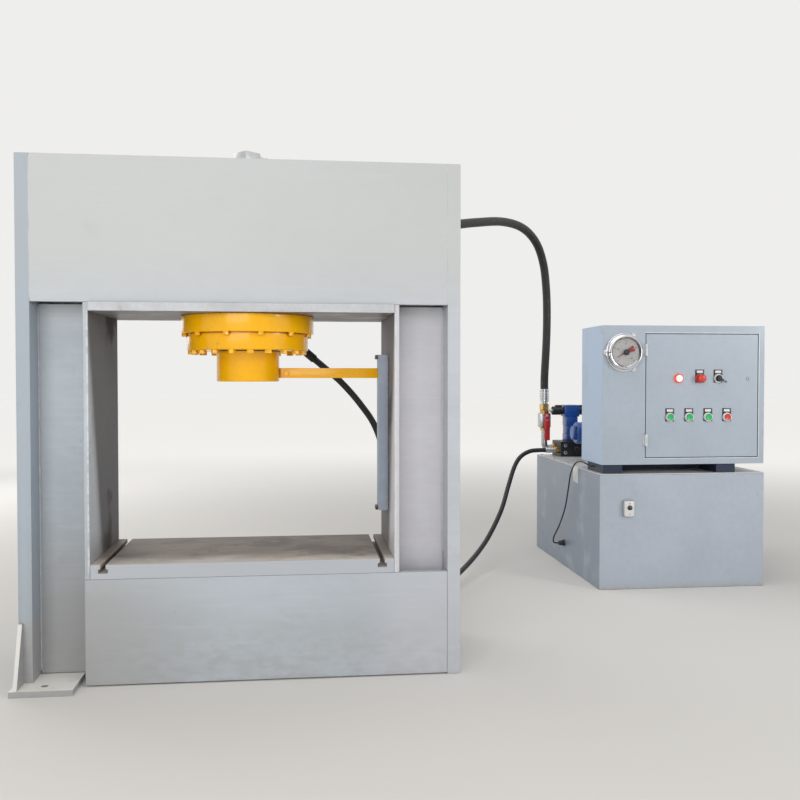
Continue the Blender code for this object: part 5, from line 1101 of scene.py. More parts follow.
@dataclass
class Studio:
    """The camera of the main view, the pale floor, the soft lamps and the pale surroundings."""

    eye: Point = (-0.694, -4.2605, 1.05)
    aim_drop: float = 22 / 900
    aim_turn: float = 102 / 900
    lens: float = 40.5
    sensor: float = 36.0
    floor_reach: float = 40.0
    floor_colour: Colour = (0.80, 0.78, 0.745)
    floor_roughness: float = 0.85
    floor_specular: float = 0.1
    surround: float = 0.86
    ambient: float = 0.385
    daylight: Colour = (1.0, 0.995, 0.985)
    fade_reach: Pair = (1.6, 9.0)
    fade_share: float = 0.62
    lamps: tuple[tuple[str, Point, Point, float, float], ...] = (
        ("key", (-2.2, -6.4, 2.2), (-0.2, -0.4, 0.9), 4.0, 134.0),
        ("fill", (4.6, -4.4, 2.2), (-0.6, -0.8, 1.0), 1.5, 80.0),
        ("top", (-0.6, -0.8, 5.4), (-0.2, -0.2, 0.8), 4.5, 72.0),
        ("rear", (-4.0, 3.4, 3.0), (0.6, 0.3, 0.7), 4.2, 70.0),
    )

    def add_camera(self) -> None:
        """Places the camera at the photographed angle and makes it the scene's own."""
        data = bpy.data.cameras.new("camera")
        data.lens = self.lens
        data.sensor_width = self.sensor
        data.dof.use_dof = False
        camera = bpy.data.objects.new("camera", data)
        camera.location = self.eye
        tilt, turn = math.atan(self.aim_drop), math.atan(self.aim_turn)
        camera.rotation_euler = (math.radians(90) - tilt, 0, -turn)
        link(camera)
        bpy.context.scene.camera = camera

    def add_floor(self) -> None:
        """Lays the plain floor just under the feet. Far off it brightens into the background."""
        graph = Graph("floor_paint")
        graph.look(self.floor_colour, self.floor_roughness)
        graph.feed("Specular IOR Level", self.floor_specular)
        away = graph.add("ShaderNodeVectorMath", operation="LENGTH")
        graph.wire(away.inputs[0], graph.object_place)
        fade = graph.band(away.outputs["Value"], *self.fade_reach, self.surround * self.fade_share)
        graph.feed("Emission Color", self.daylight)
        graph.feed("Emission Strength", fade)
        reach = self.floor_reach
        mesh = bpy.data.meshes.new("floor")
        corners = ((-reach, -reach), (reach, -reach), (reach, reach), (-reach, reach))
        mesh.from_pydata([(x, y, -SKIN) for x, y in corners], [], [(0, 1, 2, 3)])
        mesh.materials.append(graph.material)
        floor = bpy.data.objects.new("floor", mesh)
        link(floor)

    def add_lamps(self) -> None:
        """Hangs the soft area lamps, each aimed at its own point."""
        for name, place, aim, size, power in self.lamps:
            data = bpy.data.lights.new(name, "AREA")
            data.shape = "SQUARE"
            data.size = size
            data.energy = power
            lamp = bpy.data.objects.new(name, data)
            lamp.location = place
            lamp.rotation_euler = (Vector(aim) - Vector(place)).to_track_quat("-Z", "Y").to_euler()
            link(lamp)

    def add_surroundings(self) -> None:
        """Sets a plain world: even light, and a pale background to the camera and in reflections."""
        world = bpy.data.worlds.new("surroundings")
        bpy.context.scene.world = world
        world.use_nodes = True
        tree = world.node_tree
        tree.nodes.clear()
        output = tree.nodes.new("ShaderNodeOutputWorld")
        back = tree.nodes.new("ShaderNodeBackground")
        rays = tree.nodes.new("ShaderNodeLightPath").outputs
        seen = rays["Is Camera Ray"]
        for kind in ("Is Glossy Ray", "Is Transmission Ray"):
            either = tree.nodes.new("ShaderNodeMath")
            either.operation = "MAXIMUM"
            tree.links.new(seen, either.inputs[0])
            tree.links.new(rays[kind], either.inputs[1])
            seen = either.outputs[0]
        strength = tree.nodes.new("ShaderNodeMapRange")
        strength.inputs["To Min"].default_value = self.ambient
        strength.inputs["To Max"].default_value = self.surround
        tree.links.new(seen, strength.inputs["Value"])
        tree.links.new(strength.outputs["Result"], back.inputs["Strength"])
        back.inputs["Color"].default_value = (*self.daylight, 1.0)
        tree.links.new(back.outputs["Background"], output.inputs["Surface"])
        bpy.context.scene.view_settings.view_transform = "Standard"

    def build(self) -> None:
        """The whole studio apart from its camera."""
        self.add_floor()
        self.add_lamps()
        self.add_surroundings()


def route_length(route: Sequence[Vector]) -> float:
    """The length along a route's points in metres."""
    return sum((b - a).length for a, b in zip(route, route[1:]))


def smooth_route(points: Sequence[Point], spacing: float, substeps: int = 24) -> list[Vector]:
    """Evenly spaced points on a smooth curve through a route.

    Args:
        points: The route's own points.
        spacing: The wanted distance between the results.
        substeps: How finely the curve between two points is walked.

    Returns:
        The points, ends included.
    """
    knots = [Vector(point) for point in points]
    dense: list[Vector] = []
    for i in range(len(knots) - 1):
        before = knots[max(i - 1, 0)]
        after = knots[min(i + 2, len(knots) - 1)]
        start, end = knots[i], knots[i + 1]
        out, back = start + (end - before) / 6, end - (after - start) / 6
        for k in range(substeps):
            t = k / substeps
            s = 1 - t
            dense.append(start * s**3 + out * 3 * s * s * t + back * 3 * s * t * t + end * t**3)
    dense.append(knots[-1])
    total = route_length(dense)
    count = max(2, round(total / spacing))
    route, walked = [dense[0]], 0.0
    for a, b in zip(dense, dense[1:]):
        step = (b - a).length
        while walked + step >= total / count * len(route) and len(route) < count:
            route.append(a.lerp(b, (total / count * len(route) - walked) / step))
        walked += step
    route.append(dense[-1])
    return route


@dataclass
class Cords:
    """The two hydraulic hoses and the sensor cable, each on its own smooth route."""

    tall_route: tuple[Point, ...] = (
        (0.816, 1.1545, 0.9821), (0.8164, 1.1545, 1.06), (0.827, 1.154, 1.28), (0.828, 1.148, 1.45),
        (0.818, 1.132, 1.6), (0.79, 1.098, 1.745), (0.725, 1.025, 1.86), (0.61, 0.9, 1.925),
        (0.45, 0.735, 1.93), (0.25, 0.525, 1.885), (0.03, 0.29, 1.825), (-0.18, 0.06, 1.79),
        (-0.38, -0.17, 1.785), (-0.53, -0.39, 1.815), (-0.61, -0.56, 1.84), (-0.6605, -0.6821, 1.8473),
        (-0.7571, -0.7691, 1.8473),
    )
    low_route: tuple[Point, ...] = (
        (0.7982, 1.0645, 0.612), (0.76, 1.0645, 0.612), (0.7, 1.06, 0.606), (0.64, 1.045, 0.575),
        (0.595, 1.02, 0.515), (0.545, 0.96, 0.41), (0.47, 0.83, 0.28), (0.34, 0.62, 0.15),
        (0.18, 0.33, 0.08), (0.02, 0.0, 0.07), (-0.12, -0.27, 0.12), (-0.23, -0.43, 0.28),
        (-0.29, -0.51, 0.49), (-0.328, -0.545, 0.69), (-0.376, -0.562, 0.845), (-0.442, -0.585, 0.945),
        (-0.515, -0.602, 1.028), (-0.575, -0.6238, 1.0806), (-0.6303, -0.6701, 1.1256),
    )
    cable_route: tuple[Point, ...] = (
        (0.8068, 0.2, 0.5982), (0.79, 0.2, 0.601), (0.772, 0.215, 0.612), (0.762, 0.26, 0.618),
        (0.758, 0.34, 0.6), (0.758, 0.42, 0.54), (0.76, 0.47, 0.45), (0.756, 0.515, 0.34),
        (0.74, 0.565, 0.24), (0.72, 0.602, 0.168), (0.724, 0.62, 0.133), (0.751, 0.6225, 0.128),
    )
    radii: tuple[float, float, float] = (0.024, 0.013, 0.004)
    spacing: float = 0.7
    least_spacing: float = 0.006

    def lay(
        self, node: str, route: Sequence[Point], radius: float, finish: Finish, sides: int
    ) -> None:
        """Args:
            node: The solid that it stands for.
            route: Its route.
            radius: Its radius.
            finish: Its finish.
            sides: Facets round it.
        """
        path = smooth_route(route, max(radius * self.spacing, self.least_spacing))
        shape = Shaper(node + "_cord").sweep(path, [radius] * len(path), sides)
        piece = shape.stand_for(finish, node)

    def build(self) -> None:
        """All three cords."""
        tall, low, cable = self.radii
        self.lay("tall_hose", self.tall_route, tall, HOSE_RUBBER, 24)
        self.lay("low_hose", self.low_route, low, HOSE_RUBBER, 18)
        self.lay("sensor_cable", self.cable_route, cable, CABLE_SHEATH, 12)


@dataclass
class WeldBead:
    """A hand-laid fillet weld: overlapping ripples along a seam, uneven in width."""

    size: float = 0.0055
    ripple: float = 0.0042
    swing: float = 0.10
    jitter: float = 0.07
    crest: float = 0.10
    dip: float = 0.06
    sides: int = 8

    def run(self, shape: Shaper, start: Point, end: Point, seed: int) -> None:
        """Adds one seam to a shape.

        Args:
            shape: The shaper that gathers the seams.
            start: The seam's start.
            end: Its end.
            seed: Seeds the unevenness.
        """
        draw = random.Random(seed)
        first, last = Vector(start), Vector(end)
        steps = max(6, int((last - first).length / self.ripple))
        path, radii = [], []
        drift = draw.uniform(0, math.tau)
        for i in range(steps + 1):
            share = i / steps
            wander = math.sin(drift + share * 9) * self.swing + draw.uniform(-self.jitter, self.jitter)
            path.append(first.lerp(last, share))
            radii.append(self.size * (1 + wander + (self.crest if i % 2 else -self.dip)))
        radii[0] = radii[-1] = self.size * 0.5
        shape.sweep(path, radii, self.sides)


@dataclass
class PressFrame:
    """The welded frame: side plates with feet, column boxes, crown, bed and table."""

    bevel: float = 0.0025
    web_recess: float = 0.100
    inner_plate: float = 0.018
    seam_bottom: float = 0.030
    seam_top: float = 1.303
    bed_seam_bottom: float = 0.416
    crown_seam: Pair = (1.317, 1.79)
    crown_seam_depth: float = 0.0022
    bead: WeldBead = field(default_factory=WeldBead)
    ground_bead: WeldBead = field(default_factory=lambda: WeldBead(size=0.003, ripple=0.012))

    def dress_plates(self) -> None:
        """Gives every plate its finish and softened edges."""
        for node in ("left_side_plate", "right_side_plate", "left_column_box", "crown_box", "bed_box"):
            dress_solid(node, LIGHT_ENAMEL, self.bevel)
        dress_solid("right_column_box", LIT_WEB_ENAMEL, self.bevel)
        dress_solid("crown_bottom_plate", SOILED_ENAMEL, self.bevel)
        dress_solid("table_plate", TABLE_STEEL, 0.0015)

    def weld_seams(self) -> None:
        """Runs the welds that show: up the columns' recessed webs, and ground down up the crown's ends."""
        (_, front, _), (_, rear, _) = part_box("crown_box")
        left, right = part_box("left_column_box"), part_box("right_column_box")
        columns = (left[0][0], left[1][0] - self.inner_plate, right[0][0] + self.inner_plate, right[1][0])
        shape = Shaper("frame_weld_seams")
        foot, top, recess, seed = self.seam_bottom, self.seam_top, self.web_recess, 10
        for y, right_foot in ((front + recess, self.bed_seam_bottom), (rear - recess, foot)):
            for i, x in enumerate(columns):
                self.bead.run(shape, (x, y, foot if i < 2 else right_foot), (x, y, top), seed)
                seed += 1
        y = front + self.crown_seam_depth
        for i, x in enumerate((columns[0], columns[-1])):
            self.ground_bead.run(shape, (x, y, self.crown_seam[0]), (x, y, self.crown_seam[1]), 30 + i)
        shape.emit(WELD_ENAMEL, "frame", angle=70)

    def build(self) -> None:
        """The whole frame."""
        self.dress_plates()
        self.weld_seams()


@dataclass
class Cylinder:
    """The hanging cylinder: barrel, piston, bolted flange, bolted gland with wiper, and ram with its arm."""

    centre: Pair = CYLINDER_CENTRE
    flange_radius: float = 0.2415
    flange_bottom: float = 1.2113
    flange_top: float = 1.2757
    flange_bore: float = 0.2005
    gland_radius: float = GLAND_RADIUS
    gland_bottom: float = 1.150
    gland_step: float = 0.004
    gland_clear: float = 0.006
    spigot_radius: float = 0.1495
    spigot: float = 0.034
    ram_radius: float = 0.1145
    ram_bottom: float = 1.037
    ram_clear: float = 0.0005
    wiper_width: float = 0.010
    wiper_height: float = 0.012
    lip: float = 0.003
    edge: float = 0.003
    lug: float = 0.012
    arm_plate: float = 0.010
    arm_bolt: float = 0.026
    steps: int = 128

    def place(self) -> Point:
        """The foot of the cylinder's axis, on the floor."""
        return (*self.centre, 0)

    def lower_edge(self, radius: float, bottom: float) -> Profile:
        """The softened lower edge of a disc, as part of its profile.

        Args:
            radius: The disc's radius.
            bottom: Its lower face.

        Returns:
            Three points from the lower face to the side.
        """
        edge = self.edge
        return [(radius - edge, bottom), (radius - edge * 0.3, bottom + edge * 0.3), (radius, bottom + edge)]

    def bolt_ring(
        self, shape: Shaper, count: int, turn: float, radius: float, size: Pair, seat: float
    ) -> None:
        """Adds a ring of chamfered bolts with washers, heads down.

        Args:
            shape: The shaper.
            count: Number of bolts.
            turn: Where the first one stands, in degrees.
            radius: The ring's radius.
            size: Each head's width across its flats, and its height.
            seat: Height of the face that they sit on.
        """
        for i, (angle, over, out) in enumerate(around(count, radius, math.radians(turn))):
            bolt = (self.centre[0] + out, self.centre[1] - over, seat)
            shape.stud(size[0] * 0.60, 0.0016, bolt, Facing.DOWN, 24, sunk=0.001)
            shape.hexagon(*size, bolt, Facing.DOWN, -angle + 0.35 * (i % 3))

    def build_flange(self) -> None:
        """The mounting flange with its ring of bolts."""
        top, bottom, edge, radius = self.flange_top, self.flange_bottom, self.edge, self.flange_radius
        ring = [
            (self.flange_bore, bottom), *self.lower_edge(radius, bottom), (radius, top - edge),
            (radius - edge, top), (self.flange_bore, top), (self.flange_bore, bottom),
        ]
        shape = Shaper("flange_with_bolts").turned(ring, self.place(), Facing.UP, self.steps)
        self.bolt_ring(shape, 12, 14, radius - 0.011, (0.018, 0.012), bottom)
        shape.stand_for(GOLD_ENAMEL, "mounting_flange")

    def build_gland(self) -> None:
        """The gland with its ring of bolts and the wiper in its mouth."""
        top, bottom, radius = self.flange_bottom - GAP, self.gland_bottom, self.gland_radius
        inner = self.ram_radius + self.ram_clear
        wiper, ledge, spigot = inner + self.wiper_width, radius - self.gland_clear, self.spigot_radius
        mouth = bottom + self.wiper_height
        ring = [
            (inner, mouth), (wiper, mouth), (wiper, bottom), *self.lower_edge(radius, bottom),
            (radius, top - self.gland_step), (ledge, top - self.gland_step), (ledge, top), (spigot, top),
            (spigot, top + self.spigot), (inner, top + self.spigot), (inner, mouth),
        ]
        shape = Shaper("gland_with_bolts").turned(ring, self.place(), Facing.UP, self.steps)
        self.bolt_ring(shape, 20, 5, radius - 0.017, (0.024, 0.014), bottom)
        shape.stand_for(GOLD_ENAMEL, "gland")
        mouth, wiper, tip = mouth - SKIN, wiper - SKIN, bottom - self.lip
        ring = [
            (inner, mouth), (wiper, mouth), (wiper, bottom), (inner + self.lip, tip), (inner, tip),
            (inner, mouth),
        ]
        shape = Shaper("wiper_lip").turned(ring, self.place(), Facing.UP, self.steps)
        shape.stand_for(SEAL_RUBBER, "wiper_ring")

    def build_ram(self) -> None:
        """The ram with the lug that carries its arm."""
        reach, _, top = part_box("ram")[1]
        radius, bottom = self.ram_radius, self.ram_bottom
        ring = [
            (0, bottom), (radius - 0.004, bottom), (radius - 0.0012, bottom + 0.0012),
            (radius, bottom + 0.004), (radius, top), (0, top),
        ]
        shape = Shaper("ram_with_lug").turned(ring, self.place(), Facing.UP, self.steps)
        (_, _, arm_bottom), (_, arm_back, arm_top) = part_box("guide_arm")
        near = (self.centre[0] + radius - self.lug, arm_back + SKIN, arm_bottom)
        shape.block(near, (reach, arm_back + SKIN + self.lug, arm_top), 0.0015)
        shape.stand_for(GOLD_ENAMEL, "ram")

    def build_arm(self) -> None:
        """The guide arm: a flat bar with rounded edges, held by one bolt and washer."""
        low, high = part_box("guide_arm")
        front = high[1] - self.arm_plate
        shape = Shaper("guide_arm_bar").block((low[0], front, low[2]), high, 0.0012)
        bolt = (self.centre[0] + self.ram_radius + self.arm_bolt, front, middle_of("guide_arm")[2])
        shape.stud(0.012, 0.002, bolt, Facing.FRONT, 28, sunk=0.001)
        shape.hexagon(0.017, 0.0078, bolt, Facing.FRONT, 0.3)
        shape.stand_for(GOLD_ENAMEL, "guide_arm")

    def build(self) -> None:
        """The whole cylinder."""
        dress_solid("cylinder_barrel", GOLD_ENAMEL, 0.0)
        dress_solid("piston", STEEL_PLATE, 0.001)
        self.build_flange()
        self.build_gland()
        self.build_ram()
        self.build_arm()


@dataclass
class LimitRail:
    """The channel on the right column with its dark end stops, where the guide arm's tip runs."""

    stop_height: float = 0.016
    stop_half: float = 0.018
    stop_reach: float = 0.010
    stop_back: float = 0.017

    def build(self) -> None:
        """The rail and its stops."""
        dress_solid("limit_rail", RAIL_SHADED_ENAMEL, 0.0008)
        low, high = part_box("limit_rail")
        middle = middle_of("limit_rail")[1]
        shape = Shaper("rail_end_stops")
        for bottom in (low[2] + SKIN, high[2] - self.stop_height - SKIN):
            shape.block(
                (low[0] - self.stop_reach, middle - self.stop_half, bottom),
                (high[0] - self.stop_back, middle + self.stop_half, bottom + self.stop_height), 0.002,
            )
        shape.emit(BLACK_MOULDING, "black_plastic")


@dataclass
class HoseFitting:
    """A crimped hose end: hexagon nut, collar and ribbed ferrule."""

    nut_radius: float
    nut_length: float
    ferrule_radius: float
    ferrule_length: float
    collar_share: float = 0.16
    ribs: int = 5

    def add(self, shape: Shaper, place: Point, turn: Matrix) -> None:
        """Adds the ferrule and collar to a shape.

        Args:
            shape: The shaper.
            place: The nut's seat.
            turn: Takes the local Z axis along the hose.
        """
        nut, radius, top = self.nut_length, self.ferrule_radius, self.nut_length + self.ferrule_length
        start = nut + self.ferrule_length * self.collar_share
        pitch = (top - start) / self.ribs
        collar = self.nut_radius * 0.70
        ring = [(0, nut - 0.002), (collar, nut - 0.002), (collar, start), (radius * 0.96, start)]
        for i in range(self.ribs):
            for wide, along in ((1.0, 0.12), (1.0, 0.55), (0.93, 0.66), (0.93, 0.92)):
                ring.append((radius * wide, start + pitch * (i + along)))
        ring += [(radius, top - 0.001), (radius * 0.97, top), (0, top)]
        shape.turned(ring, place, Facing.UP, 40, 0.0, turn)

    def add_nut(self, shape: Shaper, place: Point, turn: Matrix) -> None:
        """Adds the hexagon nut to a shape."""
        shape.hexagon(self.nut_radius * math.sqrt(3), self.nut_length, place, Facing.UP, 0.0, turn)


@dataclass
class Fittings:
    """The four hose ends: two on the power unit with brass nuts, and two on the cylinder's ports."""

    tall: HoseFitting = field(default_factory=lambda: HoseFitting(0.031, 0.036, 0.029, 0.090))
    low: HoseFitting = field(default_factory=lambda: HoseFitting(0.019, 0.026, 0.0165, 0.056))
    tall_place: Pair = (UNIT_LEFT + 0.030, CABINET_FACE + 1.120)
    port_azimuth: float = math.radians(42)
    port_block: float = 0.070
    port_base: float = 1.8023
    port_lift: float = 0.014
    screw_radius: float = 0.0055
    screw_share: float = 0.68
    low_azimuth: float = math.radians(40)
    low_tilt: float = math.radians(32)
    low_block: float = 0.034
    low_height: float = 1.1785
    gland_radius: float = GLAND_RADIUS + GAP

    def unit_end(self, name: str, fitting: HoseFitting, place: Point, turn: Matrix) -> None:
        """One hose end on the power unit, with a brass nut.

        Args:
            name: The hose's name.
            fitting: Its fitting.
            place: The nut's seat.
            turn: Takes the local Z axis along the hose.
        """
        shape = Shaper(name + "_end")
        fitting.add(shape, place, turn)
        shape.stand_for(ZINC_PLATE, name + "_fitting")
        nut = Shaper(name + "_nut")
        fitting.add_nut(nut, place, turn)
        nut.emit(BRASS_PLATE, "zinc")

    def upper_port(self) -> None:
        """The tall hose's end on the cylinder, on a machined block held by four screws."""
        half, radius = self.port_block / 2, self.tall.nut_radius
        middle = self.port_base + self.port_lift + radius
        about = spun((*CYLINDER_CENTRE, 0), self.port_azimuth, "Z")
        shape = Shaper("upper_port_end")
        shape.block((-half, -half, self.port_base), (half, half, middle + radius), 0.003, about)
        turn = Matrix.Rotation(self.port_azimuth, 4, "Z") @ Facing.RIGHT.turn()
        place = tuple(about @ Vector((half, 0, middle)))
        self.tall.add(shape, place, turn)
        self.tall.add_nut(shape, place, turn)
        screw = cupped(self.screw_radius, 0.0025, 0, 0.008, 0.004)
        out = half * self.screw_share
        for x, y in ((-out, -out), (-out, out), (out, -out), (out, out)):
            shape.turned(screw, tuple(about @ Vector((x, y, middle + radius - 0.008))), Facing.UP, 20)
        shape.stand_for(ZINC_PLATE, "upper_port_fitting")

    def lower_port(self) -> None:
        """The low hose's end on the gland, on a small block."""
        radius, half, height = self.gland_radius, self.low_block / 2, self.low_height
        about = spun((*CYLINDER_CENTRE, 0), self.low_azimuth, "Z")
        shape = Shaper("lower_port_end")
        shape.block((radius, -half, height - half), (radius + 2 * half, half, height + half), 0.002, about)
        lean = Matrix.Rotation(math.radians(90) + self.low_tilt, 4, "Y")
        turn = Matrix.Rotation(self.low_azimuth, 4, "Z") @ lean
        place = tuple(about @ Vector((radius + half, 0, height)))
        fitting = replace(self.low, nut_length=self.low.nut_length + half)
        fitting.add(shape, place, turn)
        fitting.add_nut(shape, place, turn)
        shape.stand_for(DARK_COAT, "lower_port_fitting")

    def build(self) -> None:
        """All four hose ends."""
        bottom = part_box("tall_hose_fitting")[0][2]
        self.unit_end("tall_hose", self.tall, (*self.tall_place, bottom), Matrix.Identity(4))
        _, y, z = middle_of("low_hose_fitting")
        self.unit_end("low_hose", self.low, (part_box("low_hose_fitting")[1][0], y, z), Facing.LEFT.turn())
        self.upper_port()
        self.lower_port()


@dataclass
class PumpDrive:
    """The finned motor with its cooling fan cover and terminal box, the bellhousing and the pump."""

    motor_radius: float = 0.120
    shield: float = 0.016
    fin_height: float = 0.016
    fin_half: float = 0.0022
    fins: int = 36
    fin_span: Pair = (-0.80, 0.93)
    foot_length: float = 0.200
    foot_reach: Pair = (0.058, 0.120)
    foot_plate: float = 0.016
    web_reach: Pair = (0.060, 0.084)
    web_places: Pair = (0.012, 0.164)
    web: float = 0.024
    web_height: float = 0.078
    foot_bolt: float = 0.102
    foot_bolt_inset: float = 0.030
    terminal_box: float = 0.120
    terminal_lid: float = 0.017
    terminal_half: float = 0.050
    terminal_inset: float = 0.006
    terminal_screw: Pair = (0.012, 0.040)
    cover_radius: float = 0.137
    cover_bore: float = 0.118
    slot_rings: tuple[tuple[float, int], ...] = ((0.048, 12), (0.068, 18), (0.088, 24))
    slot_half: Pair = (0.0075, 0.0035)
    bell_radius: float = 0.125
    bell_neck: float = 0.075
    pump_radius: float = 0.062
    pump_flange: float = 0.080
    pump_flange_depth: float = 0.016
    pump_groove: float = 0.003
    steps: int = 72

    def part(self, name: str, ring: Profile, start: float) -> Shaper:
        """A turned part of the drive on the shaft's line.

        Args:
            name: The piece's name.
            ring: Its profile.
            start: Where it starts along X.

        Returns:
            The shaper with the part.
        """
        return Shaper(name).turned(ring, (start, *middle_of("motor_fan_cover")[1:]), Facing.RIGHT, self.steps)

    def build_motor(self) -> None:
        """The motor's body with its end shields and fins, its terminal box, feet and screws."""
        low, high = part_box("electric_motor")
        start, length = low[0], high[0] - low[0]
        _, middle_y, middle_z = middle_of("motor_fan_cover")
        radius, shield = self.motor_radius, self.shield
        ring = [
            (0, 0), (radius * 1.06, 0), (radius * 1.06, shield), (radius, shield + 0.002),
            (radius, length - 0.014), (radius * 1.05, length - 0.012), (radius * 1.05, length), (0, length),
        ]
        shape = self.part("finned_motor", ring, start)
        for i in range(self.fins):
            angle = math.tau * (i + 0.5) / self.fins
            if self.fin_span[0] <= math.sin(angle) <= self.fin_span[1]:
                near = (0.022, radius - 0.004, -self.fin_half)
                far = (length - shield, radius + self.fin_height, self.fin_half)
                shape.block(near, far, 0.0008, spun((start, middle_y, middle_z), angle, "X"))
        screws = Shaper("motor_screws")
        self.add_terminal_box(shape, screws)
        self.add_feet(shape, screws)
        shape.stand_for(BLUE_COAT, "electric_motor")
        screws.emit(ZINC_PLATE, "zinc")

    def add_terminal_box(self, shape: Shaper, screws: Shaper) -> None:
        """Adds the terminal box with its screwed lid.

        Args:
            shape: The motor's shaper.
            screws: The screws' shaper.
        """
        low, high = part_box("electric_motor")
        length, half, inset, top = self.terminal_box, self.terminal_half, self.terminal_inset, high[2]
        _, y, z = middle_of("motor_fan_cover")
        x, lid = (low[0] + high[0] - length) / 2, top - self.terminal_lid
        shape.block(
            (x + inset, y - half + inset, z + self.motor_radius - 0.004),
            (x + length - inset, y + half - inset, lid + 0.001), 0.004,
        )
        shape.block((x, y - half, lid), (x + length, y + half, top), 0.005)
        along, out = self.terminal_screw
        for screw_x in (x + along, x + length - along):
            for screw_y in (y - out, y + out):
                screws.stud(0.005, 0.0, (screw_x, screw_y, top - SKIN), Facing.UP, 16, sunk=0.002)

    def add_feet(self, shape: Shaper, screws: Shaper) -> None:
        """Adds the two feet, each with its webs and bolts.

        Args:
            shape: The motor's shaper.
            screws: The screws' shaper.
        """
        low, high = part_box("electric_motor")
        length, plate, foot = self.foot_length, self.foot_plate, low[2]
        x, y = (low[0] + high[0] - length) / 2, middle_of("motor_fan_cover")[1]
        for side in (-1, 1):
            near, far = sorted(y + side * reach for reach in self.foot_reach)
            shape.block((x, near, foot), (x + length, far, foot + plate), 0.003)
            near, far = sorted(y + side * reach for reach in self.web_reach)
            for start in self.web_places:
                web = x + start
                shape.block((web, near, foot + 0.012), (web + self.web, far, foot + self.web_height), 0.004)
            for bolt in (x + self.foot_bolt_inset, x + length - self.foot_bolt_inset):
                seat = (bolt, y + side * self.foot_bolt, foot + plate - 0.0005)
                screws.stud(0.012, 0.002, seat, Facing.UP, 24)
                screws.hexagon(0.017, 0.010, seat, Facing.UP, 0.4)

    def build_cover(self) -> None:
        """The domed fan cover, with dark patches that paint the shade in its rings of slots."""
        low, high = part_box("motor_fan_cover")
        _, middle_y, middle_z = middle_of("motor_fan_cover")
        length, radius, bore = high[0] - low[0], self.cover_radius, self.cover_bore
        ring = [
            (bore, 0.001), (radius - 0.002, 0), (radius, 0.002), (radius, length * 0.66),
            (radius * 0.985, length * 0.80), (radius * 0.93, length * 0.92), (radius * 0.84, length * 0.985),
            (radius * 0.80, length), (0.030, length), (0.030, length - 0.004), (0, length - 0.004),
        ]
        inside = [(bore, 0.001), (bore - 0.002, length - 0.012), (0, length - 0.012)]
        shape = self.part("slotted_fan_cover", ring, low[0])
        shape.turned(inside, (low[0], middle_y, middle_z), Facing.RIGHT, self.steps)
        shape.stand_for(BLUE_COAT, "motor_fan_cover")
        # Dark patches in place of the slots' openings: painted shade.
        slots = Shaper("fan_cover_slot_shade")
        long, wide = self.slot_half
        for middle, count in self.slot_rings:
            for angle, _, _ in around(count):
                slot = (-0.003, middle - long, -wide), (SKIN / 2, middle + long, wide)
                slots.block(*slot, 0.0, spun((high[0], middle_y, middle_z), angle, "X"))
        slots.emit(DARK_COAT, "dark_iron")

    def build_bell(self) -> None:
        """The bellhousing, and the pump with its flange."""
        low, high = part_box("bellhousing")
        length, flange, neck, radius = high[0] - low[0], self.pump_flange, self.bell_neck, self.bell_radius
        ring = [
            (0, 0), (flange, 0), (flange, 0.014), (neck, 0.017), (neck * 1.04, length * 0.40),
            (radius * 0.86, length * 0.78), (radius * 0.93, length - 0.016), (radius, length - 0.014),
            (radius, length), (0, length),
        ]
        self.part("bolted_bellhousing", ring, low[0]).stand_for(BLUE_COAT, "bellhousing")
        low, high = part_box("pump")
        length, radius = high[0] - low[0], self.pump_radius
        seat, groove = length - self.pump_flange_depth, radius - self.pump_groove
        ring = [
            (0, 0), (0.034, 0), (0.040, 0.004), (0.040, 0.020), (radius - 0.006, 0.020), (radius, 0.026),
            (radius, 0.050), (groove, 0.052), (groove, 0.056), (radius, 0.058), (radius, seat),
            (flange, seat), (flange, length), (0, length),
        ]
        self.part("gear_pump", ring, low[0]).stand_for(BLUE_COAT, "pump")
        bolts = Shaper("pump_bolts")
        _, middle_y, middle_z = middle_of("motor_fan_cover")
        for count, ring_radius, flats, head, x in (
            (4, 0.070, 0.013, 0.007, low[0] + seat), (4, 0.047, 0.010, 0.006, low[0] + 0.020),
            (8, 0.117, 0.011, 0.006, high[0] + 0.0763),
        ):
            for angle, over, up in around(count, ring_radius, math.pi / count):
                bolts.hexagon(flats, head, (x, middle_y + over, middle_z + up), Facing.LEFT, angle)
        bolts.emit(DARK_COAT, "dark_iron")

    def build(self) -> None:
        """The whole drive."""
        self.build_motor()
        self.build_cover()
        self.build_bell()


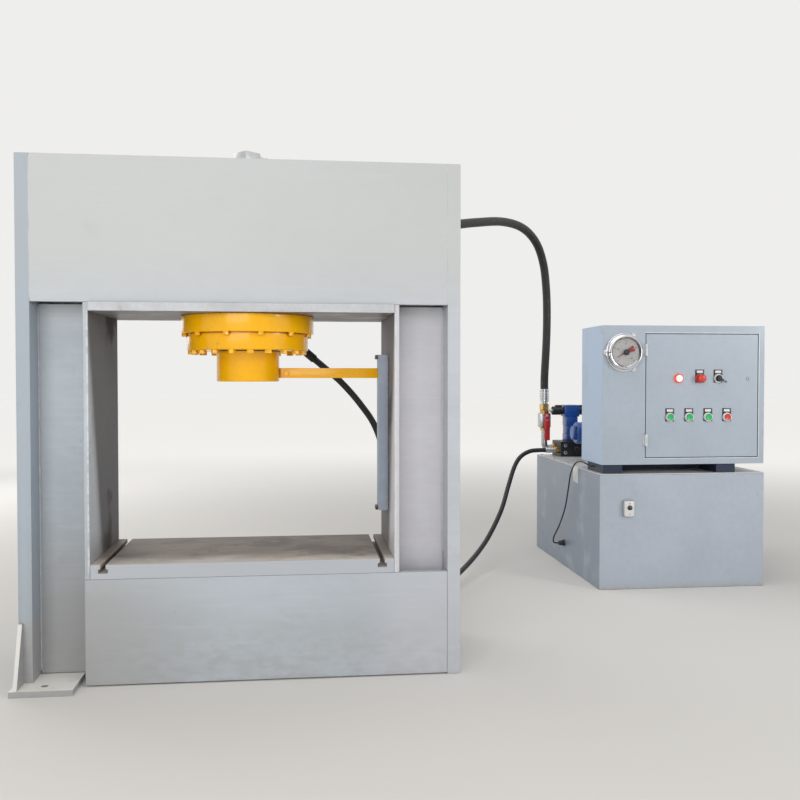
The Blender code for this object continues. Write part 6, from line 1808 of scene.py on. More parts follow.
@dataclass
class ValveStack:
    """The manifold with its plugs, the stacked valve with two coils, and the relief knob."""

    plug_inset: float = 0.030
    plug_levels: Pair = (0.024, 0.022)
    plates: tuple[tuple[float, float, float], ...] = (
        (0.0, 0.046, 0.0), (0.047, 0.092, 0.002), (0.093, 0.149, 0.0),
    )
    plate_half: float = 0.035
    plate_inset: float = 0.003
    body_half: float = 0.045
    body_height: float = 0.070
    coil_radius: float = 0.026
    coil_length: float = 0.070
    coil_nut_radius: float = 0.0118
    coil_nut_length: float = 0.0138
    connector_reach: Pair = (0.056, 0.094)
    connector_half: float = 0.014
    screw_radius: float = 0.0055
    screw_place: Pair = (0.032, 0.012)
    knob_radius: float = 0.0165
    knob_length: float = 0.0538
    flutes: int = 14

    def build_block(self) -> None:
        """The manifold block and its plugs."""
        dress_solid("valve_block", DARK_COAT, 0.002)
        low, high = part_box("valve_block")
        plugs = Shaper("manifold_plugs")
        ring = [
            (0.011, -0.001), (0.011, 0.0014), (0.009, 0.0018), (0.0045, 0.0018), (0.0045, -0.001),
            (0, -0.001),
        ]
        for x in (low[0] + self.plug_inset, high[0] - self.plug_inset):
            for z in (low[2] + self.plug_levels[0], high[2] - self.plug_levels[1]):
                plugs.turned(ring, (x, low[1], z), Facing.FRONT, 30)
        plugs.emit(ZINC_PLATE, "zinc")

    def build_stack(self) -> None:
        """The sandwich plates and the valve body with its screws."""
        low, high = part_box("solenoid_valve")
        x, y, _ = middle_of("solenoid_valve")
        deep, wide = (high[1] - low[1]) / 2, self.plate_half
        stack = Shaper("stacked_valve")
        for bottom, top, inset in self.plates:
            inner, half = deep - self.plate_inset - inset, wide - inset
            stack.block((x - half, y - inner, low[2] + bottom), (x + half, y + inner, low[2] + top), 0.0025)
        base, half = high[2] - self.body_height, self.body_half
        stack.block((x - half, y - deep, base - 0.001), (x + half, y + deep, high[2]), 0.004)
        stack.stand_for(BLUE_COAT, "solenoid_valve")
        self.build_coils((x, y, base + self.body_height / 2), high[2])
        over, inset = self.screw_place
        screws = Shaper("valve_screws")
        ring = cupped(self.screw_radius, 0.003, -0.004, -0.0006, -0.003)
        for screw_x in (x - over, x + over):
            for screw_y in (y - deep + inset, y + deep - inset):
                screws.turned(ring, (screw_x, screw_y, high[2]), Facing.UP, 20)
        screws.emit(ZINC_PLATE, "zinc")

    def build_coils(self, middle: Point, top: float) -> None:
        """The two coils with their connectors and end nuts.

        Args:
            middle: The valve body's middle.
            top: The connectors' top.
        """
        x, y, z = middle
        radius, length = self.coil_radius, self.coil_length
        seat = self.body_half - 0.001
        ring = [
            (0, 0), (0.018, 0), (0.018, 0.006), (radius - 0.002, 0.006), (radius, 0.008),
            (radius, length - 0.002), (radius - 0.002, length), (0, length),
        ]
        nut, tall, half = self.coil_nut_radius, self.coil_nut_length, self.connector_half
        nut_ring = [(nut, 0), (nut, 0.008), (nut - 0.0013, tall), (0, tall)]
        coils = Shaper("valve_coils")
        nuts = Shaper("valve_coil_nuts")
        for side, facing in ((-1, Facing.LEFT), (1, Facing.RIGHT)):
            coils.turned(ring, (x + side * seat, y, z), facing, 36)
            nuts.turned(nut_ring, (x + side * (seat + length), y, z), facing, 20)
            near, far = sorted(x + side * reach for reach in self.connector_reach)
            coils.block((near, y - half, z + 0.018), (far, y + half, top - 0.0005), 0.003)
        coils.emit(BLACK_MOULDING, "black_plastic")
        nuts.emit(ZINC_PLATE, "zinc")

    def build_knob(self) -> None:
        """The relief valve's fluted knob."""
        x, _, z = middle_of("relief_knob")
        place = (x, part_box("relief_knob")[1][1], z)
        radius, length = self.knob_radius, self.knob_length
        ring = [
            (0, 0), (0.009, 0), (0.009, 0.018), (radius - 0.001, 0.018), (radius, 0.020),
            (radius, length - 0.0018), (radius - 0.0025, length), (0, length),
        ]
        shape = Shaper("fluted_relief_knob").turned(ring, place, Facing.FRONT, 40)
        for angle, _, _ in around(self.flutes):
            flute = (-0.0016, 0.0028 - length, radius - 0.0015), (0.0016, -0.021, radius + 0.0011)
            shape.block(*flute, 0.0006, spun(place, angle, "Y"))
        shape.stand_for(BLACK_MOULDING, "relief_knob")

    def build(self) -> None:
        """The whole stack."""
        self.build_block()
        self.build_stack()
        self.build_knob()


@dataclass
class BallValve:
    """The ball valve on its elbow riser, with the bent red handle."""

    riser_radius: float = 0.021
    bend_radius: float = 0.026
    bend_steps: int = 8
    inlet: float = 0.062
    body_half: float = 0.033
    body_bottom: float = 0.745
    body_top: float = 0.835
    nut_radius: float = 0.031
    collar: float = 0.020
    union_flats: float = 0.046
    handle_width: float = 0.034
    handle_plate: float = 0.008
    handle_boss: float = 0.010
    handle_jog: float = 0.012

    def build_valve(self) -> None:
        """The valve's body on its elbow, with three brass nuts."""
        low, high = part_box("ball_valve")
        radius, bend, half, bottom = self.riser_radius, self.bend_radius, self.body_half, self.body_bottom
        x, y, elbow = low[0] + half, self.middle_y(), low[2] + radius
        path = [Vector((x + self.inlet, y, elbow))]
        for i in range(self.bend_steps + 1):
            angle = math.pi / 2 * i / self.bend_steps
            path.append(Vector((x + bend - bend * math.sin(angle), y, elbow + bend - bend * math.cos(angle))))
        path.append(Vector((x, y, bottom + 0.004)))
        shape = Shaper("ball_valve_body").sweep(path, [radius * 0.88] * len(path), 32)
        shape.stud(radius, 0.014, (x, y, bottom - 0.020), Facing.UP, 32)
        shape.block((x - half, y - half, bottom), (x + half, y + half, self.body_top), 0.006)
        shape.stand_for(STEEL_PLATE, "ball_valve")
        nuts = Shaper("ball_valve_nuts")
        stem = (x, y, self.body_top - SKIN)
        nuts.hexagon(self.nut_radius * math.sqrt(3), self.collar, stem, Facing.UP, 0.26)
        nuts.hexagon(self.union_flats, 0.018, (high[0], y, elbow), Facing.LEFT, 0.1)
        nuts.hexagon(self.union_flats, 0.016, (x, y, bottom - 0.0165), Facing.UP, 0.1)
        nuts.emit(BRASS_PLATE, "zinc")

    def middle_y(self) -> float:
        """The riser's place in depth, also where a nut widens the solid to one side."""
        low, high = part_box("ball_valve")
        if abs((high[1] - low[1]) / 2 - self.body_half) > 0.001:
            return high[1] - self.body_half
        return (low[1] + high[1]) / 2

    def build_handle(self) -> None:
        """The red handle, bent outward half way down, with the nut that holds it."""
        low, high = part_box("ball_valve_handle")
        width, plate, jog, boss = self.handle_width, self.handle_plate, self.handle_jog, self.handle_boss
        front, back, bottom, top = low[1], high[1] - 2 * plate, low[2], high[2]
        outline = [
            (back, top), (back - plate, top), (back - plate, top - width), (front, top - width - jog),
            (front, bottom), (front + plate, bottom), (front + plate, top - width - jog * 0.7),
            (back, top - width),
        ]
        sideways = Matrix(((0, 0, 1), (1, 0, 0), (0, 1, 0))).to_4x4()
        handle = Shaper("bent_red_handle")
        handle.prism(outline, high[0] - low[0], Matrix.Translation((low[0], 0, 0)) @ sideways, 0.002)
        x, _, _ = middle_of("ball_valve_handle")
        middle = top - width / 2
        ring = [(boss, 0), (boss, 0.018), (0, 0.018)]
        handle.turned(ring, (x, back - 0.002, middle), Facing.BACK, 24)
        handle.stand_for(RED_COAT, "ball_valve_handle")
        nut = Shaper("handle_nut").hexagon(0.017, 0.007, (x, back - plate + SKIN, middle), Facing.FRONT, 0.2)
        nut.emit(ZINC_PLATE, "zinc", Body.HANDLE)

    def build(self) -> None:
        """The valve and its handle."""
        self.build_valve()
        self.build_handle()


@dataclass
class TankGroup:
    """The folded tank with its lid, breather, temperature switch, sensor and the bent bracket on its edge."""

    screw_count: int = 5
    screw_inset: float = 0.016
    screw_margin: float = 0.05
    screw_flats: float = 0.013
    screw_head: float = 0.006
    cabinet_stretch: Pair = (0.02, 0.33)
    neck_radius: float = 0.028
    neck_height: float = 0.040
    cap_radius: float = 0.0435
    flute_count: int = 24
    flange_radius: float = 0.040
    flange: float = 0.004
    flange_screws: int = 6
    flange_screw_ring: float = 0.0345
    switch_corner: float = 0.008
    switch_rim: float = 0.0015
    switch_base: float = 0.006
    switch_screw_inset: float = 0.012
    dial_skirt: float = 0.012
    dial_radius: float = 0.0092
    dial_height: float = 0.0119
    mark_half: float = 0.0008
    mark_reach: Pair = (0.002, 0.0075)
    bracket_middle: float = 0.420
    bracket_width: float = 0.085
    bracket_drop: float = 0.085
    bracket_reach: float = 0.045
    plate: float = 0.003

    def build_tank(self) -> None:
        """The tank and the lid with its screws, which leave out the stretch under the cabinet."""
        dress_solid("oil_tank", TANK_COAT, 0.0025)
        dress_solid("tank_lid", LID_LIT_COAT, 0.0012)
        low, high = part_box("tank_lid")
        near, far = (low[1] + reach for reach in self.cabinet_stretch)
        first, last = low[1] + self.screw_margin, high[1] - self.screw_margin
        screws = Shaper("lid_screws")
        for i in range(self.screw_count):
            y = first + (last - first) * i / (self.screw_count - 1)
            if near < y < far:
                continue
            for x in (low[0] + self.screw_inset, high[0] - self.screw_inset):
                screws.hexagon(self.screw_flats, self.screw_head, (x, y, high[2] - SKIN), Facing.UP, i * 0.7)
        screws.emit(ZINC_PLATE, "zinc")

    def build_breather(self) -> None:
        """The filler cap with its fluted rim, on a screwed neck flange."""
        low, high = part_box("filler_cap")
        x, y, _ = middle_of("filler_cap")
        place = (x, y, low[2])
        height = high[2] - low[2]
        neck, step, radius = self.neck_radius, self.neck_height, self.cap_radius
        ring = [
            (0, 0), (neck, 0), (neck, step), (radius - 0.0025, step), (radius, step + 0.003),
            (radius, height - 0.022), (radius - 0.0035, height - 0.006), (radius - 0.0135, height),
            (0, height),
        ]
        shape = Shaper("fluted_filler_cap").turned(ring, place, Facing.UP, 64)
        for angle, _, _ in around(self.flute_count):
            flute = (radius - 0.001, -0.0022, step + 0.004), (radius + 0.0013, 0.0022, height - 0.026)
            shape.block(*flute, 0.0006, spun(place, angle, "Z"))
        shape.stand_for(CHROME_PLATE, "filler_cap")
        flange = Shaper("filler_neck_flange")
        flange.turned(hoop(neck + 0.001, self.flange_radius, 0, self.flange), place, Facing.UP, 48)
        for _, over, along in around(self.flange_screws, self.flange_screw_ring):
            flange.stud(0.0035, 0.002, (x + over, y + along, low[2] + self.flange), Facing.UP, 14, 0.003)
        flange.emit(ZINC_PLATE, "zinc")

    def build_switch(self) -> None:
        """The white temperature switch on the front with its dark dial, and the level sensor."""
        low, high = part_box("temperature_switch")
        middle_x, rim = middle_of("temperature_switch")[0], self.switch_rim
        case = Shaper("temperature_switch_case").block(low, high, self.switch_corner)
        case.stand_for(WHITE_MOULDING, "temperature_switch", 40)
        base = Shaper("temperature_switch_base")
        corner = (high[0] + rim, high[1] - SKIN, high[2] + rim)
        base.block((low[0] - rim, high[1] - self.switch_base, low[2] - rim), corner, 0.0025)
        for z in (low[2] + self.switch_screw_inset, high[2] - self.switch_screw_inset):
            base.stud(0.0032, 0.0014, (middle_x, low[1], z), Facing.FRONT, 16, 0.0026)
        base.emit(SWITCHGEAR, "white_plastic")
        low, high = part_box("temperature_knob")
        x, _, z = middle_of("temperature_knob")
        skirt, radius, top = self.dial_skirt, self.dial_radius, self.dial_height
        ring = [
            (0, 0), (skirt, 0), (skirt, 0.003), (radius + 0.0006, 0.004), (radius, top - 0.0011),
            (radius - 0.0012, top), (0, top),
        ]
        knob = Shaper("temperature_dial_knob").turned(ring, (x, high[1], z), Facing.FRONT, 40)
        knob.stand_for(BLACK_MOULDING, "temperature_knob")
        half, (start, end) = self.mark_half, self.mark_reach
        mark = Shaper("temperature_dial_mark")
        mark.block((x - half, low[1] - HAIR, z + start), (x + half, low[1] + 0.0006, z + end))
        mark.emit(BLANK_FIELD, "white_plastic", Body.DIAL)
        dress_solid("cable_sensor", BLACK_MOULDING, 0.0008)

    def build_bracket(self) -> None:
        """The thin bent bracket over the lid's left edge."""
        low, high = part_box("tank_lid")
        left, top, plate = low[0], high[2], self.plate
        outline = [
            (left + self.bracket_reach, top), (left + self.bracket_reach, top + plate),
            (left - plate * 0.5, top + plate), (left - plate, top + plate * 0.5),
            (left - plate, top - self.bracket_drop), (left, top - self.bracket_drop), (left, top),
        ]
        place = Matrix.Translation((0, self.bracket_middle + self.bracket_width / 2, 0)) @ UPRIGHT
        shape = Shaper("bent_edge_bracket").prism(outline, self.bracket_width, place, 0.0008)
        shape.emit(WHITE_MOULDING, "tank_enamel")

    def build(self) -> None:
        """The whole tank."""
        self.build_tank()
        self.build_breather()
        self.build_switch()
        self.build_bracket()


@dataclass
class Cabinet:
    """The control cabinet: shell on its base, door with seal, hinges and lock, and mounting panel."""

    contactor_inset: Pair = (0.004, 0.010)
    contactor_proud: float = 0.003
    terminals: int = 3
    terminal_inset: float = 0.005
    duct_gap: float = 0.014
    duct_share: float = 0.32
    duct_depth: Pair = (0.020, 0.012)
    seal: float = 0.008
    seal_inset: float = 0.006
    seal_depth: Pair = (0.012, 0.001)
    door_gap: float = 0.0035
    edging: float = 0.0020
    edging_depth: float = 0.010
    lip_width: float = 0.005
    lip_rise: float = 0.0018
    lip_round: float = 0.0012
    lock_reach: float = 0.5315
    slot_half: Pair = (0.0012, 0.006)
    hinge_radius: float = 0.008
    knuckles: int = 3
    knuckle_gap: float = 0.0008
    knuckle_edge: float = 0.001
    leaf: float = 0.0033
    leaf_inset: float = 0.004
    leaf_screw_inset: float = 0.014

    def build_shell(self) -> None:
        """The shell, its base and the mounting panel."""
        dress_solid("cabinet_shell", DRIVE_ENAMEL, 0.0014)
        dress_solid("cabinet_base", BASE_COAT, 0.002)
        dress_solid("mounting_panel", SHEET_PLATE, 0.0008)

    def build_switchgear(self) -> None:
        """The contactors' fronts and terminals, placed by the panel's own corners, and the ducts."""
        low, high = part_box("mounting_panel")
        front, near = low[1], 0.0005
        side, end = self.contactor_inset
        details = Shaper("contactor_fronts")
        ducts = Shaper("wiring_ducts")
        corners = [v.co for v in frame["nodes"]["mounting_panel"].data.vertices if v.co.y < front + near]
        levels = sorted({round(corner.z, 4) for corner in corners})
        for bottom, top in zip(levels[::2], levels[1::2]):
            columns = sorted({round(corner.x, 4) for corner in corners if abs(corner.z - bottom) < 2 * near})
            for left, right in zip(columns[::2], columns[1::2]):
                corner = (right - side, front, top - end)
                details.block((left + side, front - self.contactor_proud, bottom + end), corner, 0.001)
                for k in range(self.terminals):
                    x = left + (right - left) * (k + 0.5) / self.terminals
                    for z in (bottom + self.terminal_inset, top - self.terminal_inset):
                        details.stud(0.003, 0.001, (x, front, z), Facing.FRONT, 12)
            base = top + self.duct_gap
            ducts.block(
                (columns[0], front + self.duct_depth[0], base),
                (columns[-1], high[1] - self.duct_depth[1], base + (top - bottom) * self.duct_share), 0.0015,
            )
        details.emit(BLACK_MOULDING, "black_plastic")
        ducts.emit(SWITCHGEAR, "panel_sheet")

    def strips(
        self, name: str, rectangles: Sequence[tuple[Pair, Pair]], front: float,
        back: float, bevel: float,
    ) -> Shaper:
        """Gathers the strips that run round the door or its opening.

        Args:
            name: The piece's name.
            rectangles: Each strip's lowest and highest corner across and up.
            front: Where the strips start in depth.
            back: Where they end.
            bevel: Width of their rounded edges.

        Returns:
            The shaper with the strips.
        """
        shape = Shaper(name)
        for (left, bottom), (right, top) in rectangles:
            shape.block((left, front, bottom), (right, back, top), bevel)
        return shape

    def door_outline(self, gap: float) -> tuple[float, float, float, float]:
        """The door's left, right, bottom and top, each moved outward by a gap."""
        low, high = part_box("cabinet_door")
        return low[0] - gap, high[0] + gap, low[2] - gap, high[2] + gap

    def build_door(self) -> None:
        """The door with the rubber seal inside."""
        dress_solid("cabinet_door", DRIVE_ENAMEL, 0.0014)
        left, right, bottom, top = self.door_outline(-self.seal_inset)
        wide, back = self.seal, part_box("cabinet_door")[1][1]
        self.strips(
            "door_seal",
            (
                ((left, bottom), (right, bottom + wide)), ((left, top - wide), (right, top)),
                ((left, bottom + wide), (left + wide, top - wide)),
                ((right - wide, bottom + wide), (right, top - wide)),
            ),
            back - self.seal_depth[0], back - self.seal_depth[1], 0.0012,
        ).emit(SEAL_RUBBER, "black_plastic", Body.DOOR)

    def build_opening(self) -> None:
        """The black edging all round the door opening, and the low rolled lip beside, under and over it, in a
        paler coat that paints its highlight.
        """
        left, right, bottom, top = self.door_outline(self.door_gap - SKIN / 2)
        thick = self.edging
        self.strips(
            "opening_edging",
            (
                ((left, bottom), (left + thick, top)), ((right - thick, bottom), (right, top)),
                ((left + thick, bottom), (right - thick, bottom + thick)),
                ((left + thick, top - thick), (right - thick, top)),
            ),
            CABINET_FACE + 0.0003, CABINET_FACE + self.edging_depth, 0.0003,
        ).emit(SEAL_RUBBER, "black_plastic")
        left, right, bottom, top = self.door_outline(self.door_gap)
        wide = self.lip_width
        self.strips(
            "opening_lip",
            (
                ((right, bottom - wide), (right + wide, top + wide)),
                ((left, bottom - wide), (right, bottom)), ((left, top), (right, top + wide)),
            ),
            CABINET_FACE - self.lip_rise, CABINET_FACE + self.lip_rise, self.lip_round,
        ).emit(LIP_HIGHLIGHT_ENAMEL, SLOTS["cabinet_shell"])

    def build_lock(self) -> None:
        """The door lock, with a dark patch that paints the shade in its key slot."""
        dress_solid("door_lock", DRIVE_ENAMEL, 0.0006)
        x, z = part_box("cabinet_door")[0][0] + self.lock_reach, middle_of("door_lock")[2]
        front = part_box("door_lock")[0][1]
        half, tall = self.slot_half
        # A dark patch in place of the key slot's opening: painted shade.
        slot = Shaper("lock_key_slot_shade")
        slot.block((x - half, front - SKIN / 4, z - tall), (x + half, front + 0.001, z + tall))
        slot.emit(DARK_COAT, "zinc", Body.LOCK)

    def build_hinge(self, node: str) -> None:
        """One barrel hinge: knuckles on a pin, with a screwed leaf.

        Args:
            node: The solid that it stands for.
        """
        low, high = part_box(node)
        radius, edge = self.hinge_radius, self.knuckle_edge
        x, y = high[0] - radius, low[1] + radius
        shape = Shaper(node + "_knuckles")
        length = high[2] - low[2]
        third = length / self.knuckles
        for k in range(self.knuckles):
            start = third * k + (self.knuckle_gap / 2 if k else 0)
            end = third * (k + 1) - (self.knuckle_gap / 2 if k < self.knuckles - 1 else 0)
            tall = end - start
            shape.turned(rounded(radius, 0, tall, edge), (x, y, low[2] + start), Facing.UP, 32)
        shape.stud(radius * 0.55, length - edge, (x, y, low[2] + edge / 2), Facing.UP, 20)
        front, inset = CABINET_FACE - self.leaf, self.leaf_inset
        shape.block((low[0], front, low[2] + inset), (x, CABINET_FACE - SKIN, high[2] - inset), 0.0006)
        for z in (low[2] + self.leaf_screw_inset, high[2] - self.leaf_screw_inset):
            shape.stud(0.003, 0.0012, (low[0] + inset, front, z), Facing.FRONT, 14, 0.0025)
        shape.stand_for(HINGE_ENAMEL, node)

    def build(self) -> None:
        """The whole cabinet."""
        self.build_shell()
        self.build_switchgear()
        self.build_door()
        self.build_opening()
        self.build_lock()
        for node in ("upper_hinge", "lower_hinge"):
            self.build_hinge(node)


@dataclass
class ContactGauge:
    """The flanged contact gauge: case on three lugs, printed dial, pointers, glass and setting knob."""

    centre_x: float = 0.907
    centre_z: float = 1.176
    face: float = CABINET_FACE - GAP
    flange_radius: float = 0.095
    flange: float = 0.005
    bezel_radius: float = 0.084
    bezel_reach: float = 0.034
    bezel_wall: float = 0.010
    neck_sink: float = 0.004
    dial_depth: float = 0.014
    barrel_radius: float = 0.074
    barrel: float = 0.060
    lugs: int = 3
    lug_start: float = math.radians(60)
    lug_reach: float = 0.096
    lug_radius: float = 0.014
    lug_height: float = 0.0045
    sweep_start: float = math.radians(225)
    sweep_size: float = math.radians(270)
    divisions: int = 40
    ink: float = 0.0001
    mark_end: float = 0.063
    number_ring: float = 0.042
    number_size: float = 0.012
    pointer_turn: float = math.radians(-120)
    setting_turn: float = math.radians(62)
    glass_level: float = 0.0050
    knob_radius: float = 0.014
    knob_ribs: int = 20

    def at(self, along: float = 0.0, x: float = 0.0, z: float = 0.0) -> Point:
        """A point in front of the gauge's seat."""
        return (self.centre_x + x, self.face - along, self.centre_z + z)

    def angle(self, division: int) -> float:
        """Where a division stands on the dial, in radians."""
        return self.sweep_start - self.sweep_size * division / self.divisions

    def build_case(self) -> None:
        """The chrome case with stepped rim and lugs, and the screws in the lugs."""
        reach, radius, bore = self.bezel_reach, self.bezel_radius, self.bezel_radius - self.bezel_wall
        dial, neck = reach - self.dial_depth, radius - self.neck_sink
        wide, flange, barrel = self.flange_radius, self.flange, self.barrel_radius
        ring = [
            (0, dial), (bore, dial), (bore, reach - 0.004), (bore + 0.002, reach - 0.001),
            (bore + 0.004, reach), (radius - 0.003, reach), (radius, reach - 0.003), (radius, 0.022),
            (neck, 0.019), (neck, 0.012), (radius, 0.009), (radius + 0.003, flange),
            (wide - 0.0015, flange), (wide, flange - 0.0015), (wide, 0), (barrel, 0),
            (barrel, -self.barrel), (0, -self.barrel),
        ]
        shape = Shaper("chrome_gauge_case").turned(ring, self.at(), Facing.FRONT, 128)
        screws = Shaper("gauge_lug_screws")
        lug, base, top = self.lug_radius, SKIN + 0.0001, self.lug_height
        for _, x, z in around(self.lugs, self.lug_reach, self.lug_start):
            ring = [(0, base), (lug, base), (lug, top - 0.0008), (lug - 0.001, top), (0, top)]
            shape.turned(ring, self.at(0, x, z), Facing.FRONT, 36)
            ring = [(0, 0), (0.0055, 0), (0.0055, 0.002), (0.004, 0.0035), (0, 0.0035)]
            screws.turned(ring, self.at(top, x, z), Facing.FRONT, 24)
        shape.stand_for(CHROME_PLATE, "gauge_case", 28)
        screws.emit(ZINC_PLATE, "zinc")

    def build_dial(self) -> None:
        """The pale dial with its sloped surround and printed divisions."""
        level = self.bezel_reach - self.dial_depth
        radius = self.bezel_radius - self.bezel_wall - SKIN
        disc = hoop(0.010, radius, level, level + 0.0006)
        dial = Shaper("gauge_dial").turned(disc, self.at(), Facing.FRONT, 96)
        dial.emit(DIAL_PAINT, "chrome")
        foot, base = radius - 0.007, level + 0.0007
        ring = [(foot, base), (foot, base + 0.0005), (radius, level + 0.0075), (radius, base), (foot, base)]
        slope = Shaper("chrome_dial_surround").turned(ring, self.at(), Facing.FRONT, 96)
        slope.emit(CHROME_PLATE, "chrome")
        top = level + 0.0008
        marks = Shaper("gauge_divisions")
        for i in range(self.divisions + 1):
            start, half = 0.059, 0.0004
            if i % 10 == 0:
                start, half = 0.052, 0.0009
            elif i % 5 == 0:
                start = 0.056
            spin = spun(self.at(top), -self.angle(i), "Y")
            marks.block((start, -self.ink, -half), (self.mark_end, self.ink, half), 0.0, spin)
        marks.emit(PRINT_BLACK, "chrome")
        self.build_numbers(top)

    def build_numbers(self, level: float) -> None:
        """The plain numbers at every tenth division.

        Args:
            level: How far in front of the seat they are printed.
        """
        shape = Shaper("gauge_numbers")
        for i in range(0, self.divisions + 1, 10):
            text = bpy.data.curves.new("number", "FONT")
            text.body = str(i)
            text.size = self.number_size
            text.align_x = "CENTER"
            text.align_y = "CENTER"
            text.extrude = self.ink
            holder = bpy.data.objects.new("number", text)
            link(holder)
            bpy.context.view_layer.update()
            solid = holder.evaluated_get(bpy.context.evaluated_depsgraph_get())
            mesh = bpy.data.meshes.new_from_object(solid)
            digits = bmesh.new()
            digits.from_mesh(mesh)
            x, z = self.number_ring * math.cos(self.angle(i)), self.number_ring * math.sin(self.angle(i))
            shape.absorb(digits, spun(self.at(level, x, z), math.radians(90), "X"))
            bpy.data.meshes.remove(mesh)
            bpy.data.objects.remove(holder)
            bpy.data.curves.remove(text)
        shape.emit(PRINT_BLACK, "chrome")

    def blade(
        self, shape: Shaper, outline: Profile, thick: float, level: float, turn: float, bevel: float
    ) -> None:
        """Adds a flat pointer blade to a shape.

        Args:
            shape: The shaper.
            outline: Its corners, with zero straight down from the shaft.
            thick: Its thickness.
            level: Its height over the shaft's seat.
            turn: Where it points, in radians.
            bevel: Width of its rounded edges.
        """
        base = self.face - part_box("gauge_pointer")[1][1]
        flat = Matrix.Translation((0, -level, 0)) @ UPRIGHT
        shape.prism(outline, thick, spun(self.at(base), turn, "Y") @ flat, bevel)

    def build_pointers(self) -> None:
        """The red pointer on its hub, and the red setting pointer."""
        hub = self.at(self.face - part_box("gauge_pointer")[1][1])
        pointer = Shaper("tapered_red_pointer")
        ring = [(0, 0), (0.008, 0), (0.008, 0.003), (0.006, 0.005), (0, 0.005)]
        pointer.turned(ring, hub, Facing.FRONT, 32)
        outline = [
            (-0.0028, -0.018), (0.0028, -0.018), (0.0022, 0.0), (0.0012, 0.050), (0.0, 0.056),
            (-0.0012, 0.050), (-0.0022, 0.0),
        ]
        self.blade(pointer, outline, 0.0014, 0.0018, self.pointer_turn, 0.0)
        pointer.stand_for(RED_MOULDING, "gauge_pointer")
        setting = Shaper("red_setting_pointer")
        outline = [(-0.008, 0.015), (0.008, 0.015), (0.015, 0.040), (0.004, 0.054), (-0.014, 0.044)]
        self.blade(setting, outline, 0.0012, 0.0060, self.setting_turn, 0.0003)
        setting.emit(RED_MOULDING, "red_plastic")

    def build_glass(self) -> None:
        """The glass with the ribbed setting knob at its middle."""
        reach, low = self.bezel_reach, self.bezel_reach - self.glass_level
        rim = self.bezel_radius - self.bezel_wall - SKIN
        disc = hoop(0.009, rim, low, low + 0.002)
        glass = Shaper("gauge_glass_disc").turned(disc, self.at(), Facing.FRONT, 96)
        glass.emit(GAUGE_GLASS, "chrome")
        radius = self.knob_radius
        ring = [
            (0, low - 0.001), (0.0088, low - 0.001), (0.0088, reach - 0.003),
            (radius - 0.001, reach - 0.0028), (radius, reach - 0.002), (radius, reach + 0.004),
            (radius - 0.002, reach + 0.0055), (0, reach + 0.0055),
        ]
        knob = Shaper("gauge_setting_knob").turned(ring, self.at(), Facing.FRONT, 40)
        for angle, _, _ in around(self.knob_ribs):
            rib = (-0.001, -reach - 0.0035, radius - 0.0004), (0.001, -reach + 0.0015, radius + 0.0007)
            knob.block(*rib, 0.0003, spun(self.at(), angle, "Y"))
        knob.emit(BLACK_MOULDING, "black_plastic")

    def build(self) -> None:
        """The whole gauge."""
        self.build_case()
        self.build_dial()
        self.build_pointers()
        self.build_glass()


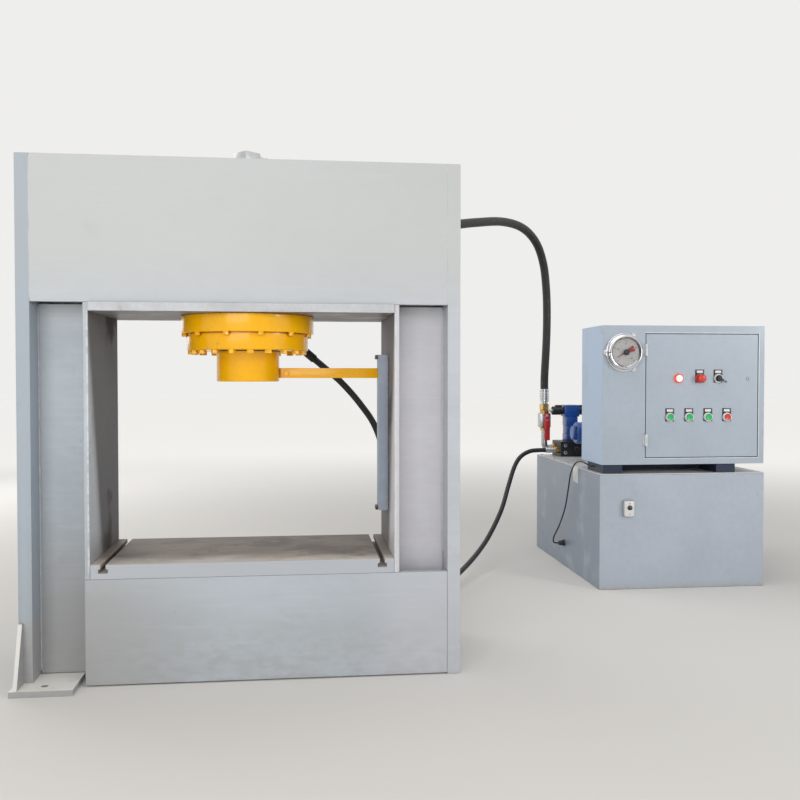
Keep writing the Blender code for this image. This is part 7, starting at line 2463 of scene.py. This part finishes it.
@dataclass
class Operators:
    """The push buttons, lamp, emergency button and selector, with their bezels and blank legend plates."""

    bezel_radius: float = 0.0225
    bezel_reach: float = 0.014
    bore: float = 0.0168
    legend_half: float = 0.023
    legend_above: float = 0.044
    legend_below: float = 0.021
    legend_plate: float = 0.002
    field_share: float = 0.66
    field_inset: float = 0.005
    tail_radius: float = 0.011
    tail: float = 0.022
    block_half: float = 0.015
    block_start: float = 0.009
    block_depth: float = 0.042
    travel: float = 0.005
    button_radius: float = 0.016
    button_proud: float = 0.003
    button_dish: float = 0.0014
    lens_radius: float = 0.018
    mushroom_bore: float = 0.0131
    mushroom_stem: float = 0.0125
    mushroom_radius: float = 0.0205
    mushroom_rise: float = 0.014
    mushroom_travel: float = 0.006
    raised: float = 0.012
    selector_place: Pair = (UNIT_LEFT + 0.607, 1.048)
    selector_turn: float = math.radians(28)
    lever_reach: float = 0.0376
    lever_half: float = 0.0043
    boss_radius: float = 0.0138

    def seat(self, node: str) -> Point:
        """The middle of an operator on the door's face, taken from its solid."""
        x, _, z = middle_of(node)
        return (x, CABINET_FACE, z)

    def build_station(self, station: str, place: Point, bore: float, ring: Finish) -> None:
        """One fixed part: legend plate with its blank field, tail, contact block and bezel.

        Args:
            station: The solid's name.
            place: Its middle on the door's face.
            bore: The bezel's inner radius.
            ring: The bezel's finish.
        """
        x, y, z = place
        wide, plate, above = self.legend_half, self.legend_plate, self.legend_above
        shape = Shaper(station + "_fixed")
        shape.block((x - wide, y - plate, z - self.legend_below), (x + wide, y - SKIN, z + above), 0.0008)
        shape.stud(self.tail_radius, 0.001, place, Facing.FRONT, 32, sunk=self.tail)
        start, half = y + self.block_start, self.block_half
        shape.block((x - half, start, z - half), (x + half, start + self.block_depth, z + half), 0.0015)
        shape.stand_for(BLACK_MOULDING, station)
        wide, inset = wide * self.field_share, self.field_inset
        blank = Shaper(station + "_blank_field")
        blank.block(
            (x - wide, y - plate - 0.0003, z + self.bezel_radius + inset),
            (x + wide, y - plate + 0.0002, z + above - inset),
        )
        blank.emit(BLANK_FIELD, "white_plastic", Body.DOOR)
        radius, reach, low = self.bezel_radius, self.bezel_reach, plate - 0.0001
        ring_profile = [
            (bore, low), (radius, low), (radius, low + 0.003), (radius - 0.0012, low + 0.0045),
            (radius - 0.0012, reach - 0.003), (radius - 0.003, reach), (bore + 0.001, reach),
            (bore, reach - 0.001), (bore, low),
        ]
        bezel = Shaper(station + "_bezel").turned(ring_profile, place, Facing.FRONT, 48)
        bezel.emit(ring, "black_plastic", Body.DOOR)

    def build_buttons(self) -> None:
        """The four push buttons: three green and one red, with slightly dished faces."""
        front, back = self.bezel_reach + self.button_proud, self.legend_plate + self.travel + GAP
        radius = self.button_radius
        ring = [
            (0, back), (radius, back), (radius, front - 0.001), (radius - 0.001, front),
            (radius - 0.0025, front - 0.0002), (radius / 2, front - 0.0011), (0, front - self.button_dish),
        ]
        for i in range(1, 5):
            place = self.seat(f"push_button_{i}")
            self.build_station(f"button_station_{i}", place, self.bore, BEZEL_METAL)
            cap = Shaper(f"push_button_{i}_cap").turned(ring, place, Facing.FRONT, 40)
            cap.stand_for(RED_MOULDING if i == 4 else GREEN_MOULDING, f"push_button_{i}")

    def build_lamp(self) -> None:
        """The lit red lamp with its stepped lens, its collar and its contact block."""
        place = self.seat("lamp")
        front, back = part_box("lamp")[0][1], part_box("lamp")[1][1]
        reach, depth = CABINET_FACE - front, back - CABINET_FACE
        tail, radius, lens, step = self.tail_radius, self.bezel_radius, self.lens_radius, self.bezel_reach
        ring = [
            (0, -depth), (tail, -depth), (tail, SKIN), (radius, SKIN), (radius, step * 0.5),
            (lens + 0.0025, step - 0.003), (lens + 0.0005, step - 0.002), (lens, step),
            (lens - 0.003, reach - 0.002), (lens * 0.6, reach - SKIN), (0, reach),
        ]
        finish = LitLens(
            "lit_red_lens", (0.85, 0.05, 0.03), 0.2, mottle=0.05, mottle_scale=30, sag_depth=0.0,
            middle=(place[0], CABINET_FACE - reach, place[2]), radius=0.020,
        )
        shape = Shaper("lit_lamp").turned(ring, place, Facing.FRONT, 48)
        shape.stand_for(finish, "lamp")
        ring = [
            (0.0207, 0.0065), (radius - 0.0003, 0.0072), (radius, 0.0076), (radius - 0.001, 0.0112),
            (0.0190, 0.0126), (0.0186, 0.0110), (0.0207, 0.0065),
        ]
        collar = Shaper("lamp_bezel").turned(ring, place, Facing.FRONT, 48)
        collar.emit(BLACK_MOULDING, "black_plastic", Body.DOOR)

    def build_emergency(self) -> None:
        """The red mushroom button in its red collar."""
        place = self.seat("emergency_button")
        self.build_station("emergency_station", place, self.mushroom_bore, RED_MOULDING)
        reach, back = self.bezel_reach + self.raised, self.legend_plate + self.mushroom_travel + GAP
        stem, wide, top = self.mushroom_stem, self.mushroom_radius, reach + self.mushroom_rise
        ring = [
            (0, back), (stem, back), (stem, reach), (wide - 0.0015, reach), (wide - 0.0002, reach + 0.0015),
            (wide, reach + 0.006), (wide - 0.0015, top - 0.0035), (wide - 0.0055, top - 0.0008),
            (wide - 0.0115, top - 0.0001), (0, top),
        ]
        cap = Shaper("emergency_mushroom").turned(ring, place, Facing.FRONT, 56)
        cap.stand_for(RED_MOULDING, "emergency_button")

    def build_selector(self) -> None:
        """The black selector lever on its round boss, with a white mark."""
        place = (self.selector_place[0], CABINET_FACE, self.selector_place[1])
        self.build_station("selector_station", place, self.bore, BEZEL_METAL)
        front, back = self.bezel_reach + self.raised, self.legend_plate + GAP
        boss, half = self.boss_radius, self.lever_half
        lever = Shaper("selector_lever_bar")
        ring = [(0, back), (boss, back), (boss, front - 0.002), (boss - 0.0013, front), (0, front)]
        lever.turned(ring, place, Facing.FRONT, 40)
        spin = spun(place, self.selector_turn, "Y")
        lever.block((-boss, -front - 0.0054, -half), (self.lever_reach, -front + 0.0055, half), 0.0018, spin)
        lever.stand_for(BLACK_MOULDING, "selector_lever")
        mark = Shaper("selector_lever_mark")
        mark.block((0.018, -front - 0.00565, -0.0008), (0.034, -front - 0.0053, 0.0008), 0.0, spin)
        mark.emit(BLANK_FIELD, "white_plastic", Body.SELECTOR)

    def build(self) -> None:
        """All the operators."""
        self.build_buttons()
        self.build_lamp()
        self.build_emergency()
        self.build_selector()


def main() -> None:
    """Builds the studio and every sub-assembly, in order."""
    studio = Studio()
    studio.add_camera()
    Cords().build()
    assemblies = (
        PressFrame(), Cylinder(), LimitRail(), Fittings(), PumpDrive(), ValveStack(), BallValve(),
        TankGroup(), Cabinet(), ContactGauge(), Operators(),
    )
    for assembly in assemblies:
        assembly.build()
        LOG.info("%s done", type(assembly).__name__)
    studio.build()


if __name__ == "__main__":
    main()
